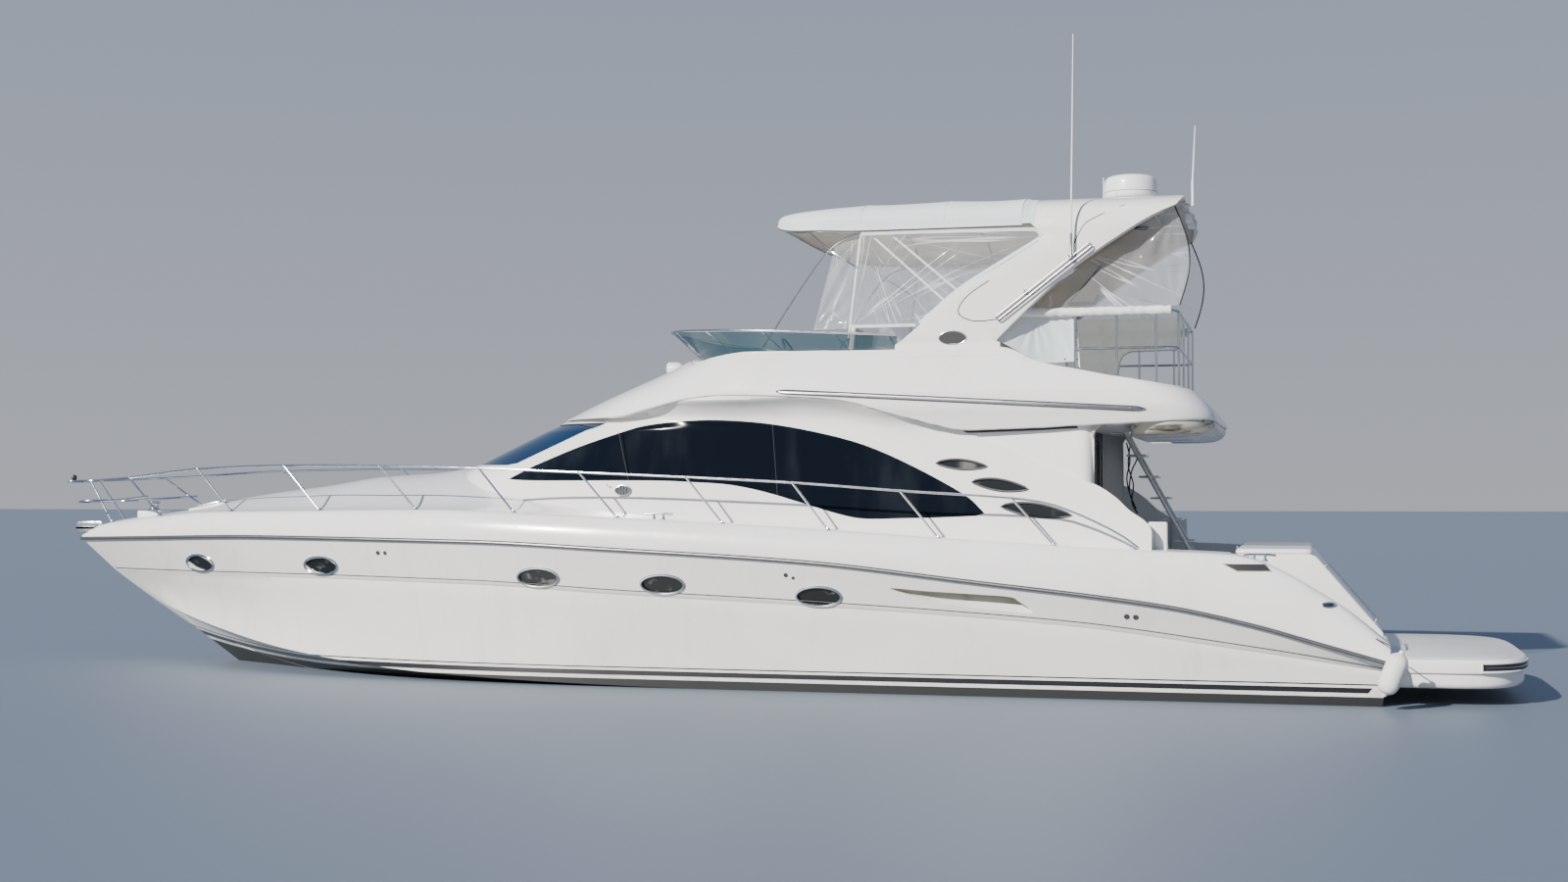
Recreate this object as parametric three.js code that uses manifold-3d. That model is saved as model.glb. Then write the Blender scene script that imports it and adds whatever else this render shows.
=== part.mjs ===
// Motor yacht with an enclosed saloon, a flybridge and a radar arch
// Millimetres, +X to the bow, +Y to port, +Z up; the origin is amidships on the centreline at the waterline
import * as THREE from "three";
import { mergeVertices } from "three/addons/utils/BufferGeometryUtils.js";
import Module from "manifold-3d";

const wasm = await Module();
wasm.setup();

// Driving dimensions
const gap = 0.5; // between pieces that touch
const far = 20000; // how far a cutter runs past everything
const platformAftX = -9050;
const platformTopZ = 480;
const cockpitSoleZ = 850;
const saloonSoleZ = 1050;
const ceilingZ = 3030;
const flyFloorZ = 3120;
const bulkheadX = -4420; // aft face of the saloon
const cockpitAftX = -6050;
const cockpitHalf = 1780;
const saloonHalf = 1640;
const shellThickness = 70;
const wellHalf = 1600; // flybridge well
const railTube = 14; // radius of the deck rails

// Shape helpers

// A smooth single-valued curve through [x, value] points in rising order of x
function curve(points) {
  const slopes = points.map((p, i) => {
    if (i === 0 || i === points.length - 1) return 0;
    const before = (p[1] - points[i - 1][1]) / (p[0] - points[i - 1][0]);
    const after = (points[i + 1][1] - p[1]) / (points[i + 1][0] - p[0]);
    return before * after <= 0 ? 0 : (2 * before * after) / (before + after);
  });
  const ends = [0, points.length - 1];
  for (const end of ends) {
    const a = end === 0 ? 0 : end - 1;
    slopes[end] = (points[a + 1][1] - points[a][1]) / (points[a + 1][0] - points[a][0]);
  }
  return (x) => {
    if (x <= points[0][0]) return points[0][1];
    if (x >= points[points.length - 1][0]) return points[points.length - 1][1];
    const i = points.findIndex((p) => p[0] > x) - 1;
    const [x0, y0] = points[i];
    const [x1, y1] = points[i + 1];
    const width = x1 - x0;
    const t = (x - x0) / width;
    const rise = y0 + (y1 - y0) * t * t * (3 - 2 * t);
    return rise + width * t * (1 - t) * (slopes[i] * (1 - t) - slopes[i + 1] * t);
  };
}

const clamp = (v) => Math.min(1, Math.max(0, v));
const lerp = (a, b, t) => a + (b - a) * t;
const point = (x, y, z) => new THREE.Vector3(x, y, z);

// Numbers from a to b in equal steps
function spread(a, b, count) {
  return Array.from({ length: count }, (_, i) => lerp(a, b, i / (count - 1)));
}

// Shared vertices merged and collapsed triangles dropped
function closed(geometry) {
  geometry.deleteAttribute("normal");
  geometry.deleteAttribute("uv");
  const merged = mergeVertices(geometry, 0.01);
  const index = merged.index.array;
  const kept = [];
  for (let i = 0; i < index.length; i += 3) {
    const [a, b, c] = [index[i], index[i + 1], index[i + 2]];
    if (a !== b && b !== c && c !== a) kept.push(a, b, c);
  }
  merged.setIndex(kept);
  return merged;
}

// A closed skin over rows of equally long loops, with its two ends filled by fans
function loft(rows) {
  const count = rows[0].length;
  const vertices = rows.flat();
  const index = [];
  for (let r = 0; r + 1 < rows.length; r++)
    for (let i = 0; i < count; i++) {
      const a = r * count + i;
      const b = r * count + ((i + 1) % count);
      index.push(a, b, b + count, a, b + count, a + count);
    }
  for (const [row, turned] of [[0, true], [rows.length - 1, false]]) {
    const middle = vertices.length;
    const sum = rows[row].reduce((s, p) => s.add(p), point(0, 0, 0));
    vertices.push(sum.divideScalar(count));
    for (let i = 0; i < count; i++) {
      const a = row * count + i;
      const b = row * count + ((i + 1) % count);
      index.push(...(turned ? [b, a, middle] : [a, b, middle]));
    }
  }
  const geometry = new THREE.BufferGeometry().setFromPoints(vertices);
  geometry.setIndex(index);
  return facingOut(closed(geometry));
}

function volumeOf(geometry) {
  const p = geometry.getAttribute("position");
  const index = geometry.index.array;
  const [a, b, c] = [point(0, 0, 0), point(0, 0, 0), point(0, 0, 0)];
  let sum = 0;
  for (let i = 0; i < index.length; i += 3) {
    a.fromBufferAttribute(p, index[i]);
    b.fromBufferAttribute(p, index[i + 1]);
    c.fromBufferAttribute(p, index[i + 2]);
    sum += a.dot(b.cross(c));
  }
  return sum;
}

function facingOut(geometry) {
  if (volumeOf(geometry) > 0) return geometry;
  const index = geometry.index.array;
  for (let i = 0; i < index.length; i += 3) [index[i + 1], index[i + 2]] = [index[i + 2], index[i + 1]];
  return geometry;
}

function solid(geometry) {
  const g = geometry.index ? geometry : closed(geometry);
  return new wasm.Manifold(
    new wasm.Mesh({
      numProp: 3,
      vertProperties: new Float32Array(g.getAttribute("position").array),
      triVerts: new Uint32Array(g.index.array),
    }),
  );
}

function shapeOf(body) {
  const mesh = body.getMesh();
  const geometry = new THREE.BufferGeometry();
  const positions = new Float32Array(mesh.numVert * 3);
  for (let i = 0; i < mesh.numVert; i++)
    for (let k = 0; k < 3; k++) positions[3 * i + k] = mesh.vertProperties[mesh.numProp * i + k];
  geometry.setAttribute("position", new THREE.BufferAttribute(positions, 3));
  geometry.setIndex(Array.from(mesh.triVerts));
  return geometry;
}

const joined = (...bodies) => bodies.reduce((a, b) => a.add(b));
const without = (body, ...cutters) => cutters.reduce((a, b) => a.subtract(b), body);

function box(x0, x1, y0, y1, z0, z1) {
  const g = new THREE.BoxGeometry(x1 - x0, y1 - y0, z1 - z0);
  return solid(closed(g.translate((x0 + x1) / 2, (y0 + y1) / 2, (z0 + z1) / 2)));
}

function cylinder(from, to, radius, sides = 12, radiusTo = radius) {
  const along = to.clone().sub(from);
  const g = new THREE.CylinderGeometry(radiusTo, radius, along.length(), sides);
  g.applyQuaternion(new THREE.Quaternion().setFromUnitVectors(point(0, 1, 0), along.clone().normalize()));
  const middle = from.clone().add(to).divideScalar(2);
  return solid(closed(g.translate(middle.x, middle.y, middle.z)));
}

function outline(points) {
  const shape = new THREE.Shape();
  points.forEach(([a, b], i) => (i ? shape.lineTo(a, b) : shape.moveTo(a, b)));
  return shape;
}

// A side view in x and z, extruded across from y0 to y1
function sideCut(points, y0, y1) {
  const g = new THREE.ExtrudeGeometry(outline(points), { depth: y1 - y0, bevelEnabled: false });
  return solid(facingOut(closed(g.rotateX(Math.PI / 2).translate(0, y1, 0))));
}

// A plan in x and y, extruded up from z0 to z1
function planCut(points, z0, z1) {
  const g = new THREE.ExtrudeGeometry(outline(points), { depth: z1 - z0, bevelEnabled: false });
  return solid(facingOut(closed(g.translate(0, 0, z0))));
}

// A front view in y and z, extruded along x from x0 to x1
function frontCut(points, x0, x1) {
  const g = new THREE.ExtrudeGeometry(outline(points), { depth: x1 - x0, bevelEnabled: false });
  g.rotateX(Math.PI / 2).rotateZ(Math.PI / 2).translate(x0, 0, 0);
  return solid(facingOut(closed(g)));
}

// A rectangle with round corners, as points, each corner a quarter turn
function roundedBox2(a0, a1, b0, b1, radius, steps = 4) {
  const corners = [[a1 - radius, b0 + radius, -90], [a1 - radius, b1 - radius, 0],
    [a0 + radius, b1 - radius, 90], [a0 + radius, b0 + radius, 180]];
  return corners.flatMap(([a, b, start]) =>
    spread(start, start + 90, steps + 1).map((deg) => {
      const angle = THREE.MathUtils.degToRad(deg);
      return [a + radius * Math.cos(angle), b + radius * Math.sin(angle)];
    }),
  );
}

// A round tube along a chain of points, mitred at each
function tube(points, radius, sides = 6) {
  const rows = points.map((p, i) => {
    const before = i ? p.clone().sub(points[i - 1]).normalize() : null;
    const after = i + 1 < points.length ? points[i + 1].clone().sub(p).normalize() : null;
    const along = (before && after ? before.clone().add(after) : before || after).normalize();
    const across = Math.abs(along.z) < 0.9 ? point(0, 0, 1).cross(along) : point(0, 1, 0).cross(along);
    across.normalize();
    const up = along.clone().cross(across);
    return spread(0, 2 * Math.PI, sides + 1).slice(0, sides).map((angle) =>
      p.clone().addScaledVector(across, radius * Math.cos(angle)).addScaledVector(up, radius * Math.sin(angle)),
    );
  });
  return solid(loft(rows));
}

// Points of a smooth line through a few hand-placed ones
function smooth(points, count) {
  return new THREE.CatmullRomCurve3(points, false, "centripetal").getPoints(count);
}

// Materials
const finishes = {
  gelcoat: [0xf2f1ec, 0.25, 0],
  bottomPaint: [0x111214, 0.8, 0],
  vinylWhite: [0xefeeea, 0.6, 0],
  clearVinyl: [0xdfe8ee, 0.1, 0],
  darkGlass: [0x10161f, 0.08, 0],
  blueGlass: [0x3d6274, 0.1, 0],
  steel: [0xc9ccce, 0.2, 1],
  bronze: [0xa9824f, 0.35, 1],
  grey: [0x8a8c8c, 0.6, 0],
  plastic: [0xf4f4f2, 0.4, 0],
  engine: [0xb8bcc0, 0.6, 0.3],
};

const yacht = new THREE.Group();

function add(name, body, finish) {
  const [color, roughness, metalness] = finishes[finish];
  const mesh = new THREE.Mesh(shapeOf(body), new THREE.MeshStandardMaterial({ color, roughness, metalness }));
  mesh.name = name;
  yacht.add(mesh);
}

// Hull lines: each runs from the transom to the stem
// half is the half-breadth at the shoulder, aftHalf at the transom; power shapes the way in to the stem
const lines = {
  keel: { aftX: -7500, bowX: 6900, half: 0, aftHalf: 0, shoulderX: 0, power: 2 },
  chine: { aftX: -7540, bowX: 7900, half: 2100, aftHalf: 2030, shoulderX: 800, power: 2.2 },
  knuckle: { aftX: -7590, bowX: 8470, half: 2280, aftHalf: 2180, shoulderX: 800, power: 2.0 },
  rail: { aftX: -7620, bowX: 8990, half: 2420, aftHalf: 2310, shoulderX: 500, power: 2.1 },
};
// Heights as [x, z]
lines.keel.z = curve([[-7500, -620], [-4000, -760], [0, -860], [3000, -820], [5000, -560], [6000, -300],
  [6500, -80], [6900, 200]]);
lines.chine.z = curve([[-7540, -60], [-3000, -40], [800, 20], [3000, 90], [5000, 260], [6500, 500], [7900, 790]]);
lines.knuckle.z = curve([[-7590, 370], [-6310, 550], [-4360, 790], [-1560, 960], [530, 1050], [2390, 1140],
  [4960, 1170], [8470, 1160]]);
lines.rail.z = curve([[-7620, 450], [-6900, 650], [-6300, 815], [-5400, 1000], [-3330, 1240], [-1590, 1425],
  [500, 1540], [2400, 1620], [5400, 1645], [7650, 1605], [8990, 1575]]);
const deckEdgeZ = curve([[-7620, 640], [-7210, 980], [-6930, 1160], [-6630, 1340], [-6340, 1470], [-6090, 1530],
  [-5140, 1570], [-3310, 1670], [-1110, 1810], [1400, 1930], [2920, 1980], [5050, 1960], [6470, 1940],
  [7250, 1890], [7810, 1850], [8410, 1790], [8990, 1640]]);
// Rise of the foredeck's centreline over the deck edge
const crownRise = curve([[0, 60], [1800, 420], [3200, 510], [3780, 450], [4460, 420], [5290, 310], [5960, 240],
  [6470, 170], [6830, 100], [8000, 40], [8990, 5]]);

function halfBreadth(line, x) {
  if (x > line.shoulderX) {
    const t = clamp((x - line.shoulderX) / (line.bowX - line.shoulderX));
    return line.half * (1 - t ** line.power);
  }
  const t = clamp((line.shoulderX - x) / (line.shoulderX - line.aftX));
  return line.half - (line.half - line.aftHalf) * t * t;
}

const hullStations = [...spread(0, 0.6, 15), ...spread(0.6, 0.94, 11).slice(1), 0.965, 0.985, 1];
const chineFlat = 90;
const knuckleStep = 14;
const topsideHollow = 70;

function onLine(line, u) {
  const x = lerp(line.aftX, line.bowX, u);
  return point(x, halfBreadth(line, x), line.z(x));
}

function hullSection(u) {
  const keel = onLine(lines.keel, u);
  const chine = onLine(lines.chine, u);
  const knuckle = onLine(lines.knuckle, u);
  const rail = onLine(lines.rail, u);
  const inner = chine.clone();
  inner.y -= Math.min(chineFlat, 0.3 * chine.y);
  inner.z -= 0.1 * Math.min(chineFlat, chine.y);
  const hollow = topsideHollow * clamp((chine.x - 800) / 5000) ** 2 * clamp(chine.y / 500);
  const topside = [0.33, 0.67].map((t) => {
    const p = chine.clone().lerp(knuckle, t);
    p.y -= hollow * Math.sin(Math.PI * t);
    return p;
  });
  const below = knuckle.clone();
  const step = Math.min(knuckleStep, 0.2 * knuckle.y);
  below.y -= step;
  below.z -= step;
  const port = [inner, chine, ...topside, below, knuckle, knuckle.clone().lerp(rail, 0.5), rail];
  const starboard = port.map((p) => point(p.x, -p.y, p.z)).reverse();
  return [keel, ...port, point(rail.x, 0, rail.z), ...starboard];
}

const stationX = hullStations.map((u) => lerp(lines.rail.aftX, lines.rail.bowX, u));
const edgeInset = (x) => Math.min(160, 0.35 * halfBreadth(lines.rail, x));
const deckEdgeY = (x) => halfBreadth(lines.rail, x) - edgeInset(x);

function deckTopZ(x, y) {
  const side = clamp(Math.abs(y) / Math.max(1, deckEdgeY(x)));
  return deckEdgeZ(x) + crownRise(x) * (1 - side * side) ** 1.6;
}

// Band from the rub rail up and over to the deck edge, then the deck
// As a cutter it is raised a little and reaches down to floorZ
function deckSection(x, raised, floorZ) {
  const railY = halfBreadth(lines.rail, x);
  const railZ = lines.rail.z(x) + gap;
  const rise = Math.max(10, deckEdgeZ(x) - railZ);
  const band = spread(0, 90, 6).map((deg) => {
    const angle = THREE.MathUtils.degToRad(deg);
    return point(x, railY - edgeInset(x) * (1 - Math.cos(angle)), railZ + rise * Math.sin(angle) + (deg ? raised : 0));
  });
  const top = spread(0.92, 0.1, 8).map((s) => {
    const y = s * deckEdgeY(x);
    return point(x, y, deckTopZ(x, y) + raised);
  });
  const port = [...band, ...top];
  if (floorZ !== undefined) port.unshift(point(x, railY, floorZ));
  const starboard = port.map((p) => point(x, -p.y, p.z)).reverse();
  return [...port, point(x, 0, deckTopZ(x, 0) + raised), ...starboard, point(x, 0, floorZ ?? railZ)];
}

const deckBody = solid(loft(stationX.map((x) => deckSection(x, 0))));
const deckCutter = (raised) => solid(loft(stationX.map((x) => deckSection(x, raised, 0))));
const deckClear = deckCutter(gap);

// Voids of the saloon, cockpit and stern passage
const engineRoom = { x0: -5950, x1: -3700, half: 1180, floorZ: -300, topZ: 790 };
const hatchHole = { x0: -5700, x1: -4750, half: 480 };
const passage = { y0: 1380, y1: 1930, stepX: -7000, lowZ: 670 };
const locker = { x0: -6880, x1: -6080, y0: -1930, topZ: 1520, lidTopZ: 1600 };
const saloonVoid = planCut(roundedBox2(bulkheadX, 1900, -saloonHalf, saloonHalf, 40), saloonSoleZ, far);
const cockpitVoid = box(cockpitAftX, bulkheadX, -cockpitHalf, cockpitHalf, cockpitSoleZ, far);
const passageVoid = joined(
  box(passage.stepX, cockpitAftX + 1, passage.y0, passage.y1, cockpitSoleZ, far),
  box(-8000, passage.stepX + 1, passage.y0, passage.y1, passage.lowZ, far),
);
const sternVoid = box(-8000, cockpitAftX + 1, locker.y0, passage.y0 + 1, 480, far);
const engineVoid = joined(
  box(engineRoom.x0, engineRoom.x1, -engineRoom.half, engineRoom.half, engineRoom.floorZ, engineRoom.topZ),
  box(hatchHole.x0, hatchHole.x1, -hatchHole.half, hatchHole.half, engineRoom.topZ - 1, cockpitSoleZ + 1),
);
const hatchRebate = box(hatchHole.x0 - 30, hatchHole.x1 + 30, -hatchHole.half - 30, hatchHole.half + 30,
  cockpitSoleZ - 30, cockpitSoleZ + 1);

// Running gear: shafts leave the hull through logs, rudder stocks through bosses
const gear = { y: 850, shaftRadius: 32, play: 6, foreX: -3900, foreZ: -560, aftX: -6550, aftZ: -930, propRadius: 330 };
const log = { foreX: -2900, boreX: -3300, aftX: -3800, radius: 62 };
const rudder = { x: -7000, topZ: -560, bottomZ: -1240, chord: 420, thickness: 48, lead: 110, stock: 28 };
const boss = { topZ: -300, boreZ: -415, bottomZ: -530, radius: 62 };
const shaftAt = (x, y) => point(x, y, lerp(gear.foreZ, gear.aftZ, (x - gear.foreX) / (gear.aftX - gear.foreX)));

const hullBody = solid(loft(hullStations.map(hullSection)));
const fittings = [];
const bores = [];
for (const y of [gear.y, -gear.y]) {
  fittings.push(cylinder(shaftAt(log.foreX, y), shaftAt(log.aftX, y), log.radius));
  fittings.push(cylinder(point(rudder.x, y, boss.topZ), point(rudder.x, y, boss.bottomZ), boss.radius));
  bores.push(cylinder(shaftAt(log.boreX, y), shaftAt(log.aftX - 50, y), gear.shaftRadius + gear.play));
  bores.push(cylinder(point(rudder.x, y, boss.boreZ), point(rudder.x, y, boss.bottomZ - 50), rudder.stock + gear.play));
}
add("hull", without(joined(hullBody, ...fittings), ...bores, saloonVoid, cockpitVoid, passageVoid, sternVoid,
  engineVoid, hatchRebate), "gelcoat");

const hatch = { x: 6950, half: 270 };
const hatchSide = (low, high) => {
  const [aft, fore] = [hatch.x - hatch.half, hatch.x + hatch.half];
  return [[aft, deckTopZ(aft, 0) + low], [fore, deckTopZ(fore, 0) + low], [fore, deckTopZ(fore, 0) + high],
    [aft, deckTopZ(aft, 0) + high]];
};
const hatchRim = sideCut(hatchSide(-60, 7), -hatch.half, hatch.half);
add("deck", without(joined(deckBody, hatchRim), saloonVoid, cockpitVoid, passageVoid, sternVoid), "gelcoat");

// Rub rail round the joint of hull and deck
const rubRail = { stand: 3, depth: 38, height: 56 };

function railRows() {
  const path = stationX.map((x) => point(x, halfBreadth(lines.rail, x), lines.rail.z(x)));
  const loop = [...path, ...path.slice(0, -1).reverse().map((p) => point(p.x, -p.y, p.z))];
  return loop.map((p, i) => {
    const flat = (a, b) => point(b.x - a.x, b.y - a.y, 0).normalize();
    const before = i ? flat(loop[i - 1], p) : null;
    const after = i + 1 < loop.length ? flat(p, loop[i + 1]) : null;
    const along = (before && after ? before.clone().add(after) : before || after).normalize();
    const out = point(-along.y, along.x, 0);
    const mitre = before && after ? 1 / Math.max(0.3, along.dot(after)) : 1;
    const corners = [[rubRail.stand, -0.5], [rubRail.stand + 0.7 * rubRail.depth, -0.5],
      [rubRail.stand + rubRail.depth, 0], [rubRail.stand + 0.7 * rubRail.depth, 0.5], [rubRail.stand, 0.5]];
    return corners.map(([reach, lift]) =>
      point(p.x + out.x * reach * mitre, p.y + out.y * reach * mitre, p.z + lift * rubRail.height),
    );
  });
}

add("rub_rail", solid(loft(railRows())), "steel");

// House and flybridge share one raked nose; nose is the foremost x at a height
const noseX = curve([[1500, 3900], [2440, 3300], [2490, 3200], [3050, 2080], [3400, 1260], [3600, 770],
  [3770, 200]]);
const noseStartX = -200;
const noseSweep = 2.5;

// Half of a plan outline from aft to the nose, as [x, y]
function planHalf(nose, half, startX = noseStartX, steps = 10) {
  return spread(0, 90, steps + 1).map((deg) => {
    const angle = THREE.MathUtils.degToRad(deg);
    return [startX + (nose - startX) * Math.sin(angle) ** (2 / noseSweep), half * Math.cos(angle)];
  });
}

const houseHalf = (z) => 1900 - 0.115 * (z - 1600);
const wingFlare = (x) => 120 * clamp((-2000 - x) / 3200) ** 1.5;
const wingEndX = -5250;

// As a cutter it runs past the wing's end by as much as past says
function houseLoop(z, inset, noseInset, past) {
  const half = houseHalf(z) - inset;
  const straight = spread(wingEndX - past, -1200, 7).map((x) => [x, half + wingFlare(x)]);
  const port = [...straight, ...planHalf(noseX(z) - noseInset, half)];
  const starboard = port.slice(0, -1).map(([x, y]) => [x, -y]).reverse();
  return [...port, ...starboard].map(([x, y]) => point(x, y, z));
}

const houseLevels = [1000, 1900, 2440, 2640, 2850, 3050, 3260];
const houseBody = (inset, noseInset, past = 0) =>
  solid(loft(houseLevels.map((z) => houseLoop(z, inset, noseInset, past))));

// The line where the flybridge moulding lies on the house, as [x, z], and the wing's falling edge aft of it
const eyebrow = [[-6100, 2930], [-5900, 2940], [-5020, 2930], [-4070, 2890], [-3230, 2830], [-2960, 2925],
  [-2410, 3050], [-1840, 3185], [-980, 3240], [-530, 3250], [-60, 3210], [400, 3110], [880, 3030], [3400, 3030]];
const wingEdge = [[-5252, 1000], [-5250, 1790], [-5180, 1870], [-5020, 1980], [-4870, 2120], [-4670, 2250],
  [-4400, 2345], [-4080, 2490], [-3700, 2660], [-3235, 2828]];
const roofHalf = 1660;

function underEyebrow(lift) {
  const sides = [...eyebrow.map(([x, z]) => [x, z + lift]), [3400, 0], [-6100, 0]];
  const roof = box(bulkheadX - 10, far, -roofHalf, roofHalf, 0, ceilingZ + lift);
  const aft = sideCut(sides, -far, far);
  const middle = box(bulkheadX - 10, far, -roofHalf, roofHalf, -1, far);
  return joined(without(aft, middle), roof);
}

const belowWing = sideCut([...wingEdge, [-3235, far], [4000, far], [4000, 0], [-5252, 0]], -far, far);

// Window outlines in side view, as [x, z]
const sideWindow = [[2250, 2335], [1850, 2315], [410, 2310], [-150, 2290], [-580, 2260], [-990, 2180],
  [-1450, 2050], [-1850, 1935], [-2130, 1885], [-2550, 1890], [-2960, 1900], [-3370, 1918], [-3450, 1940],
  [-3420, 2000], [-3230, 2160], [-2670, 2460], [-2110, 2700], [-1540, 2850], [-960, 2950], [-410, 2990],
  [20, 2980], [440, 2940], [730, 2870], [1310, 2700], [1890, 2490]];
// Windscreen outline in front view, as [y, z]
const windscreenOutline = [[-1290, 2500], [0, 2530], [1290, 2500], [1500, 2985], [0, 3000], [-1500, 2985]];

const grown = (points, by) => {
  const middle = points.reduce((s, p) => [s[0] + p[0] / points.length, s[1] + p[1] / points.length], [0, 0]);
  return points.map(([a, b]) => {
    const length = Math.hypot(a - middle[0], b - middle[1]);
    return [a + ((a - middle[0]) * by) / length, b + ((b - middle[1]) * by) / length];
  });
};

const houseOuter = houseBody(0, 0);
const houseInner = houseBody(shellThickness, 2 * shellThickness, 100);
const portSide = box(-far, far, 0, far, -far, far);
const windowBand = without(houseBody(-1000, -1000), box(2300, far, -far, far, -far, far));
const houseShell = without(
  houseOuter.intersect(underEyebrow(0)).intersect(belowWing),
  houseInner,
  deckClear,
  sideCut(sideWindow, -far, far).intersect(windowBand),
  frontCut(windscreenOutline, 1000, far),
);
add("house", houseShell, "gelcoat");

const glassSkin = without(houseBody(14, 24), houseBody(24, 44));
const sideGlass = sideCut(grown(sideWindow, -3), -far, far).intersect(glassSkin);
add("side_window_port", sideGlass.intersect(portSide), "darkGlass");
add("side_window_starboard", without(sideGlass, portSide), "darkGlass");
const noseOnly = box(1000, far, -far, far, -far, far);
add("windscreen", frontCut(grown(windscreenOutline, -4), 0, far).intersect(glassSkin).intersect(noseOnly),
  "darkGlass");

// Saloon's aft wall: rounded in plan, standing on the saloon sole inside the house
const wall = { half: 1620, thickness: 60, radius: 260, frontX: -2950, doorHalf: 1150, doorZ: 2850 };
const wallPlan = (inset) =>
  roundedBox2(bulkheadX + gap + inset, far, -wall.half + inset, wall.half - inset, wall.radius - inset * 0.5);
const wallBody = without(
  planCut(wallPlan(0), saloonSoleZ + gap, ceilingZ - gap),
  planCut(wallPlan(wall.thickness), 0, far),
  box(wall.frontX, far * 2, -far, far, 0, far),
  box(-far, -4300, -wall.doorHalf, wall.doorHalf, saloonSoleZ + 40, wall.doorZ),
);
add("saloon_wall", wallBody, "gelcoat");
const pane = { thickness: 24, overlap: 50 };
const paneX = bulkheadX + 20;
add("saloon_pane", box(paneX, paneX + pane.thickness, -wall.doorHalf + 4, pane.overlap, saloonSoleZ + 44,
  wall.doorZ - 4), "darkGlass");
// The sliding leaf runs inboard of the fixed pane
const leafX = paneX + pane.thickness + 12;
add("saloon_door", box(leafX, leafX + pane.thickness, -pane.overlap, wall.doorHalf - 7, saloonSoleZ + 47,
  wall.doorZ - 7), "darkGlass");

// Flybridge moulding: plan loops at heights, columns z, half-breadth and aft end
const flyLevels = [
  { z: 2700, half: 1880, aftX: -5960 },
  { z: 2860, half: 1900, aftX: -6000 },
  { z: 2960, half: 1925, aftX: -5990 },
  { z: 3120, half: 1970, aftX: -5870 },
  { z: 3250, half: 1965, aftX: -5720 },
  { z: 3330, half: 1940, aftX: -5560 },
  { z: 3480, half: 1885, aftX: -5500 },
  { z: 3640, half: 1820, aftX: -5480 },
  { z: 3770, half: 1760, aftX: -5480 },
  { z: 3830, half: 1740, aftX: -5480 },
];
const aftCorner = 500;

function flyLoop({ z, half, aftX }) {
  const nose = z < 3050 ? noseX(3050) : noseX(z);
  const corner = spread(90, 0, 6).map((deg) => {
    const angle = THREE.MathUtils.degToRad(deg);
    return [aftX + aftCorner * (1 - Math.sin(angle)), half - aftCorner * (1 - Math.cos(angle))];
  });
  const port = [...corner, ...spread(-4400, -1200, 4).map((x) => [x, half]), ...planHalf(nose, half)];
  const starboard = port.slice(0, -1).map(([x, y]) => [x, -y]).reverse();
  return [...port, ...starboard].map(([x, y]) => point(x, y, z));
}

const coamingTop = [[-6100, 3280], [-5570, 3300], [-5000, 3380], [-4480, 3480], [-4020, 3580], [-3620, 3750],
  [-3500, 3775], [-730, 3790], [-260, 3720], [-100, 3680], [240, 3800], [600, 3900]];
const wellPlan = (half, nose, aftX) => {
  const port = [[aftX, half - 120], [aftX + 120, half], ...planHalf(nose, half, -1300, 8)];
  return [...port, ...port.slice(0, -1).map(([x, y]) => [x, -y]).reverse()];
};
const stairHole = { x0: -5250, x1: -4550, y0: -1450, y1: -800 };
const flyBody = without(
  solid(loft(flyLevels.map(flyLoop))),
  underEyebrow(gap),
  sideCut([...coamingTop, [600, far], [-6100, far]], -far, far),
  planCut(wellPlan(wellHalf, 20, -5400), flyFloorZ, far),
  box(stairHole.x0, stairHole.x1, stairHole.y0, stairHole.y1, 0, far),
);
add("flybridge", flyBody, "gelcoat");

// Wind deflector: a low tinted band that leans out over the coaming
const deflector = { footZ: 3800, topZ: 4060, footHalf: 1690, topHalf: 1760, footNose: 150, topNose: 600, aftX: -2480 };

function deflectorLoop(half, nose, z) {
  const port = [[deflector.aftX, half], ...planHalf(nose, half, -1300, 10)];
  return [...port, ...port.slice(0, -1).map(([x, y]) => [x, -y]).reverse()].map(([x, y]) => point(x, y, z));
}

function deflectorBody(inset) {
  return solid(loft([
    deflectorLoop(deflector.footHalf - inset, deflector.footNose - inset, deflector.footZ),
    deflectorLoop(deflector.topHalf - inset, deflector.topNose - inset, deflector.topZ),
  ]));
}

const deflectorInside = joined(deflectorBody(12), box(-far, deflector.aftX + 1, -far, far, 0, far));
const deflectorSides = without(deflectorBody(0), deflectorInside,
  planCut(wellPlan(1600, -80, -3000), deflector.footZ - 1, deflector.topZ + 1));
add("wind_deflector", deflectorSides, "blueGlass");

// Radar arch: side view as [x, z]
const archProfile = [[-2480, 3800], [-2660, 3950], [-3200, 4390], [-4060, 4900], [-4090, 4960], [-4000, 5050],
  [-3900, 5140], [-3880, 5440], [-4310, 5490], [-4660, 5500], [-5240, 5480], [-5470, 5430], [-5570, 5360],
  [-5500, 5250], [-5130, 5070], [-4410, 4600], [-4000, 4240], [-3610, 3860], [-3570, 3800]];
const archSection = [[-1740, 3000], [-1740, 4700], [-1725, 5080], [-1640, 5290], [-1450, 5410], [-1000, 5480],
  [0, 5530], [1000, 5480], [1450, 5410], [1640, 5290], [1725, 5080], [1740, 4700], [1740, 3000]];
const archVoid = [[-1600, 3000], [-1600, 4700], [-1580, 5030], [-1500, 5190], [-1350, 5270], [-900, 5320],
  [0, 5350], [900, 5320], [1350, 5270], [1500, 5190], [1580, 5030], [1600, 4700], [1600, 3000]];
const archBody = without(
  sideCut(archProfile, -2000, 2000).intersect(frontCut(archSection, -7000, 0)),
  frontCut(archVoid, -7000, 0),
);
add("radar_arch", archBody, "gelcoat");

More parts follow.
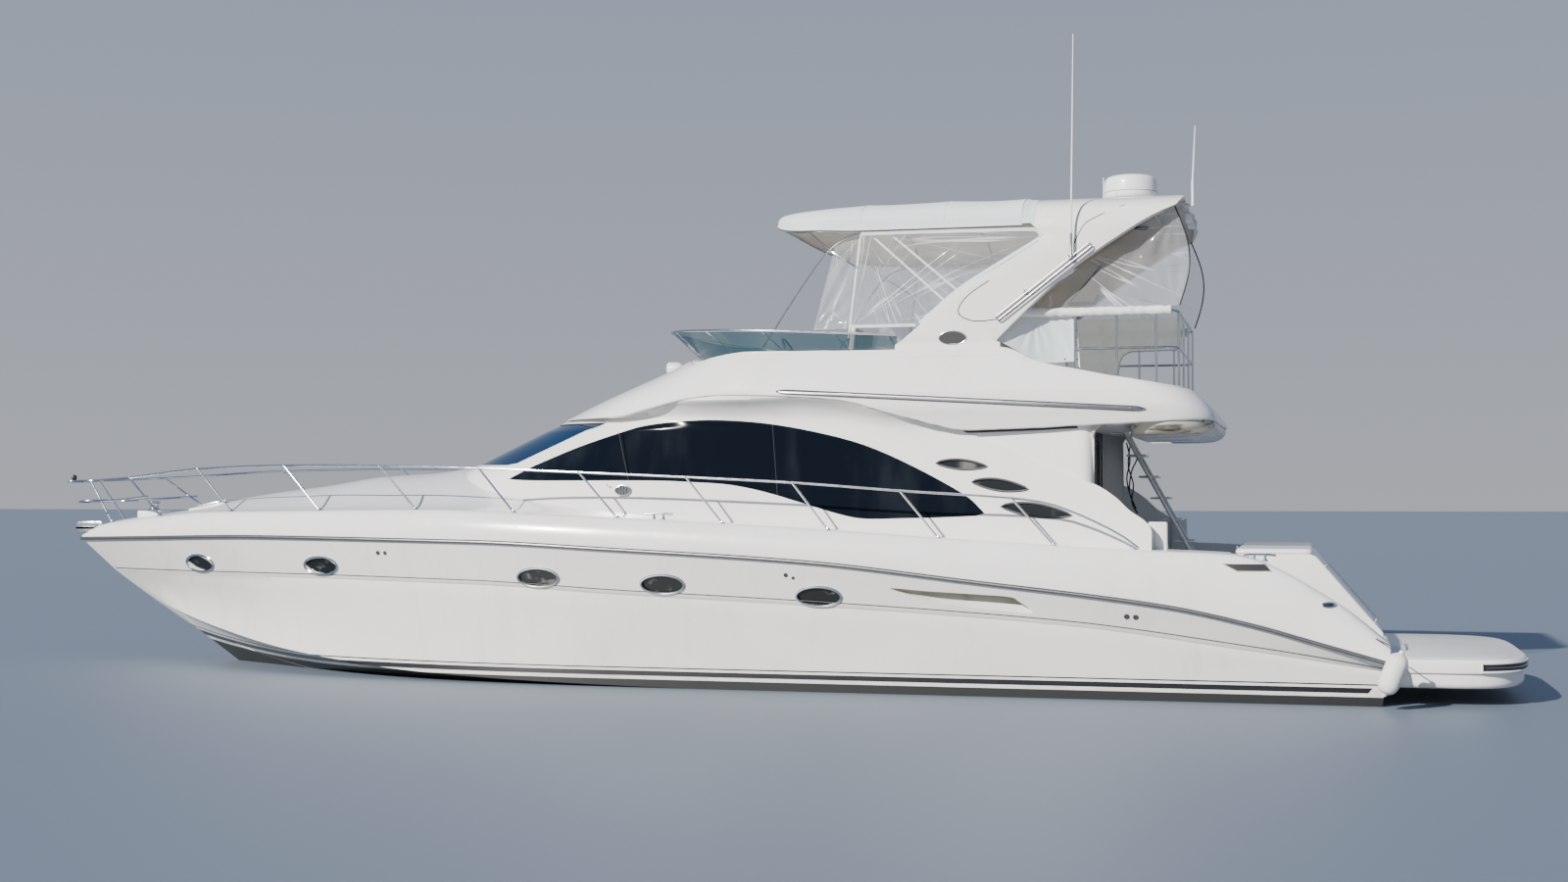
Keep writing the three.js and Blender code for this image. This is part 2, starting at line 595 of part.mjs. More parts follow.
// Soft top: an arched sheet with a round front, joined to the arch by eye
const softTop = { frontX: -700, roundX: -1700, aftX: -3860, half: 1710, thickness: 24 };
const softTopZ = curve([[-3900, 5475], [-2970, 5490], [-1950, 5475], [-1290, 5455], [-900, 5450], [-700, 5435]]);
const softTopEdgeZ = curve([[-3900, 5080], [-2060, 5085], [-1700, 5100], [-1380, 5125], [-1170, 5165], [-980, 5230],
  [-800, 5330], [-700, 5400]]);

function softTopHalf(x) {
  const t = clamp((x - softTop.roundX) / (softTop.frontX - softTop.roundX));
  return softTop.half * Math.max(0.02, 1 - t ** 2) ** 0.7;
}

function softTopSection(x, inset) {
  const half = softTopHalf(x) - inset;
  const edge = softTopEdgeZ(x) - (inset ? 5 : 0);
  const top = softTopZ(x) - inset;
  const arc = spread(-90, 90, 15).map((deg) => {
    const angle = THREE.MathUtils.degToRad(deg);
    const across = Math.sign(angle) * Math.abs(Math.sin(angle)) ** 0.62;
    return point(x, half * across, edge + (top - edge) * Math.cos(angle) ** 0.62);
  });
  return [...arc, point(x, 0, edge - (inset ? 60 : 0))];
}

const roundTo = (frontX) =>
  spread(0, 90, 8).slice(1).map((deg) => lerp(softTop.roundX, frontX, Math.sin(THREE.MathUtils.degToRad(deg))));

function softTopBody(inset) {
  const xs = [...spread(softTop.aftX + (inset ? -50 : 0), softTop.roundX, 5), ...roundTo(softTop.frontX - 2 * inset)];
  return solid(loft(xs.map((x) => softTopSection(x, inset))));
}

add("soft_top", without(softTopBody(0), softTopBody(softTop.thickness)), "vinylWhite");

// Frame of the soft top: a front bow under the hem, two bows across, side rails, and on each side a pole, two struts
// to the arch and two crossed braces, one of which runs on as a stay to the coaming
const frame = { tube: 13, brace: 9, railY: 1640, railZ: 5070, poleX: -2060, bows: [-2060, -3000] };
const bowLine = (x) => {
  const port = [point(x, frame.railY, frame.railZ), point(x, 1580, 5220), point(x, 1150, 5340)];
  return smooth([...port, point(x, 0, 5375), ...port.map((p) => point(x, -p.y, p.z)).reverse()], 16);
};
const hemHalf = [frame.poleX, ...roundTo(softTop.frontX - 60)].map((x) =>
  point(x, Math.min(frame.railY, softTopHalf(x) - 45), softTopEdgeZ(x) - frame.tube - 3));
const hemLine = [...hemHalf, ...hemHalf.map((p) => point(p.x, -p.y, p.z)).reverse()];
const framePieces = [tube(hemLine, frame.tube), ...frame.bows.map((x) => tube(bowLine(x), frame.tube))];
const frameRods = [
  { radius: frame.tube, line: [[-2060, 1640, 5070], [-3840, 1640, 5070]] },
  { radius: frame.tube, line: [[-2060, 1640, 5070], [-1900, 1640, 3770]] },
  { radius: frame.tube, line: [[-2130, 1640, 5070], [-3090, 1670, 4195]] },
  { radius: frame.tube, line: [[-2350, 1640, 5070], [-3220, 1670, 4320]] },
  { radius: frame.brace, line: [[-1450, 1600, 5102], [-1660, 1480, 4900], [-2010, 1640, 4680]] },
  { radius: frame.brace, line: [[-2060, 1640, 5070], [-1600, 1470, 4850], [-900, 1600, 3770]] },
];
for (const { radius, line } of frameRods)
  for (const side of [1, -1])
    framePieces.push(tube(line.map(([x, y, z]) => point(x, side * y, z)), radius));
const liftedClear = (body) => solid(shapeOf(body).translate(gap, 0, gap));
add("soft_top_frame", without(joined(...framePieces), liftedClear(flyBody), liftedClear(archBody)), "steel");

// Clear side curtains, thin sheets between the soft top, the arch and the wind deflector
const curtainOutline = [[-1935, 4000], [-2712, 4000], [-3194, 4398], [-4050, 4906], [-4080, 4958], [-3995, 5045],
  [-2060, 5060]];
for (const [name, side] of [["side_curtain_port", 1], ["side_curtain_starboard", -1]])
  add(name, sideCut(curtainOutline, side > 0 ? 1690 : -1695, side > 0 ? 1695 : -1690), "clearVinyl");

// Aft rail of the flybridge with stanchions
const aftRail = { x: -5500, half: 1480, coamingZ: 3320, topZ: 4130, midZ: 3735, frontX: -3960, corner: 160 };

function railLoop(z, frontX) {
  const { x, half, corner } = aftRail;
  const side = (s) => [point(frontX, s * half, z), point(x + corner, s * half, z), point(x + 0.3 * corner,
    s * (half - 0.3 * corner), z), point(x, s * (half - corner), z)];
  return tube([...side(1), ...side(-1).reverse()], railTube);
}

const aftRailPieces = [railLoop(aftRail.topZ, aftRail.frontX), railLoop(aftRail.midZ, -4400)];
for (const side of [1, -1]) {
  for (const x of [-3960, -4400, -4850, -5270])
    aftRailPieces.push(tube([point(x, side * aftRail.half, flyFloorZ + gap), point(x, side * aftRail.half,
      aftRail.topZ)], railTube));
  for (const y of [1320, 450])
    aftRailPieces.push(tube([point(aftRail.x, side * y, aftRail.coamingZ), point(aftRail.x, side * y, aftRail.topZ)],
      railTube));
}
add("aft_rail", without(joined(...aftRailPieces), box(-far, far, -far, far, 0, flyFloorZ + gap)), "steel");

// Weather cloths laced inside the rail: a short one to port, and a long one to starboard whose lower aft half is torn
// away; outlines as [x, z]
const cloth = { thickness: 8, inset: 26 };
const clothOutlines = {
  weather_cloth_port: [[-3790, 3740], [-4000, 3600], [-4390, 3600], [-4450, 3530], [-4410, 4095], [-3920, 4095],
    [-3790, 4040]],
  weather_cloth_starboard: [[-3980, 3560], [-4560, 3560], [-4600, 3830], [-4740, 3900], [-5340, 3915], [-5360, 4095],
    [-3980, 4095]],
};
for (const [name, side] of [["weather_cloth_port", 1], ["weather_cloth_starboard", -1]]) {
  const y = side * (aftRail.half - cloth.inset);
  add(name, sideCut(clothOutlines[name], y - cloth.thickness / 2, y + cloth.thickness / 2), "vinylWhite");
}

// Flybridge helm, wheel, seat and lounge
const helm = { y: 450, wheelX: -930, wheelZ: 3830, wheelRadius: 190, tilt: 0.5, hubDepth: 60, play: 6 };
const wheelAxis = point(-Math.cos(helm.tilt), 0, Math.sin(helm.tilt));
const wheelCentre = point(helm.wheelX, helm.y, helm.wheelZ);
const onWheelAxis = (offset) => wheelCentre.clone().addScaledVector(wheelAxis, offset);
const consoleBody = planCut(roundedBox2(-880, -330, -250, 1150, 90), flyFloorZ + gap, 3780);
const consoleFace = sideCut([[-900, 3620], [-900, 3900], [-640, 3900]], -300, 1200);
const column = cylinder(onWheelAxis(-helm.hubDepth - helm.play), onWheelAxis(-220), 30);
add("helm_console", joined(without(consoleBody, consoleFace), column), "gelcoat");
const wheelPieces = [];
const rimAt = (angle) => {
  const up = point(Math.sin(helm.tilt), 0, Math.cos(helm.tilt));
  return wheelCentre.clone().addScaledVector(up, helm.wheelRadius * Math.cos(angle)).add(
    point(0, helm.wheelRadius * Math.sin(angle), 0));
};
const rim = solid(facingOut(closed(new THREE.TorusGeometry(helm.wheelRadius, 13, 8, 28).applyQuaternion(
  new THREE.Quaternion().setFromUnitVectors(point(0, 0, 1), wheelAxis)).translate(wheelCentre.x, wheelCentre.y,
  wheelCentre.z))));
wheelPieces.push(rim);
for (const angle of [0, 2.094, 4.189]) wheelPieces.push(tube([wheelCentre, rimAt(angle)], 9));
wheelPieces.push(cylinder(onWheelAxis(22), onWheelAxis(-helm.hubDepth), 34));
add("helm_wheel", joined(...wheelPieces), "steel");
add("helm_seat", joined(
  planCut(roundedBox2(-1800, -1250, 0, 1050, 90), 3480, 3600),
  sideCut([[-1800, 3590], [-1670, 3590], [-1760, 4080], [-1860, 4080]], 40, 1010),
  planCut(roundedBox2(-1680, -1350, 380, 680, 60), flyFloorZ + gap, 3490)), "vinylWhite");
add("fly_lounge", without(
  planCut(wellPlan(1420, -700, -5000).filter(([x]) => x < 1), flyFloorZ + gap, 3500).intersect(
    box(-4200, -2300, -far, -300, 0, far)),
  box(-3650, -2850, -900, 0, 0, far)), "vinylWhite");

// Transom locker between the starboard quarter and the passage, with a lifting lid
const lockerFootZ = 480 + gap;
const lockerProfile = [[-6080, lockerFootZ], [-6080, locker.topZ], [-6880, locker.topZ], [-6960, 1440], [-7590, 700],
  [-7590, lockerFootZ]];
const lockerBody = without(
  sideCut(lockerProfile, locker.y0 + 5, passage.y0 - gap),
  box(-6780, -6180, locker.y0 + 105, passage.y0 - 130, 1000, far),
);
add("transom_locker", lockerBody, "gelcoat");
add("locker_lid", planCut(roundedBox2(locker.x0, locker.x1, locker.y0 + 10, passage.y0 - 25, 50), locker.topZ + 3,
  locker.lidTopZ), "gelcoat");
add("passage_gate", box(-6130, -6085, passage.y0 + 12, passage.y1 - 22, cockpitSoleZ + 12, 1480), "gelcoat");

// Swim platform
const platform = { frontX: -7500, half: 1940, bottomZ: 180, corner: 600 };
const platformPlan = [[platform.frontX, -platform.half], ...roundedBox2(platformAftX, -7700, -platform.half,
  platform.half, platform.corner, 7).filter(([x]) => x < -7700 - platform.corner + 1), [platform.frontX,
  platform.half]];
const platformOrder = platformPlan.sort((a, b) => Math.atan2(a[1], a[0] + 8300) - Math.atan2(b[1], b[0] + 8300));
const hullAftClear = solid(shapeOf(hullBody).translate(-gap, 0, 0));
const deckAftClear = box(lines.rail.aftX - gap, far, -far, far, lines.rail.z(lines.rail.aftX) - 5, platformTopZ + 1);
add("swim_platform", without(planCut(platformOrder, platform.bottomZ, platformTopZ), hullAftClear, deckAftClear),
  "gelcoat");

// Engine hatch and engines
add("engine_hatch", box(hatchHole.x0 - 24, hatchHole.x1 + 24, -hatchHole.half - 24, hatchHole.half + 24,
  cockpitSoleZ - 29, cockpitSoleZ + 4), "gelcoat");
const engine = { x0: -5700, x1: -4000, y0: 280, y1: 1120, topZ: 620 };
for (const [name, side] of [["engine_port", 1], ["engine_starboard", -1]]) {
  const [y0, y1] = side > 0 ? [engine.y0, engine.y1] : [-engine.y1, -engine.y0];
  add(name, box(engine.x0, engine.x1, y0, y1, engineRoom.floorZ + gap, engine.topZ), "engine");
}

// Cockpit seat along the locker's forward face
add("cockpit_seat", joined(
  box(-6040, -5740, -800, 1300, cockpitSoleZ + gap, 1180),
  box(-6040, -5960, -800, 1300, 1170, 1440)), "vinylWhite");

// Stairs to the flybridge, one joined piece
const stairs = { steps: 8, x0: -5950, x1: -4720, y0: -1420, y1: -860, firstZ: 1100, lastZ: 2890, tread: 40 };
const stairPieces = [];
for (const [i, z] of spread(stairs.firstZ, stairs.lastZ, stairs.steps).entries()) {
  const x = lerp(stairs.x0 + 250, stairs.x1, i / (stairs.steps - 1));
  stairPieces.push(box(x - 110, x + 120, stairs.y0 + 20, stairs.y1 - 20, z - stairs.tread, z));
}
for (const y of [stairs.y0, stairs.y1 - 30])
  stairPieces.push(sideCut([[stairs.x0 + 60, cockpitSoleZ + gap], [stairs.x0 + 330, cockpitSoleZ + gap],
    [stairs.x1 + 130, 2900], [stairs.x1 - 120, 2900]], y, y + 30));
add("fly_stairs", joined(...stairPieces), "plastic");

// Saloon furniture seen faintly through the glass
add("saloon_dash", planCut(roundedBox2(1250, 1860, -1200, 1200, 120), saloonSoleZ + gap, 2150), "grey");
add("saloon_sofa", joined(
  box(-2700, -700, -1560, -900, saloonSoleZ + gap, 1480),
  box(-2700, -700, -1560, -1380, 1470, 1850)), "vinylWhite");

// Deck rails: a pulpit, and on each side a bow rail and a side rail, each with its leaning stanchions
const railTopZ = curve([[-5110, 1580], [-4710, 1700], [-4300, 1890], [-3830, 2070], [-3310, 2150], [-2410, 2200],
  [-1380, 2310], [1070, 2350], [4350, 2520], [6100, 2500], [7600, 2480], [8800, 2420]]);
const bowRailPath = (side) =>
  [...spread(-5100, 8300, 28), 8700].map((x) => point(x, side * (deckEdgeY(x) + 20 * clamp((x - 5000) / 3000)),
    railTopZ(x)));
const pulpit = smooth([...bowRailPath(1).slice(-3), point(8960, 190, 2410), point(9000, 0, 2410),
  point(8960, -190, 2410), ...bowRailPath(-1).slice(-3).reverse()], 18);
const sideStanchionX = [-3250, -1900, -560, 770, 2110, 3450, 4790, 6130, 7400];
const pulpitStanchionX = 8250;
const pulpitX = bowRailPath(1).at(-3).x; // where the bow rails meet the pulpit
const railSplit = 21; // point of the path where the side rail meets the bow rail
const railSplitX = bowRailPath(1)[railSplit].x;

function stanchion(x, side) {
  const lean = x > 7000 ? 240 : 330;
  const footX = x - lean;
  const footY = deckEdgeY(footX) - 45;
  return tube([point(footX, side * footY, deckTopZ(footX, footY) + 2), point(x, side * deckEdgeY(x), railTopZ(x))],
    railTube - 2);
}

function deckRail(name, path, side, from, to) {
  const stanchions = sideStanchionX.filter((x) => x > from && x < to).map((x) => stanchion(x, side));
  add(name, without(joined(tube(path, railTube), ...stanchions), deckClear, box(to - gap, far, -far, far, 0, far),
    box(-2 * far, from, -far, far, 0, far)), "steel");
}

for (const [word, side] of [["port", 1], ["starboard", -1]]) {
  const path = bowRailPath(side);
  deckRail("side_rail_" + word, path.slice(0, railSplit + 1), side, -far, railSplitX);
  deckRail("bow_rail_" + word, path.slice(railSplit, -2), side, railSplitX, pulpitX);
}
add("pulpit", without(
  joined(tube(pulpit, railTube), stanchion(pulpitStanchionX, 1), stanchion(pulpitStanchionX, -1)),
  deckClear, box(-far, pulpitX, -far, far, 0, far)), "steel");

// Foredeck hatch, windlass and bow roller on the foredeck
add("foredeck_hatch", sideCut(hatchSide(8, 38), -hatch.half, hatch.half), "darkGlass");
const windlassZ = deckTopZ(7900, 0);
add("windlass", without(joined(
  planCut(roundedBox2(7720, 8080, -150, 150, 60), windlassZ - 60, windlassZ + 60),
  cylinder(point(7900, 0, windlassZ + 50), point(7900, 0, windlassZ + 190), 85, 16)), deckClear), "steel");
add("bow_roller", without(joined(
  box(8300, 9040, -75, 75, 1660, 1735),
  box(8650, 9040, -75, -60, 1660, 1800), box(8650, 9040, 60, 75, 1660, 1800)), deckCutter(3),
  solid(loft(railRows()))), "steel");

// Radome, antennas and searchlight
const radome = { x: -4880, radius: 308, baseZ: 5545, height: 290 };
const radomeProfile = [[0, 0], [0.8, 0], [1, 0.18], [1, 0.42], [0.97, 0.8], [0.86, 0.95], [0.5, 1], [0, 1]].map(
  ([r, h]) => new THREE.Vector2(r * radome.radius, h * radome.height));
const radomeBody = solid(facingOut(closed(new THREE.LatheGeometry(radomeProfile, 28).rotateX(Math.PI / 2).translate(
  radome.x, 0, radome.baseZ))));
add("radome", radomeBody.add(cylinder(point(radome.x, 0, 5498), point(radome.x, 0, 5550), 120)), "plastic");
// Each antenna turns on a stub beside its foot
const antennas = {
  antenna_port: { x: -4400, y: 1800, pivotZ: 4700, length: 2400, radius: 12 },
  antenna_arch: { x: -5650, y: 1205, pivotZ: 5305, length: 850, radius: 11 },
};
for (const [name, a] of Object.entries(antennas))
  add(name, joined(
    cylinder(point(a.x, a.y, a.pivotZ - 20), point(a.x, a.y, a.pivotZ + 260), a.radius + 7),
    cylinder(point(a.x, a.y, a.pivotZ + 250), point(a.x - 30, a.y, a.pivotZ + a.length), a.radius, 8, 5)), "plastic");
add("antenna_stub_port", cylinder(point(-4400, 1740 + gap, 4700), point(-4400, 1775, 4700), 22), "steel");
add("antenna_stub_arch", joined(
  box(-5665, -5566, 1150, 1178, 5290, 5320),
  box(-5575, -5566, 1120, 1208, 5262, 5345)), "steel");
const flyLifted = solid(shapeOf(flyBody).translate(0, 0, gap));
add("searchlight", without(joined(
  cylinder(point(640, 0, 3600), point(640, 0, 3710), 60),
  cylinder(point(640, 0, 3700), point(640, 0, 3770), 32),
  cylinder(point(560, 0, 3800), point(745, 0, 3800), 80, 16)), flyLifted), "plastic");

// Shaft with its propeller, strut, rudder and trim tab on each side
const shaftAxis = shaftAt(-6000, 0).sub(shaftAt(-5000, 0)).normalize();
const strutX = -6080;

function blade(turn, side) {
  const rows = [[70, 190, 0.95], [160, 250, 0.72], [250, 240, 0.55], [gear.propRadius, 120, 0.42]].map(
    ([radius, width, pitch]) => {
      const w = width / 2;
      const corners = [[-w, -7], [w, -7], [w, 7], [-w, 7]];
      return corners.map(([across, thick]) => {
        const along = across * Math.sin(pitch) + thick * Math.cos(pitch);
        const round = across * Math.cos(pitch) - thick * Math.sin(pitch);
        return point(side * along, round, radius);
      });
    },
  );
  const turned = new THREE.Matrix4().makeRotationX(turn);
  return solid(facingOut(loft(rows).applyMatrix4(turned)));
}

for (const [word, side] of [["port", 1], ["starboard", -1]]) {
  const y = side * gear.y;
  const hub = shaftAt(-6420, y);
  const tilt = new THREE.Quaternion().setFromUnitVectors(point(-1, 0, 0), shaftAxis);
  const placed = new THREE.Matrix4().compose(hub, tilt, point(1, 1, 1));
  const spin = [0, 1, 2, 3].map((i) => blade((i * Math.PI) / 2 + 0.3, side));
  const wheel = joined(...spin, cylinder(point(-95, 0, 0), point(95, 0, 0), 78, 16, 66));
  const placedWheel = solid(facingOut(shapeOf(wheel).applyMatrix4(placed)));
  add("shaft_" + word, cylinder(shaftAt(log.boreX - 40, y), shaftAt(gear.aftX, y), gear.shaftRadius).add(placedWheel),
    "bronze");
  const bore = cylinder(shaftAt(-5000, y), shaftAt(-6700, y), gear.shaftRadius + gear.play);
  const barrel = cylinder(shaftAt(strutX + 130, y), shaftAt(strutX - 130, y), 62);
  const leg = (offset) => sideCut([[strutX - 60, -880], [strutX + 60, -880], [strutX + 60, -300], [strutX - 60, -300]],
    y + offset - 14, y + offset + 14);
  add("strut_" + word, without(joined(barrel, leg(0)), bore, hullBody), "bronze");
  const rudderPlan = [[rudder.lead, 0], [0.6 * rudder.lead, 0.4], [0, 0.5], [-0.5 * rudder.chord, 0.32],
    [rudder.lead - rudder.chord, 0.05], [rudder.lead - rudder.chord, -0.05], [-0.5 * rudder.chord, -0.32], [0, -0.5],
    [0.6 * rudder.lead, -0.4]].map(([x, t]) => [rudder.x + x, y + t * rudder.thickness]);
  add("rudder_" + word, joined(planCut(rudderPlan, rudder.bottomZ, rudder.topZ),
    cylinder(point(rudder.x, y, rudder.topZ - 20), point(rudder.x, y, boss.boreZ - 15), rudder.stock)), "bronze");
  add("trim_tab_" + word, sideCut([[-7532, -330], [-7532, -322], [-7860, -352], [-7860, -360]],
    side > 0 ? 500 : -1300, side > 0 ? 1300 : -500), "steel");
}

// Fender at the port quarter
const fender = { x: -7540, y: 2465, baseZ: 40, length: 560, radius: 100, lean: -0.38 };
const fenderProfile = [[0, 0], [0.25, 0], [0.75, 0.07], [1, 0.2], [1, 0.8], [0.75, 0.93], [0.25, 1], [0, 1]].map(
  ([r, h]) => new THREE.Vector2(r * fender.radius, h * fender.length));
const fenderBody = solid(facingOut(closed(new THREE.LatheGeometry(fenderProfile, 16).rotateX(Math.PI / 2).rotateY(
  fender.lean).translate(fender.x, fender.y, fender.baseZ))));
const fenderEye = point(fender.x + (fender.length - 10) * Math.sin(fender.lean), fender.y,
  fender.baseZ + (fender.length - 10) * Math.cos(fender.lean));
const lanyard = tube([fenderEye, point(-7480, 2255, 700)], 7);
add("fender", without(joined(fenderBody, lanyard), deckClear), "vinylWhite");

export default yacht;
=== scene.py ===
# Motor yacht afloat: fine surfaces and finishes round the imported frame
# Metres, +X to the bow, +Y to port, +Z up; the floor is at the waterline
import bmesh
import bpy
import math
from mathutils import Matrix, Vector, noise
from mathutils.bvhtree import BVHTree


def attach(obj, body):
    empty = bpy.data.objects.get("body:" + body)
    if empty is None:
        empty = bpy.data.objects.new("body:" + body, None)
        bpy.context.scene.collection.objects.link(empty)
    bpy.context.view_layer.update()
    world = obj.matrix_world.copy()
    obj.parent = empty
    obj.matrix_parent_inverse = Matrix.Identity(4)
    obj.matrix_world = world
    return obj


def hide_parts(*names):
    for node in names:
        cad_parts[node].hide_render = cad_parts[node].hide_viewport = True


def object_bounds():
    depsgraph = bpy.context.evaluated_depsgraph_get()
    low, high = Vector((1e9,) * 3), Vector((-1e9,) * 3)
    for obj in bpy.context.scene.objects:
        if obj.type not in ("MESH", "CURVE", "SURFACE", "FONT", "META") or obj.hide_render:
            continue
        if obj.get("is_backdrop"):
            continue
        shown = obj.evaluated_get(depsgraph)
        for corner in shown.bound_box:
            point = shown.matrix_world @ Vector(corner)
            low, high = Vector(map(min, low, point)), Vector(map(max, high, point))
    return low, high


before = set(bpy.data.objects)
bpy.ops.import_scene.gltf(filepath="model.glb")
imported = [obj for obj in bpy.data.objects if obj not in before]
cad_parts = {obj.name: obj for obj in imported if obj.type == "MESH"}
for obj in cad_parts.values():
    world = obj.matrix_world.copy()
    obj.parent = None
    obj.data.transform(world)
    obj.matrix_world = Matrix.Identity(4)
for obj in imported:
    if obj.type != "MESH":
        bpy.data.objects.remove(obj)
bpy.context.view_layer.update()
far = 30.0


# Numbers and outlines

def clamp(v, low=0.0, high=1.0):
    return max(low, min(high, v))


boatSides = (("port", 1), ("starboard", -1))


def mix(a, b, t):
    return a + (b - a) * t


def spread(a, b, count):
    return [mix(a, b, i / (count - 1)) for i in range(count)]


def smoothLine(*points):
    # a single-valued curve through (x, value) points that never overshoots them
    steps = [(q[1] - p[1]) / (q[0] - p[0]) for p, q in zip(points, points[1:])]
    slopes = [steps[0]] + [
        0 if a * b <= 0 else 2 * a * b / (a + b) for a, b in zip(steps, steps[1:])] + [steps[-1]]

    def at(x):
        if x <= points[0][0]:
            return points[0][1]
        if x >= points[-1][0]:
            return points[-1][1]
        i = max(k for k, p in enumerate(points[:-1]) if p[0] <= x)
        (x0, y0), (x1, y1) = points[i], points[i + 1]
        t = (x - x0) / (x1 - x0)
        rise = mix(y0, y1, t * t * (3 - 2 * t))
        return rise + (x1 - x0) * t * (1 - t) * (slopes[i] * (1 - t) - slopes[i + 1] * t)

    return at


def splined(points, steps=6, cyclic=False):
    # a smooth line through given points of any number of coordinates
    points = [Vector(p) for p in points]
    n = len(points)
    made = []
    for i in range(n if cyclic else n - 1):
        before, here, after, later = [points[(i + k) % n] if cyclic else points[clamp(i + k, 0, n - 1)]
                                      for k in (-1, 0, 1, 2)]
        for k in range(steps):
            t = k / steps
            made.append(0.5 * (2 * here + (after - before) * t
                               + (2 * before - 5 * here + 4 * after - later) * t * t
                               + (3 * here - before - 3 * after + later) * t ** 3))
    return made if cyclic else made + [points[-1]]


def roundedBox(low, high, radius, steps=6):
    corners = [(high[0] - radius, low[1] + radius, -90), (high[0] - radius, high[1] - radius, 0),
               (low[0] + radius, high[1] - radius, 90), (low[0] + radius, low[1] + radius, 180)]
    made = []
    for a, b, start in corners:
        for turn in spread(0, 90, steps + 1):
            angle = math.radians(start + turn)
            made.append((a + radius * math.cos(angle), b + radius * math.sin(angle)))
    return made


# Mesh work

def gridMesh(columns, rows, place):
    # place(i, k) gives the point of column i and row k
    bm = bmesh.new()
    bmesh.ops.create_grid(bm, x_segments=columns, y_segments=rows, size=0.5)
    for vert in bm.verts:
        vert.co = place(round((vert.co.x + 0.5) * columns), round((vert.co.y + 0.5) * rows))
    return bm


def closeUp(bm, merge=0.0002):
    bmesh.ops.remove_doubles(bm, verts=bm.verts, dist=merge)
    bmesh.ops.dissolve_degenerate(bm, dist=merge / 4, edges=bm.edges)
    openEdges = [edge for edge in bm.edges if edge.is_boundary]
    if openEdges:
        filled = bmesh.ops.holes_fill(bm, edges=openEdges, sides=0)
        bmesh.ops.triangulate(bm, faces=filled["faces"])
    bmesh.ops.recalc_face_normals(bm, faces=bm.faces)
    return bm


def loft(loops):
    # a closed body over rows of equally long closed loops
    count = len(loops[0])
    return closeUp(gridMesh(len(loops) - 1, count, lambda i, k: loops[i][k % count]))


def prism(outline, toLow, toHigh):
    # a closed outline drawn twice, by the two functions from its points to space, and joined
    return loft([[Vector(toLow(*p)) for p in outline], [Vector(toHigh(*p)) for p in outline]])


def sideCut(outline, y0, y1):
    return prism(outline, lambda x, z: (x, y0, z), lambda x, z: (x, y1, z))


def planCut(outline, z0, z1):
    return prism(outline, lambda x, y: (x, y, z0), lambda x, y: (x, y, z1))


def frontCut(outline, x0, x1):
    return prism(outline, lambda y, z: (x0, y, z), lambda y, z: (x1, y, z))


def block(low, high, bevel=0.0, segments=3):
    bm = bmesh.new()
    bmesh.ops.create_cube(bm, size=1)
    for vert in bm.verts:
        vert.co = [mix(a, b, c + 0.5) for a, b, c in zip(low, high, vert.co)]
    if bevel:
        bmesh.ops.bevel(bm, geom=bm.edges[:], offset=bevel, affect="EDGES", segments=segments, profile=0.5,
                        material=-1)
    return bm


def rod(start, end, radius, endRadius=None, sides=24):
    start, end = Vector(start), Vector(end)
    bm = bmesh.new()
    bmesh.ops.create_cone(bm, cap_ends=True, segments=sides, radius1=radius,
                          radius2=radius if endRadius is None else endRadius, depth=(end - start).length)
    turn = (end - start).to_track_quat("Z", "Y").to_matrix().to_4x4()
    bmesh.ops.transform(bm, matrix=Matrix.Translation((start + end) / 2) @ turn, verts=bm.verts)
    return bm


def ball(centre, radius, stretch=(1, 1, 1), detail=16):
    bm = bmesh.new()
    bmesh.ops.create_uvsphere(bm, u_segments=2 * detail, v_segments=detail, radius=radius)
    bmesh.ops.transform(bm, matrix=Matrix.Translation(centre) @ Matrix.Diagonal((*stretch, 1)),
                        verts=bm.verts)
    return bm


def spun(profile, centre, axis=(0, 0, 1), steps=48):
    # profile: (radius, height) pairs, turned round the axis through centre
    bm = bmesh.new()
    verts = [bm.verts.new((r, 0, h)) for r, h in profile]
    edges = [bm.edges.new(pair) for pair in zip(verts, verts[1:])]
    bmesh.ops.spin(bm, geom=verts + edges, cent=(0, 0, 0), axis=(0, 0, 1), angle=2 * math.pi, steps=steps,
                   use_merge=True)
    turn = Vector(axis).to_track_quat("Z", "Y").to_matrix().to_4x4()
    bmesh.ops.transform(bm, matrix=Matrix.Translation(centre) @ turn, verts=bm.verts)
    return closeUp(bm)


def tubes(lines, radius, detail=3):
    # round tubes along lists of points, with round caps where a line ends
    curve = bpy.data.curves.new("line", "CURVE")
    curve.dimensions = "3D"
    curve.bevel_depth = radius
    curve.bevel_resolution = detail
    curve.use_fill_caps = True
    for line in lines:
        cyclic = (Vector(line[0]) - Vector(line[-1])).length < 1e-6
        points = line[:-1] if cyclic else line
        spline = curve.splines.new("POLY")
        spline.points.add(len(points) - 1)
        for spot, point in zip(spline.points, points):
            spot.co = (*point, 1)
        spline.use_cyclic_u = cyclic
    holder = bpy.data.objects.new("line", curve)
    bm = bmesh.new()
    bm.from_mesh(holder.to_mesh())
    holder.to_mesh_clear()
    bpy.data.objects.remove(holder)
    bpy.data.curves.remove(curve)
    bmesh.ops.remove_doubles(bm, verts=bm.verts, dist=radius / 50)
    return bm


def closed(line):
    return line + line[:1]


def roundBow(port):
    # a port line that ends on the centreline, carried back along the starboard side
    return port + [Vector((p.x, -p.y, p.z)) for p in reversed(port[:-1])]


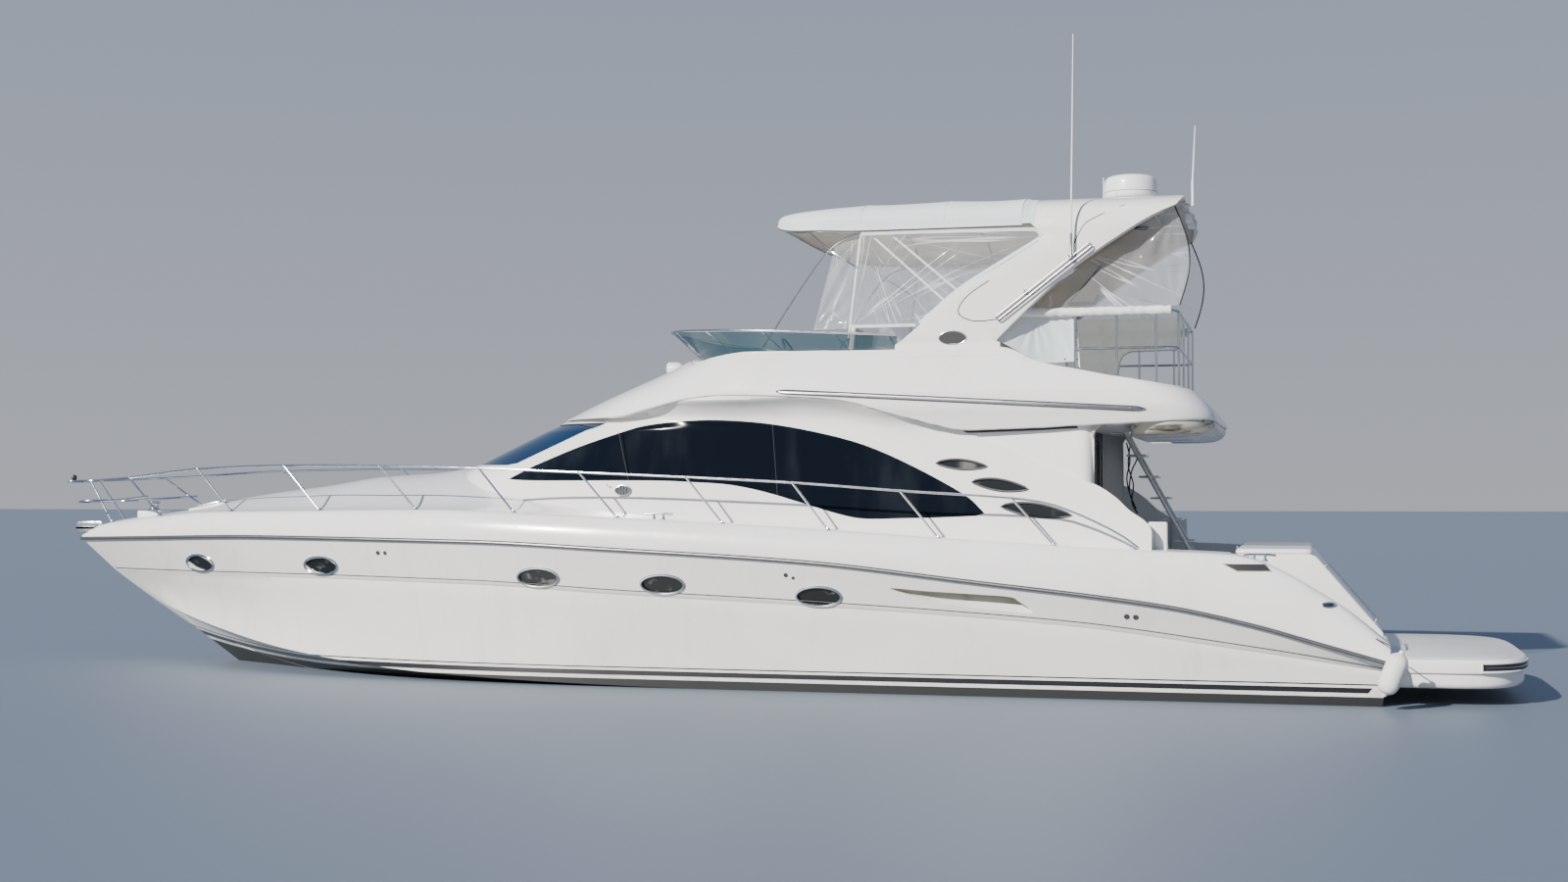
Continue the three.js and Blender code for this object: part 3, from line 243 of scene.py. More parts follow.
def sweep(path, section, outward=None):
    # section: (out, up) pairs carried along a path; out is level and across the path
    def across(i):
        ahead = path[min(i + 1, len(path) - 1)] - path[max(i - 1, 0)]
        flat = Vector((ahead.y, -ahead.x, 0)).normalized()
        return flat if outward is None or flat.dot(outward(path[i])) > 0 else -flat

    outs = [across(i) for i in range(len(path))]
    return loft([[p + out * reach + Vector((0, 0, up)) for reach, up in section]
                 for p, out in zip(path, outs)])


def gathered(*meshes):
    # several meshes in one
    whole = bmesh.new()
    for bm in meshes:
        mesh = bpy.data.meshes.new("part")
        bm.to_mesh(mesh)
        bm.free()
        whole.from_mesh(mesh)
        bpy.data.meshes.remove(mesh)
    return whole


def bothSides(bm):
    # the mesh and its mirror image across the centreline
    other = bm.copy()
    bmesh.ops.scale(other, vec=(1, -1, 1), verts=other.verts)
    bmesh.ops.reverse_faces(other, faces=other.faces)
    return gathered(bm, other)


def placed(name, bm):
    mesh = bpy.data.meshes.new(name)
    bm.to_mesh(mesh)
    bm.free()
    piece = bpy.data.objects.new(name, mesh)
    bpy.context.scene.collection.objects.link(piece)
    return piece


def smoothed(piece, sharp=32):
    piece.data.shade_smooth()
    piece.data.set_sharp_from_angle(angle=math.radians(sharp))
    return piece


def baked(piece, sharp=32):
    # modifiers turned into the piece's own mesh
    shown = piece.evaluated_get(bpy.context.evaluated_depsgraph_get())
    mesh = bpy.data.meshes.new_from_object(shown)
    piece.modifiers.clear()
    spare = piece.data
    piece.data = mesh
    bpy.data.meshes.remove(spare)
    return smoothed(piece, sharp)


def carved(piece, *cutters, operation="DIFFERENCE", solver="EXACT", sharp=32):
    holders = []
    for cutter in cutters:
        holder = cutter if isinstance(cutter, bpy.types.Object) else placed("cutter", cutter)
        modifier = piece.modifiers.new("cut", "BOOLEAN")
        modifier.operation = operation
        modifier.solver = solver
        modifier.object = holder
        if holder.data.materials:
            modifier.material_mode = "TRANSFER"
        holders.append(holder)
    baked(piece, sharp)
    for holder in holders:
        bpy.data.objects.remove(holder)
    return piece


def thickened(piece, thickness, offset, sharp):
    # a sheet made into a thin solid
    shell = piece.modifiers.new("thickness", "SOLIDIFY")
    shell.thickness = thickness
    shell.offset = offset
    return baked(piece, sharp)


def dressed(piece, finish, body="root", replaces=(), sharp=32):
    # the piece with its material, the body that it moves with and the nodes that it stands for
    if not piece.data.materials:
        piece.data.materials.append(finish.material)
    smoothed(piece, sharp)
    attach(piece, body)
    if replaces:
        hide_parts(*replaces)
    return piece


def made(name, bm, finish, body="root", replaces=(), sharp=32):
    return dressed(placed(name, bm), finish, body, replaces, sharp)


def eased(bm, offset, segments=3, angle=0.35):
    # rounds every edge sharper than an angle
    bm.normal_update()
    sharp = [edge for edge in bm.edges if len(edge.link_faces) == 2 and edge.calc_face_angle() > angle]
    bmesh.ops.bevel(bm, geom=sharp, offset=offset, affect="EDGES", segments=segments, profile=0.5,
                    material=-1)
    return bm


def rimmed(bm, z, offset, segments=4):
    # rounds the edge round a level top or bottom
    bm.normal_update()
    rim = [edge for edge in bm.edges if all(abs(vert.co.z - z) < 1e-4 for vert in edge.verts)
           and any(abs(face.normal.z) < 0.5 for face in edge.link_faces)]
    bmesh.ops.bevel(bm, geom=rim, offset=offset, affect="EDGES", segments=segments, profile=0.5, material=-1)
    return bm


def plinth(outline, z0, z1, offset):
    return rimmed(planCut(outline, z0, z1), z1, offset)


def pane(name, low, high, border, body):
    # a sheet of dark glass in a black frame, in place of the node of the same name
    (x0, y0, z0), (x1, y1, z1) = low, high
    bars = [((x0, y0, z0), (x1, y1, z0 + border)), ((x0, y0, z1 - border), (x1, y1, z1)),
            ((x0, y0, z0 + border), (x1, y0 + border, z1 - border)),
            ((x0, y1 - border, z0 + border), (x1, y1, z1 - border))]
    made(name + "_frame", gathered(*[block(a, b, 0.003, 2) for a, b in bars]), blackTrim, body,
         replaces=[name])
    lap = border - 0.006
    glass = block((x0 + 0.007, y0 + lap, z0 + lap), (x1 - 0.007, y1 - lap, z1 - lap), 0.001, 1)
    made(name + "_glass", glass, darkGlass, body)


def refinished(node, finish):
    # a CAD piece whose shape is right takes a better material
    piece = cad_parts[node]
    if not piece.material_slots:
        piece.data.materials.append(finish.material)
    for spot in piece.material_slots:
        spot.material = finish.material


# Materials

class Level:
    # a shader number that takes part in sums
    def __init__(self, tree, socket):
        self.tree = tree
        self.socket = socket

    def worked(self, operation, *values):
        node = self.tree.nodes.new("ShaderNodeMath")
        node.operation = operation
        for spot, value in zip(node.inputs, values):
            if isinstance(value, Level):
                self.tree.links.new(value.socket, spot)
            else:
                spot.default_value = value
        return Level(self.tree, node.outputs[0])

    def __add__(self, other):
        return self.worked("ADD", self, other)

    def __sub__(self, other):
        return self.worked("SUBTRACT", self, other)

    def __rsub__(self, other):
        return self.worked("SUBTRACT", other, self)

    def __mul__(self, other):
        return self.worked("MULTIPLY", self, other)

    def __gt__(self, other):
        return self.worked("GREATER_THAN", self, other)

    def __lt__(self, other):
        return self.worked("LESS_THAN", self, other)

    def __abs__(self):
        return self.worked("ABSOLUTE", self)

    def most(self, other):
        return self.worked("MAXIMUM", self, other)

    def power(self, other):
        return self.worked("POWER", self, other)

    def repeat(self, size):
        return self.worked("PINGPONG", self, size)

    def between(self, low, high):
        return (self > low) * (self < high)

    def fade(self, low, high):
        # 0 below low, 1 above high, and smooth between
        node = self.tree.nodes.new("ShaderNodeMapRange")
        node.interpolation_type = "SMOOTHSTEP"
        self.tree.links.new(self.socket, node.inputs["Value"])
        node.inputs["From Min"].default_value = low
        node.inputs["From Max"].default_value = high
        return Level(self.tree, node.outputs[0])

    __radd__ = __add__
    __rmul__ = __mul__


class Finish:
    # one material and its shader
    def __init__(self, slot, color, roughness, metallic=0.0, name=None, **sockets):
        self.slot = slot
        self.color = (*color, 1)
        self.material = bpy.data.materials.new(name or slot)
        self.material.use_nodes = True
        self.tree = self.material.node_tree
        self.shader = self.tree.nodes["Principled BSDF"]
        self.put("Base Color", self.color)
        self.put("Roughness", roughness)
        self.put("Metallic", metallic)
        for socket, value in sockets.items():
            self.put(socket.replace("_", " "), value)

    def put(self, socket, value, node=None):
        spot = (node or self.shader).inputs[socket]
        if isinstance(value, Level):
            self.tree.links.new(value.socket, spot)
        else:
            spot.default_value = value

    def node(self, kind, settings=None, inputs=None, output=0):
        node = self.tree.nodes.new("ShaderNode" + kind)
        for key, value in (settings or {}).items():
            setattr(node, key, value)
        for socket, value in (inputs or {}).items():
            self.put(socket, value, node)
        return Level(self.tree, node.outputs[output])

    def place(self):
        # the three Object coordinates
        spot = self.node("TexCoord", output=3)
        return [self.node("SeparateXYZ", inputs={"Vector": spot}, output=i) for i in range(3)]

    def grain(self, scale, detail=3.0, stretch=(1, 1, 1), roughness=0.5):
        spot = self.node("Mapping", inputs={"Vector": self.node("TexCoord", output=3), "Scale": stretch})
        return self.node("TexNoise", inputs={"Vector": spot, "Scale": scale, "Detail": detail,
                                             "Roughness": roughness})

    def tinted(self, mask, under, over):
        under, over = [c if isinstance(c, Level) else (*c[:3], 1) for c in (under, over)]
        return self.node("Mix", {"data_type": "RGBA"}, {0: mask, 6: under, 7: over}, output=2)

    def marked(self, mask, over):
        # marks of another colour over the finish's own
        self.put("Base Color", self.tinted(mask, self.color, over))

    def relief(self, height, distance, strength=1.0):
        self.put("Normal", self.node("Bump", inputs={"Height": height, "Distance": distance,
                                                     "Strength": strength}))


def gelcoatFinish(slot, name, color, grime, gloss=0.16, **sockets):
    # sprayed gelcoat: faint clouding, runs of grime that hang down, a slight ripple under the gloss
    made = Finish(slot, color, gloss, name=name, Coat_Weight=0.35, Coat_Roughness=0.06, **sockets)
    clouds = made.grain(0.55, 4, (1, 1, 1.6))
    runs = made.grain(5.0, 5, (1, 1, 0.08), 0.62).fade(0.5, 0.78)
    specks = made.grain(38, 2).fade(0.66, 0.78)
    dirt = (runs * 0.5 + clouds.fade(0.4, 0.75) * 0.45 + specks * 0.25) * grime
    made.marked(dirt, (color[0] * 0.62, color[1] * 0.58, color[2] * 0.48))
    made.put("Roughness", gloss + clouds * 0.1 + runs * 0.12)
    made.relief(made.grain(1.6, 2) + made.grain(90, 1) * 0.02, 0.004)
    return made


whiteTint = (0.80, 0.79, 0.755)
gelcoat = gelcoatFinish("gelcoat", "upper gelcoat", whiteTint, 0.32)
beige = gelcoatFinish("beige_gelcoat", "beige gelcoat", (0.46, 0.40, 0.31), 0.4, 0.35)
nonSkid = gelcoatFinish("gelcoat", "non-skid gelcoat", (0.66, 0.66, 0.63), 0.5, 0.55)
diamondX, diamondY = nonSkid.place()[:2]
nonSkid.relief(((diamondX + diamondY).repeat(0.006) + (diamondX - diamondY).repeat(0.006)) * 40, 0.002)

# Hull paint: white above, then a thin line, a black band, a cream line and black bottom paint
boot = {"riseFrom": 4.4, "rise": 0.027, "bottom": 0.095, "cream": 0.135, "band": 0.19, "white": 0.218,
        "line": 0.232, "bandEnd": -7.3}
hullPaint = gelcoatFinish("gelcoat", "hull gelcoat", (0.76, 0.745, 0.70), 0.42, 0.13)
hullX, hullZ = hullPaint.place()[::2]
climb = (hullX - boot["riseFrom"]).most(0.0)
level = hullZ - climb * climb * boot["rise"]
band = level.between(boot["cream"], boot["band"]) * ((hullX + level * 0.8) > boot["bandEnd"])
line = level.between(boot["white"], boot["line"])
bottom = level < boot["bottom"]
stain = (hullPaint.grain(9, 5, (0.5, 0.5, 3)) * 0.7 - level * 1.1).fade(0.1, 0.5)
topCoat = hullPaint.shader.inputs["Base Color"].links[0].from_socket
stained = hullPaint.tinted(stain * 0.5, Level(hullPaint.tree, topCoat), (0.42, 0.38, 0.27))
lined = hullPaint.tinted(band.most(line), stained, (0.012, 0.012, 0.014))
hullPaint.put("Base Color", hullPaint.tinted(bottom, lined, (0.013, 0.014, 0.013)))
hullPaint.put("Roughness", 0.14 + hullPaint.grain(2.2, 5) * 0.1 + bottom * 0.5)

dullSteel = Finish("polished_steel", (0.36, 0.36, 0.365), 0.34, 1.0, name="dull steel")
dullSteel.put("Roughness", 0.3 + dullSteel.grain(12, 4) * 0.15)
steel = Finish("polished_steel", (0.62, 0.63, 0.64), 0.16, 1.0)
steel.put("Roughness", 0.1 + steel.grain(14, 4, (1, 1, 1)) * 0.16)
steel.marked(steel.grain(3, 5).fade(0.5, 0.8) * 0.4, (0.38, 0.365, 0.33))
darkGlass = Finish("dark_glass", (0.003, 0.005, 0.009), 0.05, name="dark glass", IOR=1.5,
                   Specular_IOR_Level=0.09)
darkGlass.put("Roughness", 0.04 + darkGlass.grain(0.8, 4, (1, 1, 0.25)).fade(0.45, 0.8) * 0.12)
# lighter streaks on the dark glass are painted reflections
darkGlass.marked(darkGlass.grain(2.5, 4, (1, 1, 0.22)).fade(0.5, 0.8) * 0.35, (0.025, 0.03, 0.036))
# eye windows: near-black glass with pale streaks painted on as reflections
eyeGlassWithPaintedReflections = Finish("dark_glass", (0.014, 0.017, 0.018), 0.06, name="eye glass, painted reflections", IOR=1.5,
                   Specular_IOR_Level=0.3)
eyeGlassWithPaintedReflections.marked(eyeGlassWithPaintedReflections.grain(3.2, 3, (1, 1, 0.1), 0.5).fade(0.56, 0.72), (0.13, 0.13, 0.115))
# portlight glass: near-black, with paler patches painted on as reflections
portGlass = Finish("dark_glass", (0.008, 0.01, 0.01), 0.06, name="portlight glass", IOR=1.5,
                   Specular_IOR_Level=0.35)
portGlass.marked(portGlass.grain(6, 3, (1, 1, 1.6), 0.6).fade(0.55, 0.72), (0.10, 0.105, 0.095))
blueGlass = Finish("dark_glass", (0.005, 0.021, 0.055), 0.05, name="windscreen glass", IOR=1.5)
blueGlass.marked(blueGlass.grain(1.6, 3).fade(0.4, 0.8), (0.006, 0.018, 0.045))
blackTrim = Finish("black_plastic", (0.012, 0.012, 0.013), 0.45, name="black gasket")
blackTrim.put("Roughness", 0.35 + blackTrim.grain(40, 3) * 0.25)
whitePlastic = gelcoatFinish("white_plastic", "white plastic", (0.78, 0.78, 0.76), 0.3, 0.3)
bronze = Finish("bronze", (0.46, 0.31, 0.15), 0.32, 1.0)
bronze.marked(bronze.grain(12, 6).fade(0.42, 0.7), (0.12, 0.15, 0.10))
bronze.put("Roughness", 0.26 + bronze.grain(20, 4) * 0.4)
bronze.relief(bronze.grain(60, 4), 0.001)
print("materials ready")

# Hull lines: keel, chine, knuckle and rail, each from the transom to the stem

hullLines = {
    "keel": {"aft": -7.5, "bow": 6.9, "half": 0.0, "aftHalf": 0.0, "shoulder": 0.0, "power": 2.0,
             "z": smoothLine((-7.5, -0.62), (-4, -0.76), (0, -0.86), (3, -0.82), (5, -0.56), (6, -0.3),
                             (6.5, -0.08), (6.9, 0.2))},
    "chine": {"aft": -7.54, "bow": 7.9, "half": 2.1, "aftHalf": 2.03, "shoulder": 0.8, "power": 2.2,
              "z": smoothLine((-7.54, -0.06), (-3, -0.04), (0.8, 0.02), (3, 0.09), (5, 0.26), (6.5, 0.5),
                              (7.9, 0.79))},
    "knuckle": {"aft": -7.59, "bow": 8.47, "half": 2.28, "aftHalf": 2.18, "shoulder": 0.8, "power": 2.0,
                "z": smoothLine((-7.59, 0.37), (-6.31, 0.55), (-4.36, 0.79), (-1.56, 0.96), (0.53, 1.05),
                                (2.39, 1.14), (4.96, 1.17), (8.47, 1.16))},
    "rail": {"aft": -7.62, "bow": 8.99, "half": 2.42, "aftHalf": 2.31, "shoulder": 0.5, "power": 2.1,
             "z": smoothLine((-7.62, 0.45), (-6.9, 0.65), (-6.3, 0.815), (-5.4, 1.0), (-3.33, 1.24),
                             (-1.59, 1.425), (0.5, 1.54), (2.4, 1.62), (5.4, 1.645), (7.65, 1.605),
                             (8.99, 1.575))},
}
deckEdgeZ = smoothLine((-7.62, 0.64), (-7.21, 0.98), (-6.93, 1.16), (-6.63, 1.34), (-6.34, 1.47),
                       (-6.09, 1.53), (-5.14, 1.57), (-3.31, 1.67), (-1.11, 1.81), (1.4, 1.93), (2.92, 1.98),
                       (5.05, 1.96), (6.47, 1.94), (7.25, 1.89), (7.81, 1.85), (8.41, 1.79), (8.99, 1.64))
crownRise = smoothLine((0, 0.06), (1.8, 0.42), (3.2, 0.51), (3.78, 0.45), (4.46, 0.42), (5.29, 0.31),
                       (5.96, 0.24), (6.47, 0.17), (6.83, 0.1), (8, 0.04), (8.99, 0.005))


def halfBreadth(name, x):
    line = hullLines[name]
    if x > line["shoulder"]:
        t = clamp((x - line["shoulder"]) / (line["bow"] - line["shoulder"]))
        return line["half"] * (1 - t ** line["power"])
    t = clamp((line["shoulder"] - x) / (line["shoulder"] - line["aft"]))
    return mix(line["half"], line["aftHalf"], t * t)


def onLine(name, u):
    x = mix(hullLines[name]["aft"], hullLines[name]["bow"], u)
    return Vector((x, halfBreadth(name, x), hullLines[name]["z"](x)))


hullShape = {"chineFlat": 0.09, "lip": 0.014, "hollow": 0.07, "strake": 0.02, "strakes": (0.38, 0.68),
             "groove": 0.005, "grooveAt": 0.042, "grooveHigh": 0.01}


def hullSection(u):
    # port half from the keel up, with spray strakes, chine, knuckle lip and groove
    keel, chine, knuckle, rail = [onLine(name, u) for name in ("keel", "chine", "knuckle", "rail")]
    inner = chine.copy()
    flat = min(hullShape["chineFlat"], 0.3 * chine.y)
    inner.y -= flat
    inner.z -= 0.1 * flat
    down = (inner - keel).cross(Vector((1, 0, 0))).normalized() if chine.y > 0.05 else Vector((0, 0, -1))
    strake = hullShape["strake"] * clamp(chine.y / 0.6) * clamp((0.93 - u) * 8)
    made = [keel]
    for start, end in zip((0, *hullShape["strakes"]), (*hullShape["strakes"], 1)):
        shares = spread(start, end - 0.03 * (end < 1), 5)
        made += [keel.lerp(inner, t) for t in shares[1 if start == 0 else 0:]]
        if end < 1:
            made.append(keel.lerp(inner, end - 0.001) + down * strake)
    made.append(chine)
    hollow = hullShape["hollow"] * clamp((chine.x - 0.8) / 5) ** 2 * clamp(chine.y / 0.5)
    for t in spread(0, 1, 12)[1:-1]:
        spot = chine.lerp(knuckle, t)
        spot.y -= hollow * math.sin(math.pi * t)
        made.append(spot)
    lip = min(hullShape["lip"], 0.2 * knuckle.y)
    made.append(knuckle - Vector((0, lip, lip)))
    made.append(knuckle)
    high = (rail - knuckle).length
    grooveLow = hullShape["grooveAt"] / high
    grooveHigh = grooveLow + hullShape["grooveHigh"] / high
    depth = min(hullShape["groove"], 0.1 * knuckle.y)
    for t, sunk in ((grooveLow, 0), (grooveLow + 0.001, depth), (grooveHigh - 0.001, depth), (grooveHigh, 0)):
        made.append(knuckle.lerp(rail, t) - Vector((0, sunk, 0)))
    made += [knuckle.lerp(rail, t) for t in spread(grooveHigh, 1, 6)[1:]]
    made += [Vector((rail.x, rail.y * t, rail.z)) for t in (0.66, 0.33, 0)]
    return made


def edgeInset(x):
    return min(0.16, 0.35 * halfBreadth("rail", x))


def deckEdgeY(x):
    return halfBreadth("rail", x) - edgeInset(x)


def deckTopZ(x, y):
    side = clamp(abs(y) / max(0.001, deckEdgeY(x)))
    return deckEdgeZ(x) + crownRise(x) * (1 - side * side) ** 1.6


def hullSide(x, z):
    # half-breadth of the topsides at a place, between chine, knuckle and rail
    rows = [(hullLines[name]["z"](x), halfBreadth(name, x)) for name in ("chine", "knuckle", "rail")]
    for (z0, y0), (z1, y1) in zip(rows, rows[1:]):
        if z <= z1:
            break
    t = (z - z0) / (z1 - z0)
    if z1 == rows[1][0]:
        return mix(y0, y1, t) - hullShape["hollow"] * clamp((x - 0.8) / 5) ** 2 * math.sin(math.pi * clamp(t))
    return mix(y0, y1, t)


def mirroredLoft(sections):
    # closed body from half sections that begin and end on the centreline
    rows = len(sections[0]) - 1
    bm = gridMesh(len(sections) - 1, rows, lambda i, k: sections[i][k])
    return closeUp(bothSides(bm))


# Voids cut through hull and deck
levels = {"platform": 0.48, "cockpit": 0.85, "saloon": 1.05, "ceiling": 3.03, "flyFloor": 3.12}
bulkheadX = -4.42
cockpitAftX = -6.05
passage = {"y0": 1.38, "y1": 1.93, "stepX": -7.0, "lowZ": 0.67}
engineRoom = {"low": (-5.95, -1.18, -0.3), "high": (-3.7, 1.18, 0.79)}
hatchHole = {"x0": -5.7, "x1": -4.75, "half": 0.48}


def voids(above=far):
    return [
        planCut(roundedBox((bulkheadX, -1.64), (1.9, 1.64), 0.04), levels["saloon"], above),
        block((cockpitAftX, -1.78, levels["cockpit"]), (bulkheadX, 1.78, above)),
        block((passage["stepX"], passage["y0"], levels["cockpit"]),
              (cockpitAftX + 0.001, passage["y1"], above)),
        block((-8, passage["y0"], passage["lowZ"]), (passage["stepX"] + 0.001, passage["y1"], above + 0.01)),
        block((-8, -1.93, levels["platform"]), (cockpitAftX + 0.002, passage["y0"] + 0.001, above + 0.02)),
    ]


stations = [1 - (1 - t) ** 1.3 for t in spread(0, 1, 141)]
hull = placed("hull_moulding", mirroredLoft([hullSection(u) for u in stations]))
hull.data.materials.append(hullPaint.material)

portlights = {"x": (6.55, 4.48, 1.52, 0.04, -1.73), "z": (1.30, 1.31, 1.22, 1.16, 1.05), "long": 0.245,
              "high": 0.1, "depth": 0.022}
vent = [(-2.50, 1.158), (-2.9, 1.13), (-3.45, 1.10), (-3.81, 1.075), (-3.9, 1.03), (-4.04, 0.895),
        (-3.6, 0.93), (-3.1, 0.985), (-2.8, 1.06)]


def ellipse(x, z, long, high, count=40, power=1.0):
    made = []
    for turn in spread(0, 2 * math.pi, count + 1)[:-1]:
        c, s = math.cos(turn), math.sin(turn)
        made.append((x + long * math.copysign(abs(c) ** power, c),
                     z + high * math.copysign(abs(s) ** power, s)))
    return made


def ovalOf(form, count=40):
    return ellipse(form["x"], form["z"], form["long"], form["high"], count)


def hullTilt(x, z):
    # the outward direction of the topsides to port
    slopeX = (hullSide(x + 0.05, z) - hullSide(x - 0.05, z)) / 0.1
    slopeZ = (hullSide(x, z + 0.04) - hullSide(x, z - 0.04)) / 0.08
    return Vector((-slopeX, 1, -slopeZ)).normalized()


def onHull(x, z, out):
    return Vector((x, hullSide(x, z), z)) + hullTilt(x, z) * out


def hullPatch(outline, centre, low, high):
    # a plate whose outline lies flat on the topsides round centre
    tilt = hullTilt(*centre)
    middle = Vector((centre[0], hullSide(*centre), centre[1]))
    along = Vector((1, 0, 0)) - tilt * tilt.x
    along.normalize()
    up = tilt.cross(along) * -1
    if up.z < 0:
        up = -up

    def spot(x, z, out):
        return middle + along * (x - centre[0]) + up * (z - centre[1]) + tilt * out

    return loft([[spot(x, z, low) for x, z in outline], [spot(x, z, high) for x, z in outline]])


recesses = []
for x, z in zip(portlights["x"], portlights["z"]):
    recesses.append(hullPatch(ellipse(x, z, portlights["long"], portlights["high"]), (x, z),
                              -portlights["depth"], 0.2))
recess = placed("cutter", bothSides(gathered(*recesses)))
ventCut = placed("cutter", bothSides(loft([
    [Vector((mix(x, -3.4, 0.14), hullSide(x, z) - 0.075, mix(z, 1.075, 0.55)))
     for x, z in splined(vent, 4, True)],
    [Vector((x, hullSide(x, z) + 0.01, z)) for x, z in splined(vent, 4, True)]])))
# the vent recess's back wall and ceiling are coloured dark: painted shade in the recess; the darker mottling
# is dirt
ventRecessShade = Finish("beige_gelcoat", (0.20, 0.185, 0.15), 0.3, name="vent recess, painted shade")
ventRecessShade.marked(ventRecessShade.grain(4, 4).fade(0.4, 0.7), (0.13, 0.12, 0.10))
ventCut.data.materials.append(ventRecessShade.material)
ventCut.data.materials.append(hullPaint.material)
for face in ventCut.data.polygons:
    face.material_index = 0 if abs(face.normal.y) > 0.93 or face.normal.z > 0.2 else 1
carved(hull, recess, ventCut, *voids(), block(engineRoom["low"], engineRoom["high"]),
       block((hatchHole["x0"], -hatchHole["half"], 0.78), (hatchHole["x1"], hatchHole["half"], 0.86)),
       block((hatchHole["x0"] - 0.03, -hatchHole["half"] - 0.03, 0.82),
             (hatchHole["x1"] + 0.03, hatchHole["half"] + 0.03, 0.87)))
dressed(hull, hullPaint, replaces=["hull"])
print("hull ready", len(hull.data.polygons))


def deckSection(x):
    # port half: band from the rub rail up and over, the deck to the centreline, and back underneath
    railY = halfBreadth("rail", x)
    railZ = hullLines["rail"]["z"](x) + 0.0005
    rise = max(0.01, deckEdgeZ(x) - railZ)
    inset = edgeInset(x)
    made = [Vector((x, 0, railZ))]
    for turn in spread(0, math.pi / 2, 13):
        made.append(Vector((x, railY - inset * (1 - math.cos(turn)), railZ + rise * math.sin(turn))))
    for share in spread(0.96, 0, 24):
        y = share * deckEdgeY(x)
        made.append(Vector((x, y, deckTopZ(x, y))))
    return made


deckX = [mix(hullLines["rail"]["aft"], hullLines["rail"]["bow"], u) for u in stations]
deck = placed("deck_moulding", mirroredLoft([deckSection(x) for x in deckX]))
deck.data.materials.append(gelcoat.material)
carved(deck, *voids())
dressed(deck, gelcoat, replaces=["deck"])
print("deck ready", len(deck.data.polygons))

# Rub rail: a black base with a half-round steel strip
railSpots = [Vector((x, halfBreadth("rail", x), hullLines["rail"]["z"](x))) for x in deckX]
railLoop = roundBow(railSpots)


def awayFromMiddle(spot):
    return Vector((0.02 if spot.x < 8.9 else 1.0, math.copysign(1, spot.y) if spot.x < 8.95 else spot.y, 0))


railBase = sweep(railLoop, [(-0.01, -0.021), (0.022, -0.021), (0.028, -0.016), (0.028, 0.016), (0.022, 0.021),
                            (-0.01, 0.021)], awayFromMiddle)
railStrip = sweep(railLoop, [(0.027, -0.006), (0.033, -0.005), (0.035, 0), (0.033, 0.005), (0.027, 0.006)],
                  awayFromMiddle)
rubBase = Finish("black_plastic", (0.045, 0.045, 0.048), 0.5, name="rub rail base")
rubBase.put("Roughness", 0.4 + rubBase.grain(25, 4) * 0.3)
made("rub_rail_base", railBase, rubBase, replaces=["rub_rail"])
made("rub_rail_strip", railStrip, dullSteel)
# a black tube laid in the knuckle's groove: painted shade of the groove
knuckleShadeLine = []
for u in stations:
    low, high = onLine("knuckle", u), onLine("rail", u)
    knuckleShadeLine.append(low.lerp(high, (hullShape["grooveAt"] + 0.005) / (high - low).length))
made("knuckle_groove_shade", bothSides(tubes([knuckleShadeLine[:-2]], 0.006, 2)), rubBase)

rims, lights = [], []
long, high = portlights["long"], portlights["high"]
for x, z in zip(portlights["x"], portlights["z"]):
    rim = [onHull(px, pz, 0.004) for px, pz in ellipse(x, z, long + 0.006, high + 0.006, 48)]
    rims.append(tubes([closed(rim)], 0.016))
    lights.append(hullPatch(ellipse(x, z, long + 0.004, high + 0.004), (x, z), -0.03, -0.015))
made("portlight_rims", bothSides(gathered(*rims)), steel)
made("portlight_glass", bothSides(gathered(*lights)), portGlass)

# House: raked round nose and falling aft wings, hollow, its windows cut
noseX = smoothLine((1.5, 3.9), (2.44, 3.3), (2.49, 3.2), (3.05, 1.94), (3.25, 1.48), (3.45, 0.97),
                   (3.6, 0.58), (3.77, 0.2))
planStart = smoothLine((2.9, -0.2), (3.05, -0.8), (3.9, -1.0))
houseForm = {"low": 1.45, "high": 3.26, "coved": 2.86, "levels": 24, "wall": 0.07, "wingEnd": -5.25,
             "flare": 0.12, "roofHalf": 1.66}
eyebrowZ = smoothLine((-6.1, 2.943), (-5.6, 2.93), (-5.07, 2.907), (-4.43, 2.88), (-4.03, 2.862),
                      (-3.62, 2.85), (-3.3, 2.842), (-3.16, 2.852), (-2.9, 2.91), (-2.41, 3.04),
                      (-1.84, 3.185), (-0.98, 3.24), (-0.53, 3.25), (-0.06, 3.21), (0.4, 3.11), (0.88, 3.03),
                      (3.4, 3.03))
wingEdge = splined([(-5.25, 1.62), (-5.25, 1.76), (-5.18, 1.87), (-5.02, 1.98), (-4.87, 2.12), (-4.67, 2.25),
                    (-4.4, 2.345), (-4.08, 2.49), (-3.7, 2.66), (-3.2, 2.845)], 5)
flyHalf = smoothLine((2.7, 1.88), (2.86, 1.9), (2.96, 1.925), (3.12, 1.97), (3.25, 1.965), (3.33, 1.94),
                     (3.48, 1.885), (3.64, 1.82), (3.77, 1.76), (3.9, 1.72))
cove = {"high": 0.28, "thin": 0.10, "gap": 0.012, "aft": -2.9, "fore": 2.2, "fade": 0.5}


def noseCurve(nose, half, start=-0.2, steps=40):
    # half of a plan outline, from its widest place to the nose
    return [(start + (nose - start) * math.sin(a) ** 0.8, half * math.cos(a))
            for a in spread(0, math.pi / 2, steps + 1)]


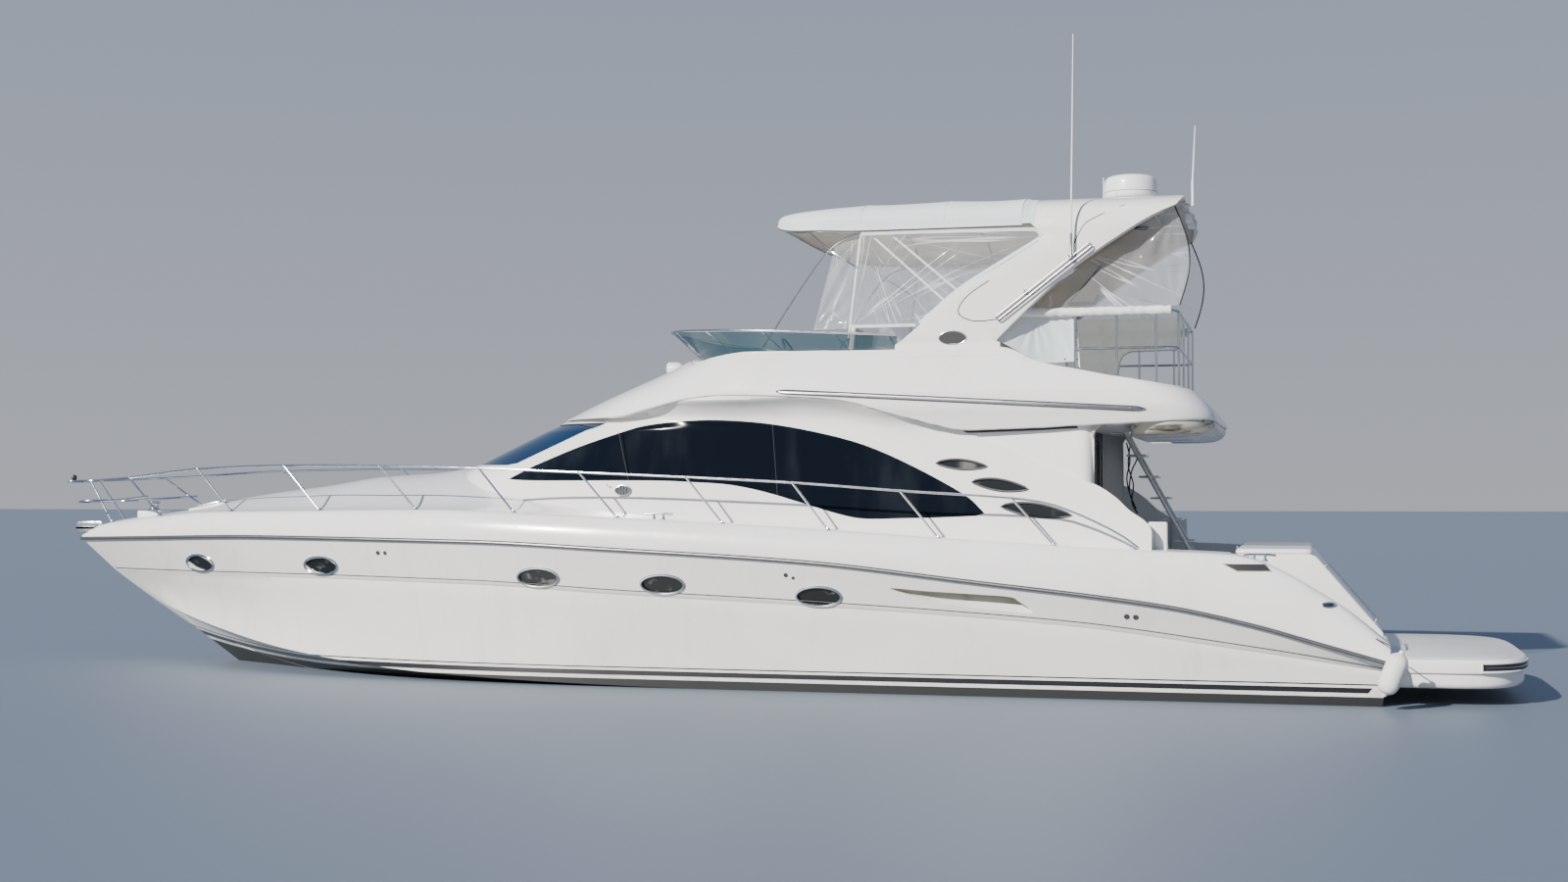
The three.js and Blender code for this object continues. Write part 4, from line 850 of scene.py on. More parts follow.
def houseHalf(x, z):
    # the side leans in, then sweeps out again under the flybridge's lip
    plain = 1.9 - 0.115 * (z - 1.6) + houseForm["flare"] * clamp((-2.0 - x) / 3.2) ** 1.5
    rise = mix(cove["high"], cove["thin"], clamp(x / 0.8))
    up = clamp((z - eyebrowZ(x) + rise) / rise)
    share = clamp((x - cove["aft"]) / cove["fade"]) * clamp((cove["fore"] - x) / cove["fade"])
    return plain + max(0.0, flyHalf(z) - cove["gap"] - plain) * up * up * share


def houseLoop(z, inset, noseInset, past=0.0):
    port = [(x, houseHalf(x, z) - inset) for x in spread(houseForm["wingEnd"] - past, -1.2, 30)]
    port += noseCurve(noseX(z) - noseInset, houseHalf(0, z) - inset, planStart(z))
    return roundBow([Vector((x, y, z)) for x, y in port])


def houseBody(inset=0.0, noseInset=0.0, past=0.0):
    heights = spread(houseForm["low"] - past, houseForm["coved"], houseForm["levels"])
    heights += spread(houseForm["coved"], houseForm["high"] + past, houseForm["levels"])[1:]
    return loft([houseLoop(z, inset, noseInset, past) for z in heights])


def flat(points):
    return [(p[0], p[1]) for p in points]


windowFoot = flat(splined([(2.25, 2.335), (1.85, 2.315), (0.41, 2.31), (-0.15, 2.29), (-0.58, 2.26),
                           (-0.99, 2.18), (-1.45, 2.05), (-1.85, 1.935), (-2.13, 1.885), (-2.55, 1.89),
                           (-2.96, 1.90), (-3.37, 1.918)], 4))
windowHead = flat(splined([(-3.47, 1.945), (-3.42, 2.0), (-3.23, 2.16), (-2.67, 2.46), (-2.11, 2.70),
                           (-1.54, 2.85), (-0.96, 2.95), (-0.41, 2.99), (0.02, 2.98), (0.44, 2.94),
                           (0.73, 2.87), (1.31, 2.70), (1.89, 2.49)], 4))
sideWindow = windowFoot + windowHead
windscreenHalf = [(0, 2.53), (1.29, 2.50), (1.36, 2.52), (1.52, 2.92), (1.49, 2.985), (0, 3.0)]
windscreen = windscreenHalf + [(-y, z) for y, z in reversed(windscreenHalf[1:-1])]
eyeWindows = [{"fore": (-2.93, 2.49), "aft": (-3.49, 2.45), "high": 0.055},
              {"fore": (-3.33, 2.285), "aft": (-3.94, 2.205), "high": 0.065},
              {"fore": (-3.65, 2.02), "aft": (-4.41, 1.925), "high": 0.075}]


def grown(outline, by):
    middle = [sum(p[k] for p in outline) / len(outline) for k in (0, 1)]
    made = []
    for a, b in outline:
        reach = math.hypot(a - middle[0], b - middle[1])
        made.append((a + (a - middle[0]) * by / reach, b + (b - middle[1]) * by / reach))
    return made


def eyeOutline(window, by=0.0):
    # a lens pointed at both ends, fuller above
    (x0, z0), (x1, z1) = window["fore"], window["aft"]
    above, below = window["high"] + by, 0.8 * window["high"] + by
    steps = spread(0, 1, 17)
    upper = [(mix(x0 + by, x1 - by, t), mix(z0, z1, t) + above * math.sin(math.pi * t ** 0.9) ** 0.75)
             for t in steps]
    lower = [(mix(x0 + by, x1 - by, t), mix(z0, z1, t) - below * math.sin(math.pi * t) ** 0.8)
             for t in reversed(steps[1:-1])]
    return upper + lower


def aboveLine(line, top=6.0):
    (x0, z0), (x1, z1) = line[0][:2], line[-1][:2]
    return flat(line) + [(x1, top), (x0, top)]


eyebrow = [(x, eyebrowZ(x)) for x in spread(-6.1, 3.6, 120)]
house = placed("house_moulding", houseBody())
eyeCuts = [sideCut(eyeOutline(window), 1.2, far) for window in eyeWindows]
carved(house, houseBody(houseForm["wall"], 2 * houseForm["wall"], 0.1),
       sideCut(aboveLine(eyebrow), -far, far),
       block((bulkheadX - 0.01, -houseForm["roofHalf"], levels["ceiling"]),
             (far, houseForm["roofHalf"], far)),
       sideCut(flat(wingEdge) + [(-3.2, 5), (-7, 5), (-7, 1.0), (-5.25, 1.0)], -far, far),
       sideCut(sideWindow, -far, far), *[bothSides(cut) for cut in eyeCuts], frontCut(windscreen, 1.0, far))
dressed(house, gelcoat, replaces=["house"])

# Glass: how far its two faces lie behind the skin, and how far it passes the window's edge
glassFore, glassAft, glassEdge = 0.012, 0.024, 0.004


def glassPane(name, cutter, node, keep, finish):
    pane = placed(name, houseBody(glassFore, 2 * glassFore))
    carved(pane, houseBody(glassAft, 2 * glassAft))
    carved(pane, cutter, operation="INTERSECT")
    carved(pane, keep, operation="INTERSECT")
    return dressed(pane, finish, replaces=[node] if node else [])


sideHalves = {"port": ((-far, 0.05, -far), (far, far, far)),
              "starboard": ((-far, -far, -far), (far, -0.05, far))}
for word, half in sideHalves.items():
    glassPane("side_glass_" + word, sideCut(grown(sideWindow, glassEdge), -far, far), "side_window_" + word,
              block(*half), darkGlass)
glassPane("windscreen_glass", frontCut(grown(windscreen, glassEdge), 0, far), "windscreen",
          block((1.0, -far, -far), (far, far, far)), blueGlass)
eyeHolder = gathered(*[sideCut(eyeOutline(window, glassEdge), 1.2, far) for window in eyeWindows])
glassPane("eye_glass", bothSides(eyeHolder), None, block((-far, -far, -far), (far, far, far)), eyeGlassWithPaintedReflections)
rims = []
for window in eyeWindows:
    edge = [(x, houseHalf(x, z) + 0.001, z) for x, z in eyeOutline(window, glassEdge)]
    rims.append(tubes([closed(edge)], 0.012))
made("eye_window_rims", bothSides(gathered(*rims)), rubBase)

# Seams between the side window's panes: a thin rubber strip on the glass
seamLines = [[(0.62, 2.315), (0.76, 2.86)], [(-1.14, 2.14), (-1.06, 2.93)]]
seams = []
for seam in seamLines:
    path = [(mix(seam[0][0], seam[1][0], t), mix(seam[0][1], seam[1][1], t)) for t in spread(0, 1, 12)]
    seams.append(tubes([[(x, houseHalf(x, z) - glassFore + 0.0005, z) for x, z in path]], 0.0045))
made("window_seams", bothSides(gathered(*seams)), blackTrim)
print("house ready", len(house.data.polygons))

# Side panels that close the gap between the wings and the flybridge, rounded at their aft ends
panelForm = {"fore": -3.0, "aft": -4.63, "round": 0.13, "thick": 0.10, "low": 1.95, "high": 2.95,
             "inside": 0.03}
panelLoops = []
for z in spread(panelForm["low"], panelForm["high"], 40):
    aft, turned = panelForm["aft"], panelForm["round"]
    loop = [Vector((x, houseHalf(x, z) - panelForm["inside"], z))
            for x in spread(panelForm["fore"], aft + turned, 24)]
    corner = Vector((aft + turned, loop[-1].y - turned, z))
    loop += [corner + Vector((-turned * math.sin(a), turned * math.cos(a), 0))
             for a in spread(0, math.pi / 2, 7)[1:]]
    inner = houseHalf(aft, 2.4) - panelForm["inside"] - panelForm["thick"]
    loop += [Vector((aft, inner, z)), Vector((panelForm["fore"], inner, z))]
    panelLoops.append(loop[::-1])
sidePanels = placed("cabin_side_panels", bothSides(loft(panelLoops)))
dressed(sidePanels, gelcoat)
# a black strip under the flybridge's lip along the side panels: a gasket, and painted shade of the gap
gasketShadeLine = [Vector((x, houseHalf(x, eyebrowZ(x)) - panelForm["inside"] + 0.006, eyebrowZ(x) - 0.010))
           for x in spread(-3.22, -4.46, 40)]
made("panel_gap_gasket_shade", bothSides(tubes([gasketShadeLine], 0.011, 2)), blackTrim)
arc = [(-4.77 + 0.145 * math.cos(a), 2.76 + 0.13 * math.sin(a)) for a in spread(0, math.pi / 2, 12)]
cornerSide = [(-4.61, 2.95), (-4.61, 2.76)] + arc + [(-4.77, 2.95)]
for name, y0, y1 in (("cockpit_corner_fillets", 1.66, 1.80),
                     ("cockpit_corner_fillets_starboard", -1.80, -1.66)):
    made(name, sideCut(cornerSide, y0, y1), beige)
made("wing_returns", bothSides(block((-5.40, 1.74, 1.45), (-5.2, 1.81, 1.86), 0.02)), gelcoat)
looseCables = [splined(line, 8) for line in (
    [(-4.67, -1.70, 2.80), (-4.71, -1.71, 2.58), (-4.67, -1.72, 2.35), (-4.72, -1.73, 2.12),
     (-4.78, -1.74, 1.98)],
    [(-4.72, -1.69, 2.80), (-4.69, -1.70, 2.52), (-4.75, -1.71, 2.28), (-4.73, -1.73, 2.06),
     (-4.80, -1.74, 1.92)],
    [(-4.75, -1.70, 2.80), (-4.80, -1.70, 2.62), (-4.73, -1.71, 2.44), (-4.70, -1.73, 2.20),
     (-4.76, -1.75, 2.02)])]
made("loose_cables", tubes(looseCables, 0.009, 2), blackTrim)

# Flybridge: one moulding with a rolled coaming, a sunk well and a long overhang aft
flyAft = smoothLine((2.7, -5.89), (2.86, -5.915), (2.96, -5.90), (3.12, -5.80), (3.25, -5.67), (3.33, -5.55),
                    (3.48, -5.5), (3.9, -5.48))
coamingZ = smoothLine((-6.1, 3.28), (-5.57, 3.30), (-5.0, 3.38), (-4.48, 3.48), (-4.02, 3.58), (-3.62, 3.75),
                      (-3.5, 3.755), (-2.5, 3.74), (-0.73, 3.752), (-0.26, 3.70), (-0.1, 3.67), (0.24, 3.79),
                      (0.6, 3.9))
flyForm = {"corner": 0.5, "noseSteps": 40, "sideSteps": 60, "cornerSteps": 12, "aftSteps": 10, "roll": 0.028,
           "lipRoll": 0.02, "wellHalf": 1.6, "wellNose": 0.02, "wellAft": -5.4, "wellStart": -1.3}


def flyPlan(nose, half, aft, start, corner):
    # port half from the nose round to the middle of the aft edge
    made = [(x, y) for x, y in reversed(noseCurve(nose, half, start, flyForm["noseSteps"]))]
    made += [(x, half) for x in spread(start, aft + corner, flyForm["sideSteps"])[1:]]
    made += [(aft + corner * (1 - math.sin(a)), half - corner * (1 - math.cos(a)))
             for a in spread(0, math.pi / 2, flyForm["cornerSteps"] + 1)[1:]]
    return made + [(aft, y) for y in spread(half - corner, 0, flyForm["aftSteps"])[1:]]


def flyOutline(z):
    return flyPlan(noseX(max(z, 3.05)), flyHalf(z), flyAft(z), planStart(z), flyForm["corner"])


wellOutline = flyPlan(flyForm["wellNose"], flyForm["wellHalf"], flyForm["wellAft"], flyForm["wellStart"],
                      0.12)
flyLevels = {round(z, 4): flyOutline(z) for z in spread(2.8, 3.9, 221)}


def flyCrossing(k, line):
    # the height where column k of the outer skin meets a line given as a height over x
    for z, outline in flyLevels.items():
        if z >= line(outline[k][0]):
            return z
    return z


def flySection(k):
    low, high = flyCrossing(k, eyebrowZ), flyCrossing(k, coamingZ)
    roll, lip = flyForm["roll"], flyForm["lipRoll"]
    foot, head = flyOutline(low), flyOutline(high)
    wellX, wellY = wellOutline[k]
    wellZ = coamingZ(wellX)
    inward = Vector((wellX - head[k][0], wellY - head[k][1], 0)).normalized()
    footX, footY = foot[k]
    spineX = clamp(footX, -5.0, 1.0)
    under = levels["ceiling"] if footX > bulkheadX else low
    made = [Vector((mix(spineX, footX, t), footY * t, under)) for t in (0, 0.3, 0.6)]
    inner = min(1.0, houseForm["roofHalf"] / max(footY, 0.01)) if footX > bulkheadX else 0.97
    made += [Vector((mix(spineX, footX, inner), footY * inner, h)) for h in (under, low)]
    edge = Vector((footX, footY, low))
    back = Vector((spineX - footX, -footY, 0)).normalized()
    made += [edge + back * lip * (1 - math.sin(a)) + Vector((0, 0, lip * (1 - math.cos(a))))
             for a in spread(0, math.pi / 2, 5)]
    for z in spread(low + lip, high - roll, 26)[1:]:
        made.append(Vector((*flyOutline(z)[k], z)))
    top = Vector((*head[k], high))
    made += [top + inward * roll * (1 - math.cos(a)) - Vector((0, 0, roll * (1 - math.sin(a))))
             for a in spread(0, math.pi / 2, 6)[1:]]
    well = Vector((wellX, wellY, wellZ))
    made += [well - inward * roll * (1 - math.sin(a)) - Vector((0, 0, roll * (1 - math.cos(a))))
             for a in spread(0, math.pi / 2, 5)]
    floorZ = levels["flyFloor"]
    made += [Vector((wellX, wellY, mix(wellZ - roll, floorZ + roll, t))) for t in (0.33, 0.66, 1)]
    made += [Vector((wellX, wellY, floorZ + roll)) + inward * roll * (1 - math.cos(a))
             - Vector((0, 0, roll * math.sin(a))) for a in spread(0, math.pi / 2, 5)[1:]]
    wellSpine = clamp(wellX, -4.6, -0.8)
    made += [Vector((mix(wellX, wellSpine, t), wellY * (1 - t), floorZ)) for t in (0.25, 0.5, 0.75, 1)]
    return made


fly = placed("flybridge_moulding", mirroredLoft([flySection(k) for k in range(len(wellOutline))]))
fly.data.materials.append(gelcoat.material)
stairHole = {"low": (-5.25, -1.45, 2.5), "high": (-4.55, -0.8, 3.5)}
carved(fly, block(stairHole["low"], stairHole["high"]), solver="MANIFOLD")
for material in (beige.material, nonSkid.material):
    fly.data.materials.append(material)
for face in fly.data.polygons:
    if face.normal.z < -0.6 and face.center.x < bulkheadX:
        face.material_index = 1
    if face.normal.z > 0.95 and face.center.z < levels["flyFloor"] + 0.01:
        face.material_index = 2
dressed(fly, gelcoat, replaces=["flybridge"])
print("flybridge ready", len(fly.data.polygons))

# Beige liner with a rounded lip under the overhang, with three slots
liner = {"aft": -5.90, "fore": -4.99, "half": 1.90, "corner": 0.48,
         "rows": [(2.955, 0.04), (2.92, 0.015), (2.88, 0.02), (2.845, 0.045), (2.81, 0.09), (2.79, 0.15),
                  (2.78, 0.24), (2.777, 0.4)]}
linerPaint = Finish("beige_gelcoat", (0.42, 0.38, 0.31), 0.2, name="overhang liner", Specular_IOR_Level=0.3)
# dark streaks stretched along the boat are painted reflections on the glossy liner
linerReflections = linerPaint.grain(5.5, 4, (0.28, 1.2, 2.6), 0.6)
linerPaint.put("Base Color", linerPaint.tinted(linerReflections.fade(0.48, 0.64), (0.50, 0.46, 0.38),
                                               (0.11, 0.098, 0.08)))
linerRows = []
for z, inset in liner["rows"]:
    plan = roundedBox((liner["aft"] + inset, inset - liner["half"]), (liner["fore"], liner["half"] - inset),
                      liner["corner"] - inset, 12)
    linerRows.append([Vector((x, y, z)) for x, y in plan])
overhang = placed("overhang_liner", loft(linerRows))
linerSlots = []
for x, y in ((-5.35, 1.05), (-5.35, -1.05), (-5.35, 0.0)):
    linerSlots.append(planCut([(x + a, y + b) for a, b in ellipse(0, 0, 0.24, 0.055, 28)], 2.7, 2.79))
slotCut = placed("cutter", gathered(*linerSlots))
slotCut.data.materials.append(blackTrim.material)
overhang.data.materials.append(linerPaint.material)
carved(overhang, block(stairHole["low"], stairHole["high"]), slotCut)
dressed(overhang, linerPaint)

# Steel rub strip along the flybridge's side, pointed at both ends, with its screws
strip = {"fore": (-1.16, 3.29), "aft": (-5.19, 3.05), "half": 0.024, "proud": 0.016, "screws": 26}
stripRows = []
for t in spread(0, 1, 60):
    x, z = mix(strip["fore"][0], strip["aft"][0], t), mix(strip["fore"][1], strip["aft"][1], t)
    full = clamp(math.sin(math.pi * t) * 14) ** 0.6
    half, out = strip["half"] * max(full, 0.05), strip["proud"] * max(full, 0.1)
    stripRows.append([Vector((x, flyHalf(z + up * half) + reach * out, z + up * half))
                      for up, reach in ((-1, -0.4), (-0.9, 0.5), (-0.5, 1), (0, 1.1), (0.5, 1), (0.9, 0.5),
                                        (1, -0.4))])
screws = [ball((x, flyHalf(z) + strip["proud"] * 1.1, z), 0.006, (1, 0.5, 1), 5)
          for x, z in [(mix(strip["fore"][0], strip["aft"][0], t), mix(strip["fore"][1], strip["aft"][1], t))
                       for t in spread(0.04, 0.96, strip["screws"])]]
made("flybridge_rub_strip", bothSides(gathered(loft(stripRows), *screws)), dullSteel)
stripEdges = [[row[k] + Vector((0, 0.012, 0)) for row in stripRows] for k in (0, 6)]
made("flybridge_strip_edges", bothSides(tubes(stripEdges, 0.0055, 2)), rubBase)

# Wind deflector: tinted acrylic that leans out over the coaming, under a steel rail on struts
shield = {"footHalf": 1.69, "topHalf": 1.76, "footNose": 0.16, "topNose": 0.6, "aft": -2.48, "thick": 0.008,
          "topZ": smoothLine((-2.6, 3.897), (-1.2, 3.972), (-0.2, 4.02), (0.3, 4.06), (0.6, 4.10)),
          "rail": 0.0145, "struts": (4, 14, 24, 33, 41, 48)}


def shieldLine(half, nose):
    port = [(x, y) for x, y in reversed(noseCurve(nose, half, -1.3, 36))]
    return port + [(x, half) for x in spread(-1.3, shield["aft"], 14)[1:]]


shieldFoot = [Vector((x, y, max(coamingZ(x), 3.70) - 0.004))
              for x, y in shieldLine(shield["footHalf"], shield["footNose"])]
shieldTop = [Vector((x, y, shield["topZ"](x))) for x, y in shieldLine(shield["topHalf"], shield["topNose"])]


def fullLine(port):
    # a port half line from the nose aft, carried round to starboard
    return [p for p in reversed(port)] + [Vector((p.x, -p.y, p.z)) for p in port[1:]]


footLine, topLine = fullLine(shieldFoot), fullLine(shieldTop)
bands = []
for foot, head in zip(footLine, topLine):
    inward = Vector((-0.4 - foot.x if foot.x > -1.3 else 0, -foot.y, 0)).normalized() * shield["thick"]
    bands.append([foot, foot.lerp(head, 0.5), head, head + inward, foot.lerp(head, 0.5) + inward,
                  foot + inward])
tinted = Finish("tinted_acrylic", (0.012, 0.06, 0.085), 0.04, name="tinted acrylic", IOR=1.49, Alpha=0.5)
tinted.put("Roughness", 0.04 + tinted.grain(6, 4).fade(0.5, 0.8) * 0.1)
made("wind_deflector_panel", loft(bands), tinted, replaces=["wind_deflector"])
railings = [tubes([[p + Vector((0, 0, 0.004)) for p in topLine]], shield["rail"])]
for k in shield["struts"]:
    railings.append(bothSides(tubes([[shieldTop[k], shieldFoot[min(k + 2, len(shieldFoot) - 1)]
                                      + Vector((0, -0.05, 0.0))]], 0.008)))
made("deflector_rail", gathered(*railings), steel)
made("deflector_foot_trim", tubes([[p + Vector((0, 0, 0.006)) for p in footLine]], 0.012), blackTrim)

# Radar arch: two broad raked legs under one rounded roof
archSide = [[(-2.48, 3.8), (-2.66, 3.95), (-3.2, 4.39), (-3.66, 4.66), (-4.04, 4.885)],
            [(-4.09, 4.96), (-4.0, 5.05), (-3.92, 5.13)], [(-3.885, 5.3), (-3.88, 5.476)],
            [(-4.31, 5.495), (-4.66, 5.5), (-5.24, 5.48), (-5.47, 5.43), (-5.57, 5.36)],
            [(-5.5, 5.25), (-5.13, 5.07), (-4.41, 4.6), (-4.0, 4.24), (-3.61, 3.86), (-3.57, 3.8)]]
archFaceY = 1.74
archOuter = [(archFaceY, 3.0), (archFaceY, 4.6), (1.735, 4.9), (1.715, 5.1), (1.63, 5.265), (1.43, 5.365),
             (1.1, 5.425), (0.5, 5.475), (0, 5.49)]
archInner = [(1.6, 2.9), (1.6, 4.6), (1.59, 4.9), (1.56, 5.05), (1.49, 5.18), (1.33, 5.265), (0.95, 5.315),
             (0.4, 5.345), (0, 5.35)]


def archFront(half):
    port = flat(splined(half, 4))
    return port + [(-y, z) for y, z in reversed(port[:-1])]


archProfile = flat(splined(archSide[0], 4)) + archSide[1] + archSide[2]
archProfile += flat(splined(archSide[3], 3)) + flat(splined(archSide[4], 4))
arch = placed("arch_moulding", sideCut(archProfile, -2.0, 2.0))
carved(arch, frontCut(archFront(archOuter), -7, 0), operation="INTERSECT")
carved(arch, frontCut(archFront(archInner), -7.1, 0.1))
bevel = arch.modifiers.new("edges", "BEVEL")
bevel.width = 0.03
bevel.segments = 4
bevel.limit_method = "ANGLE"
bevel.angle_limit = math.radians(38)
baked(arch)
dressed(arch, gelcoat, replaces=["radar_arch"])
arch.data.materials.append(beige.material)
for face in arch.data.polygons:
    inside = face.normal.y * face.center.y < 0 and abs(face.normal.y) > 0.5 and abs(face.center.y) < 1.65
    if inside or (face.normal.z < -0.3 and abs(face.center.y) < 1.55):
        face.material_index = 1
# A fillet that carries the flybridge's side up into the leg's
fillet = {"fore": -2.46, "aft": -3.62, "low": 3.66, "high": 3.9, "proud": 0.003}
filletRows = []
for t in spread(0, 1, 24):
    x = mix(fillet["fore"], fillet["aft"], t)
    high = min(fillet["high"], 3.78 + 0.5 * min(x - fillet["aft"], fillet["fore"] - x) + 0.02)
    row = [Vector((x, mix(flyHalf(z), archFaceY, clamp((z - 3.70) / 0.14) ** 0.8) + fillet["proud"], z))
           for z in spread(fillet["low"], high, 14)]
    filletRows.append(row + [Vector((x, 1.69, high - 0.01)), Vector((x, 1.69, fillet["low"] + 0.01))])
made("arch_fillet", bothSides(loft(filletRows)), gelcoat)
print("arch ready", len(arch.data.polygons))

# Arch details: two grooves, a grab rail, a foot seam, a bare oval plate, and what hangs under the roof
archSkinY = smoothLine((3.0, archFaceY), (4.6, archFaceY), (4.9, 1.735), (5.1, 1.715), (5.265, 1.63))
archTrim = {"groove": 0.006, "rail": 0.0125, "off": 0.05,
            "upper": [(-5.08, 5.32), (-4.86, 5.225), (-4.69, 5.15), (-4.55, 5.07), (-4.48, 4.97),
                      (-4.42, 4.84)],
            "lower": [(-4.12, 4.47), (-3.83, 4.25), (-3.61, 4.08), (-3.55, 4.05), (-3.34, 4.04),
                      (-3.19, 4.10), (-3.17, 4.19), (-3.28, 4.33), (-3.5, 4.475)],
            "foot": [(-3.56, 3.84), (-3.46, 3.75), (-3.37, 3.66)]}


def onArch(x, z, out=0.0):
    return Vector((x, archSkinY(z) + out, z))


grooves = []
for key in ("upper", "lower", "foot"):
    grooves.append(tubes([[onArch(x, z) for x, z in splined(archTrim[key], 5)]], archTrim["groove"], 2))
# the cut faces take the black gasket material: painted shade in the grooves and the foot seam
grooveShadeCut = placed("cutter", bothSides(gathered(*grooves)))
grooveShadeCut.data.materials.append(blackTrim.material)
carved(arch, grooveShadeCut)

grabAxis = Vector((-4.59 + 3.61, 0, 4.82 - 4.07)).normalized()
grabUp = Vector((-grabAxis.z, 0, grabAxis.x)) * 0.0225
grabEnds = [Vector((x, archFaceY + archTrim["off"], z)) for x, z in ((-3.61, 4.07), (-4.59, 4.82))]
loop = [grabEnds[0] + grabUp, grabEnds[1] + grabUp]
for centre, start in ((grabEnds[1], 1), (grabEnds[0], -1)):
    for a in spread(0, math.pi, 9):
        loop.append(centre + grabUp * math.cos(a) + grabAxis * 0.0225 * math.sin(a) * start if start > 0
                    else centre - grabUp * math.cos(a) - grabAxis * 0.0225 * math.sin(a))
bracketFoot = [(0, 0), (0.032, 0), (0.032, 0.003), (0.022, 0.007), (0, 0.007)]
brackets = []
for x, z in ((-4.38, 4.70), (-3.90, 4.34)):
    spot = Vector((x, archFaceY, z))
    for end in (spot + grabUp, spot - grabUp):
        brackets.append(rod(end - Vector((0, 0.004, 0)), end + Vector((0, archTrim["off"], 0)), 0.009,
                            sides=14))
    brackets.append(spun(bracketFoot, spot, (0, 1, 0), 28))
made("arch_grab_rail", bothSides(gathered(tubes([closed(loop)], 0.0085), *brackets)), dullSteel)
# a dark line on the arch just under the grab rail: painted shadow of the rail
shadowLoop = [Vector((p.x, archFaceY + 0.001, p.z - 0.012)) for p in loop]
made("arch_rail_shadow", bothSides(tubes([closed(shadowLoop)], 0.005, 2)), rubBase)

plate = {"x": -3.10, "z": 3.86, "long": 0.15, "high": 0.075, "backY": 1.739, "faceY": 1.746, "rimY": 1.745}
plateBody = sideCut(ovalOf(plate), plate["backY"], plate["faceY"])
plateRim = [Vector((x, plate["rimY"], z)) for x, z in ovalOf(plate, 48)]
made("arch_plate", bothSides(plateBody), blackTrim)
made("arch_plate_rim", bothSides(tubes([closed(plateRim)], 0.007)), steel)

speakerForm = {"at": (-4.95, -0.69, 5.335),
               "side": [(0, 0), (0.085, 0), (0.085, 0.02), (0.072, 0.026), (0.066, 0.018), (0, 0.014)]}
made("arch_speaker", spun(speakerForm["side"], speakerForm["at"], (0, 0, -1), 40), blackTrim)
floodForm = {"y": (1.2, 0.75), "caseX": (-5.66, -5.57), "caseZ": (5.10, 5.20), "half": 0.07,
             "glassX": (-5.665, -5.658), "glassZ": (5.115, 5.185), "glassHalf": 0.055,
             "arm": [(-5.52, 5.33), (-5.60, 5.28), (-5.615, 5.18)]}


def floodBlock(y, part, half, bevel, segments=3):
    (x0, x1), (z0, z1) = floodForm[part + "X"], floodForm[part + "Z"]
    return block((x0, y - half, z0), (x1, y + half, z1), bevel, segments)


lampCase = [floodBlock(y, "case", floodForm["half"], 0.015) for y in floodForm["y"]]
lampArms = [tubes([[(x, y, z) for x, z in floodForm["arm"]]], 0.009) for y in floodForm["y"]]
lampGlass = [floodBlock(y, "glass", floodForm["glassHalf"], 0.002, 1) for y in floodForm["y"]]
made("arch_lamps", gathered(*lampCase, *lampArms), whitePlastic)
made("arch_lamp_glass", gathered(*lampGlass), darkGlass)
battenForm = {"x": (-4.2, -4.75, -5.2), "wide": 0.012, "half": 1.25, "low": 5.305, "high": 5.352}
battens = [block((x - battenForm["wide"], -battenForm["half"], battenForm["low"]),
                 (x + battenForm["wide"], battenForm["half"], battenForm["high"]), 0.004, 2)
           for x in battenForm["x"]]
made("arch_battens", gathered(*battens), beige)
# Folded black screen bracket under the arch's roof
bracketLine = [(-4.4, -1.5, 5.0), (-3.98, -1.5, 4.52)]
bracketBar = [(-3.98, -1.5, 4.52), (-4.3, -1.5, 4.52), (-4.36, -1.5, 4.62)]
made("arch_bracket", gathered(tubes([bracketLine], 0.012), tubes([bracketBar], 0.026)), blackTrim)
print("arch details ready")

# Soft top: one canvas sheet stretched over bows, bent down at the front and the sides
topForm = {"front": -0.7, "round": -1.7, "aft": -3.86, "half": 1.71, "thick": 0.005,
           "bows": (-0.95, -2.06, -3.0, -3.86), "sag": 0.016, "hem": 0.009, "seam": 1.14}
topRidgeZ = smoothLine((-3.9, 5.475), (-2.97, 5.49), (-1.95, 5.475), (-1.29, 5.455), (-0.9, 5.45),
                       (-0.7, 5.435))
topEdgeZ = smoothLine((-3.9, 5.08), (-2.06, 5.085), (-1.7, 5.10), (-1.38, 5.125), (-1.17, 5.165),
                      (-0.98, 5.23), (-0.8, 5.33), (-0.7, 5.40))
canvas = Finish("white_canvas", (0.80, 0.795, 0.77), 0.85, name="white canvas", Sheen_Weight=0.25,
                Subsurface_Weight=0.3, Subsurface_Scale=0.05)
canvasStain = canvas.grain(3.2, 6, (1, 1, 1), 0.6).fade(0.5, 0.88) * 0.45
canvasDirt = canvasStain + canvas.grain(24, 3).fade(0.62, 0.8) * 0.16
canvas.marked(canvasDirt, (0.50, 0.47, 0.40))
weaveX, weaveY, weaveZ = canvas.place()
canvas.relief((weaveX.repeat(0.0012) + weaveY.repeat(0.0012) + weaveZ.repeat(0.0012)) * 200
              + canvas.grain(9, 4) * 0.8, 0.002)


def topHalf(x):
    t = clamp((x - topForm["round"]) / (topForm["front"] - topForm["round"]))
    return topForm["half"] * max(0.02, 1 - t * t) ** 0.7


def topPoint(x, angle, lift=0.0):
    ridge, edge = topRidgeZ(x) + lift, topEdgeZ(x) + lift
    across = math.copysign(abs(math.sin(angle)) ** 0.62, angle)
    up = max(0.0, math.cos(angle)) ** 0.62
    z = mix(edge, ridge, up)
    for a, b in zip(topForm["bows"], topForm["bows"][1:]):
        if b < x < a:
            z -= topForm["sag"] * math.sin(math.pi * (x - b) / (a - b)) ** 0.8 * up ** 0.5
    z += 0.005 * noise.noise(Vector((x * 2.2, across * 3.0, 1.7))) * up
    return Vector((x, topHalf(x) * across, z))


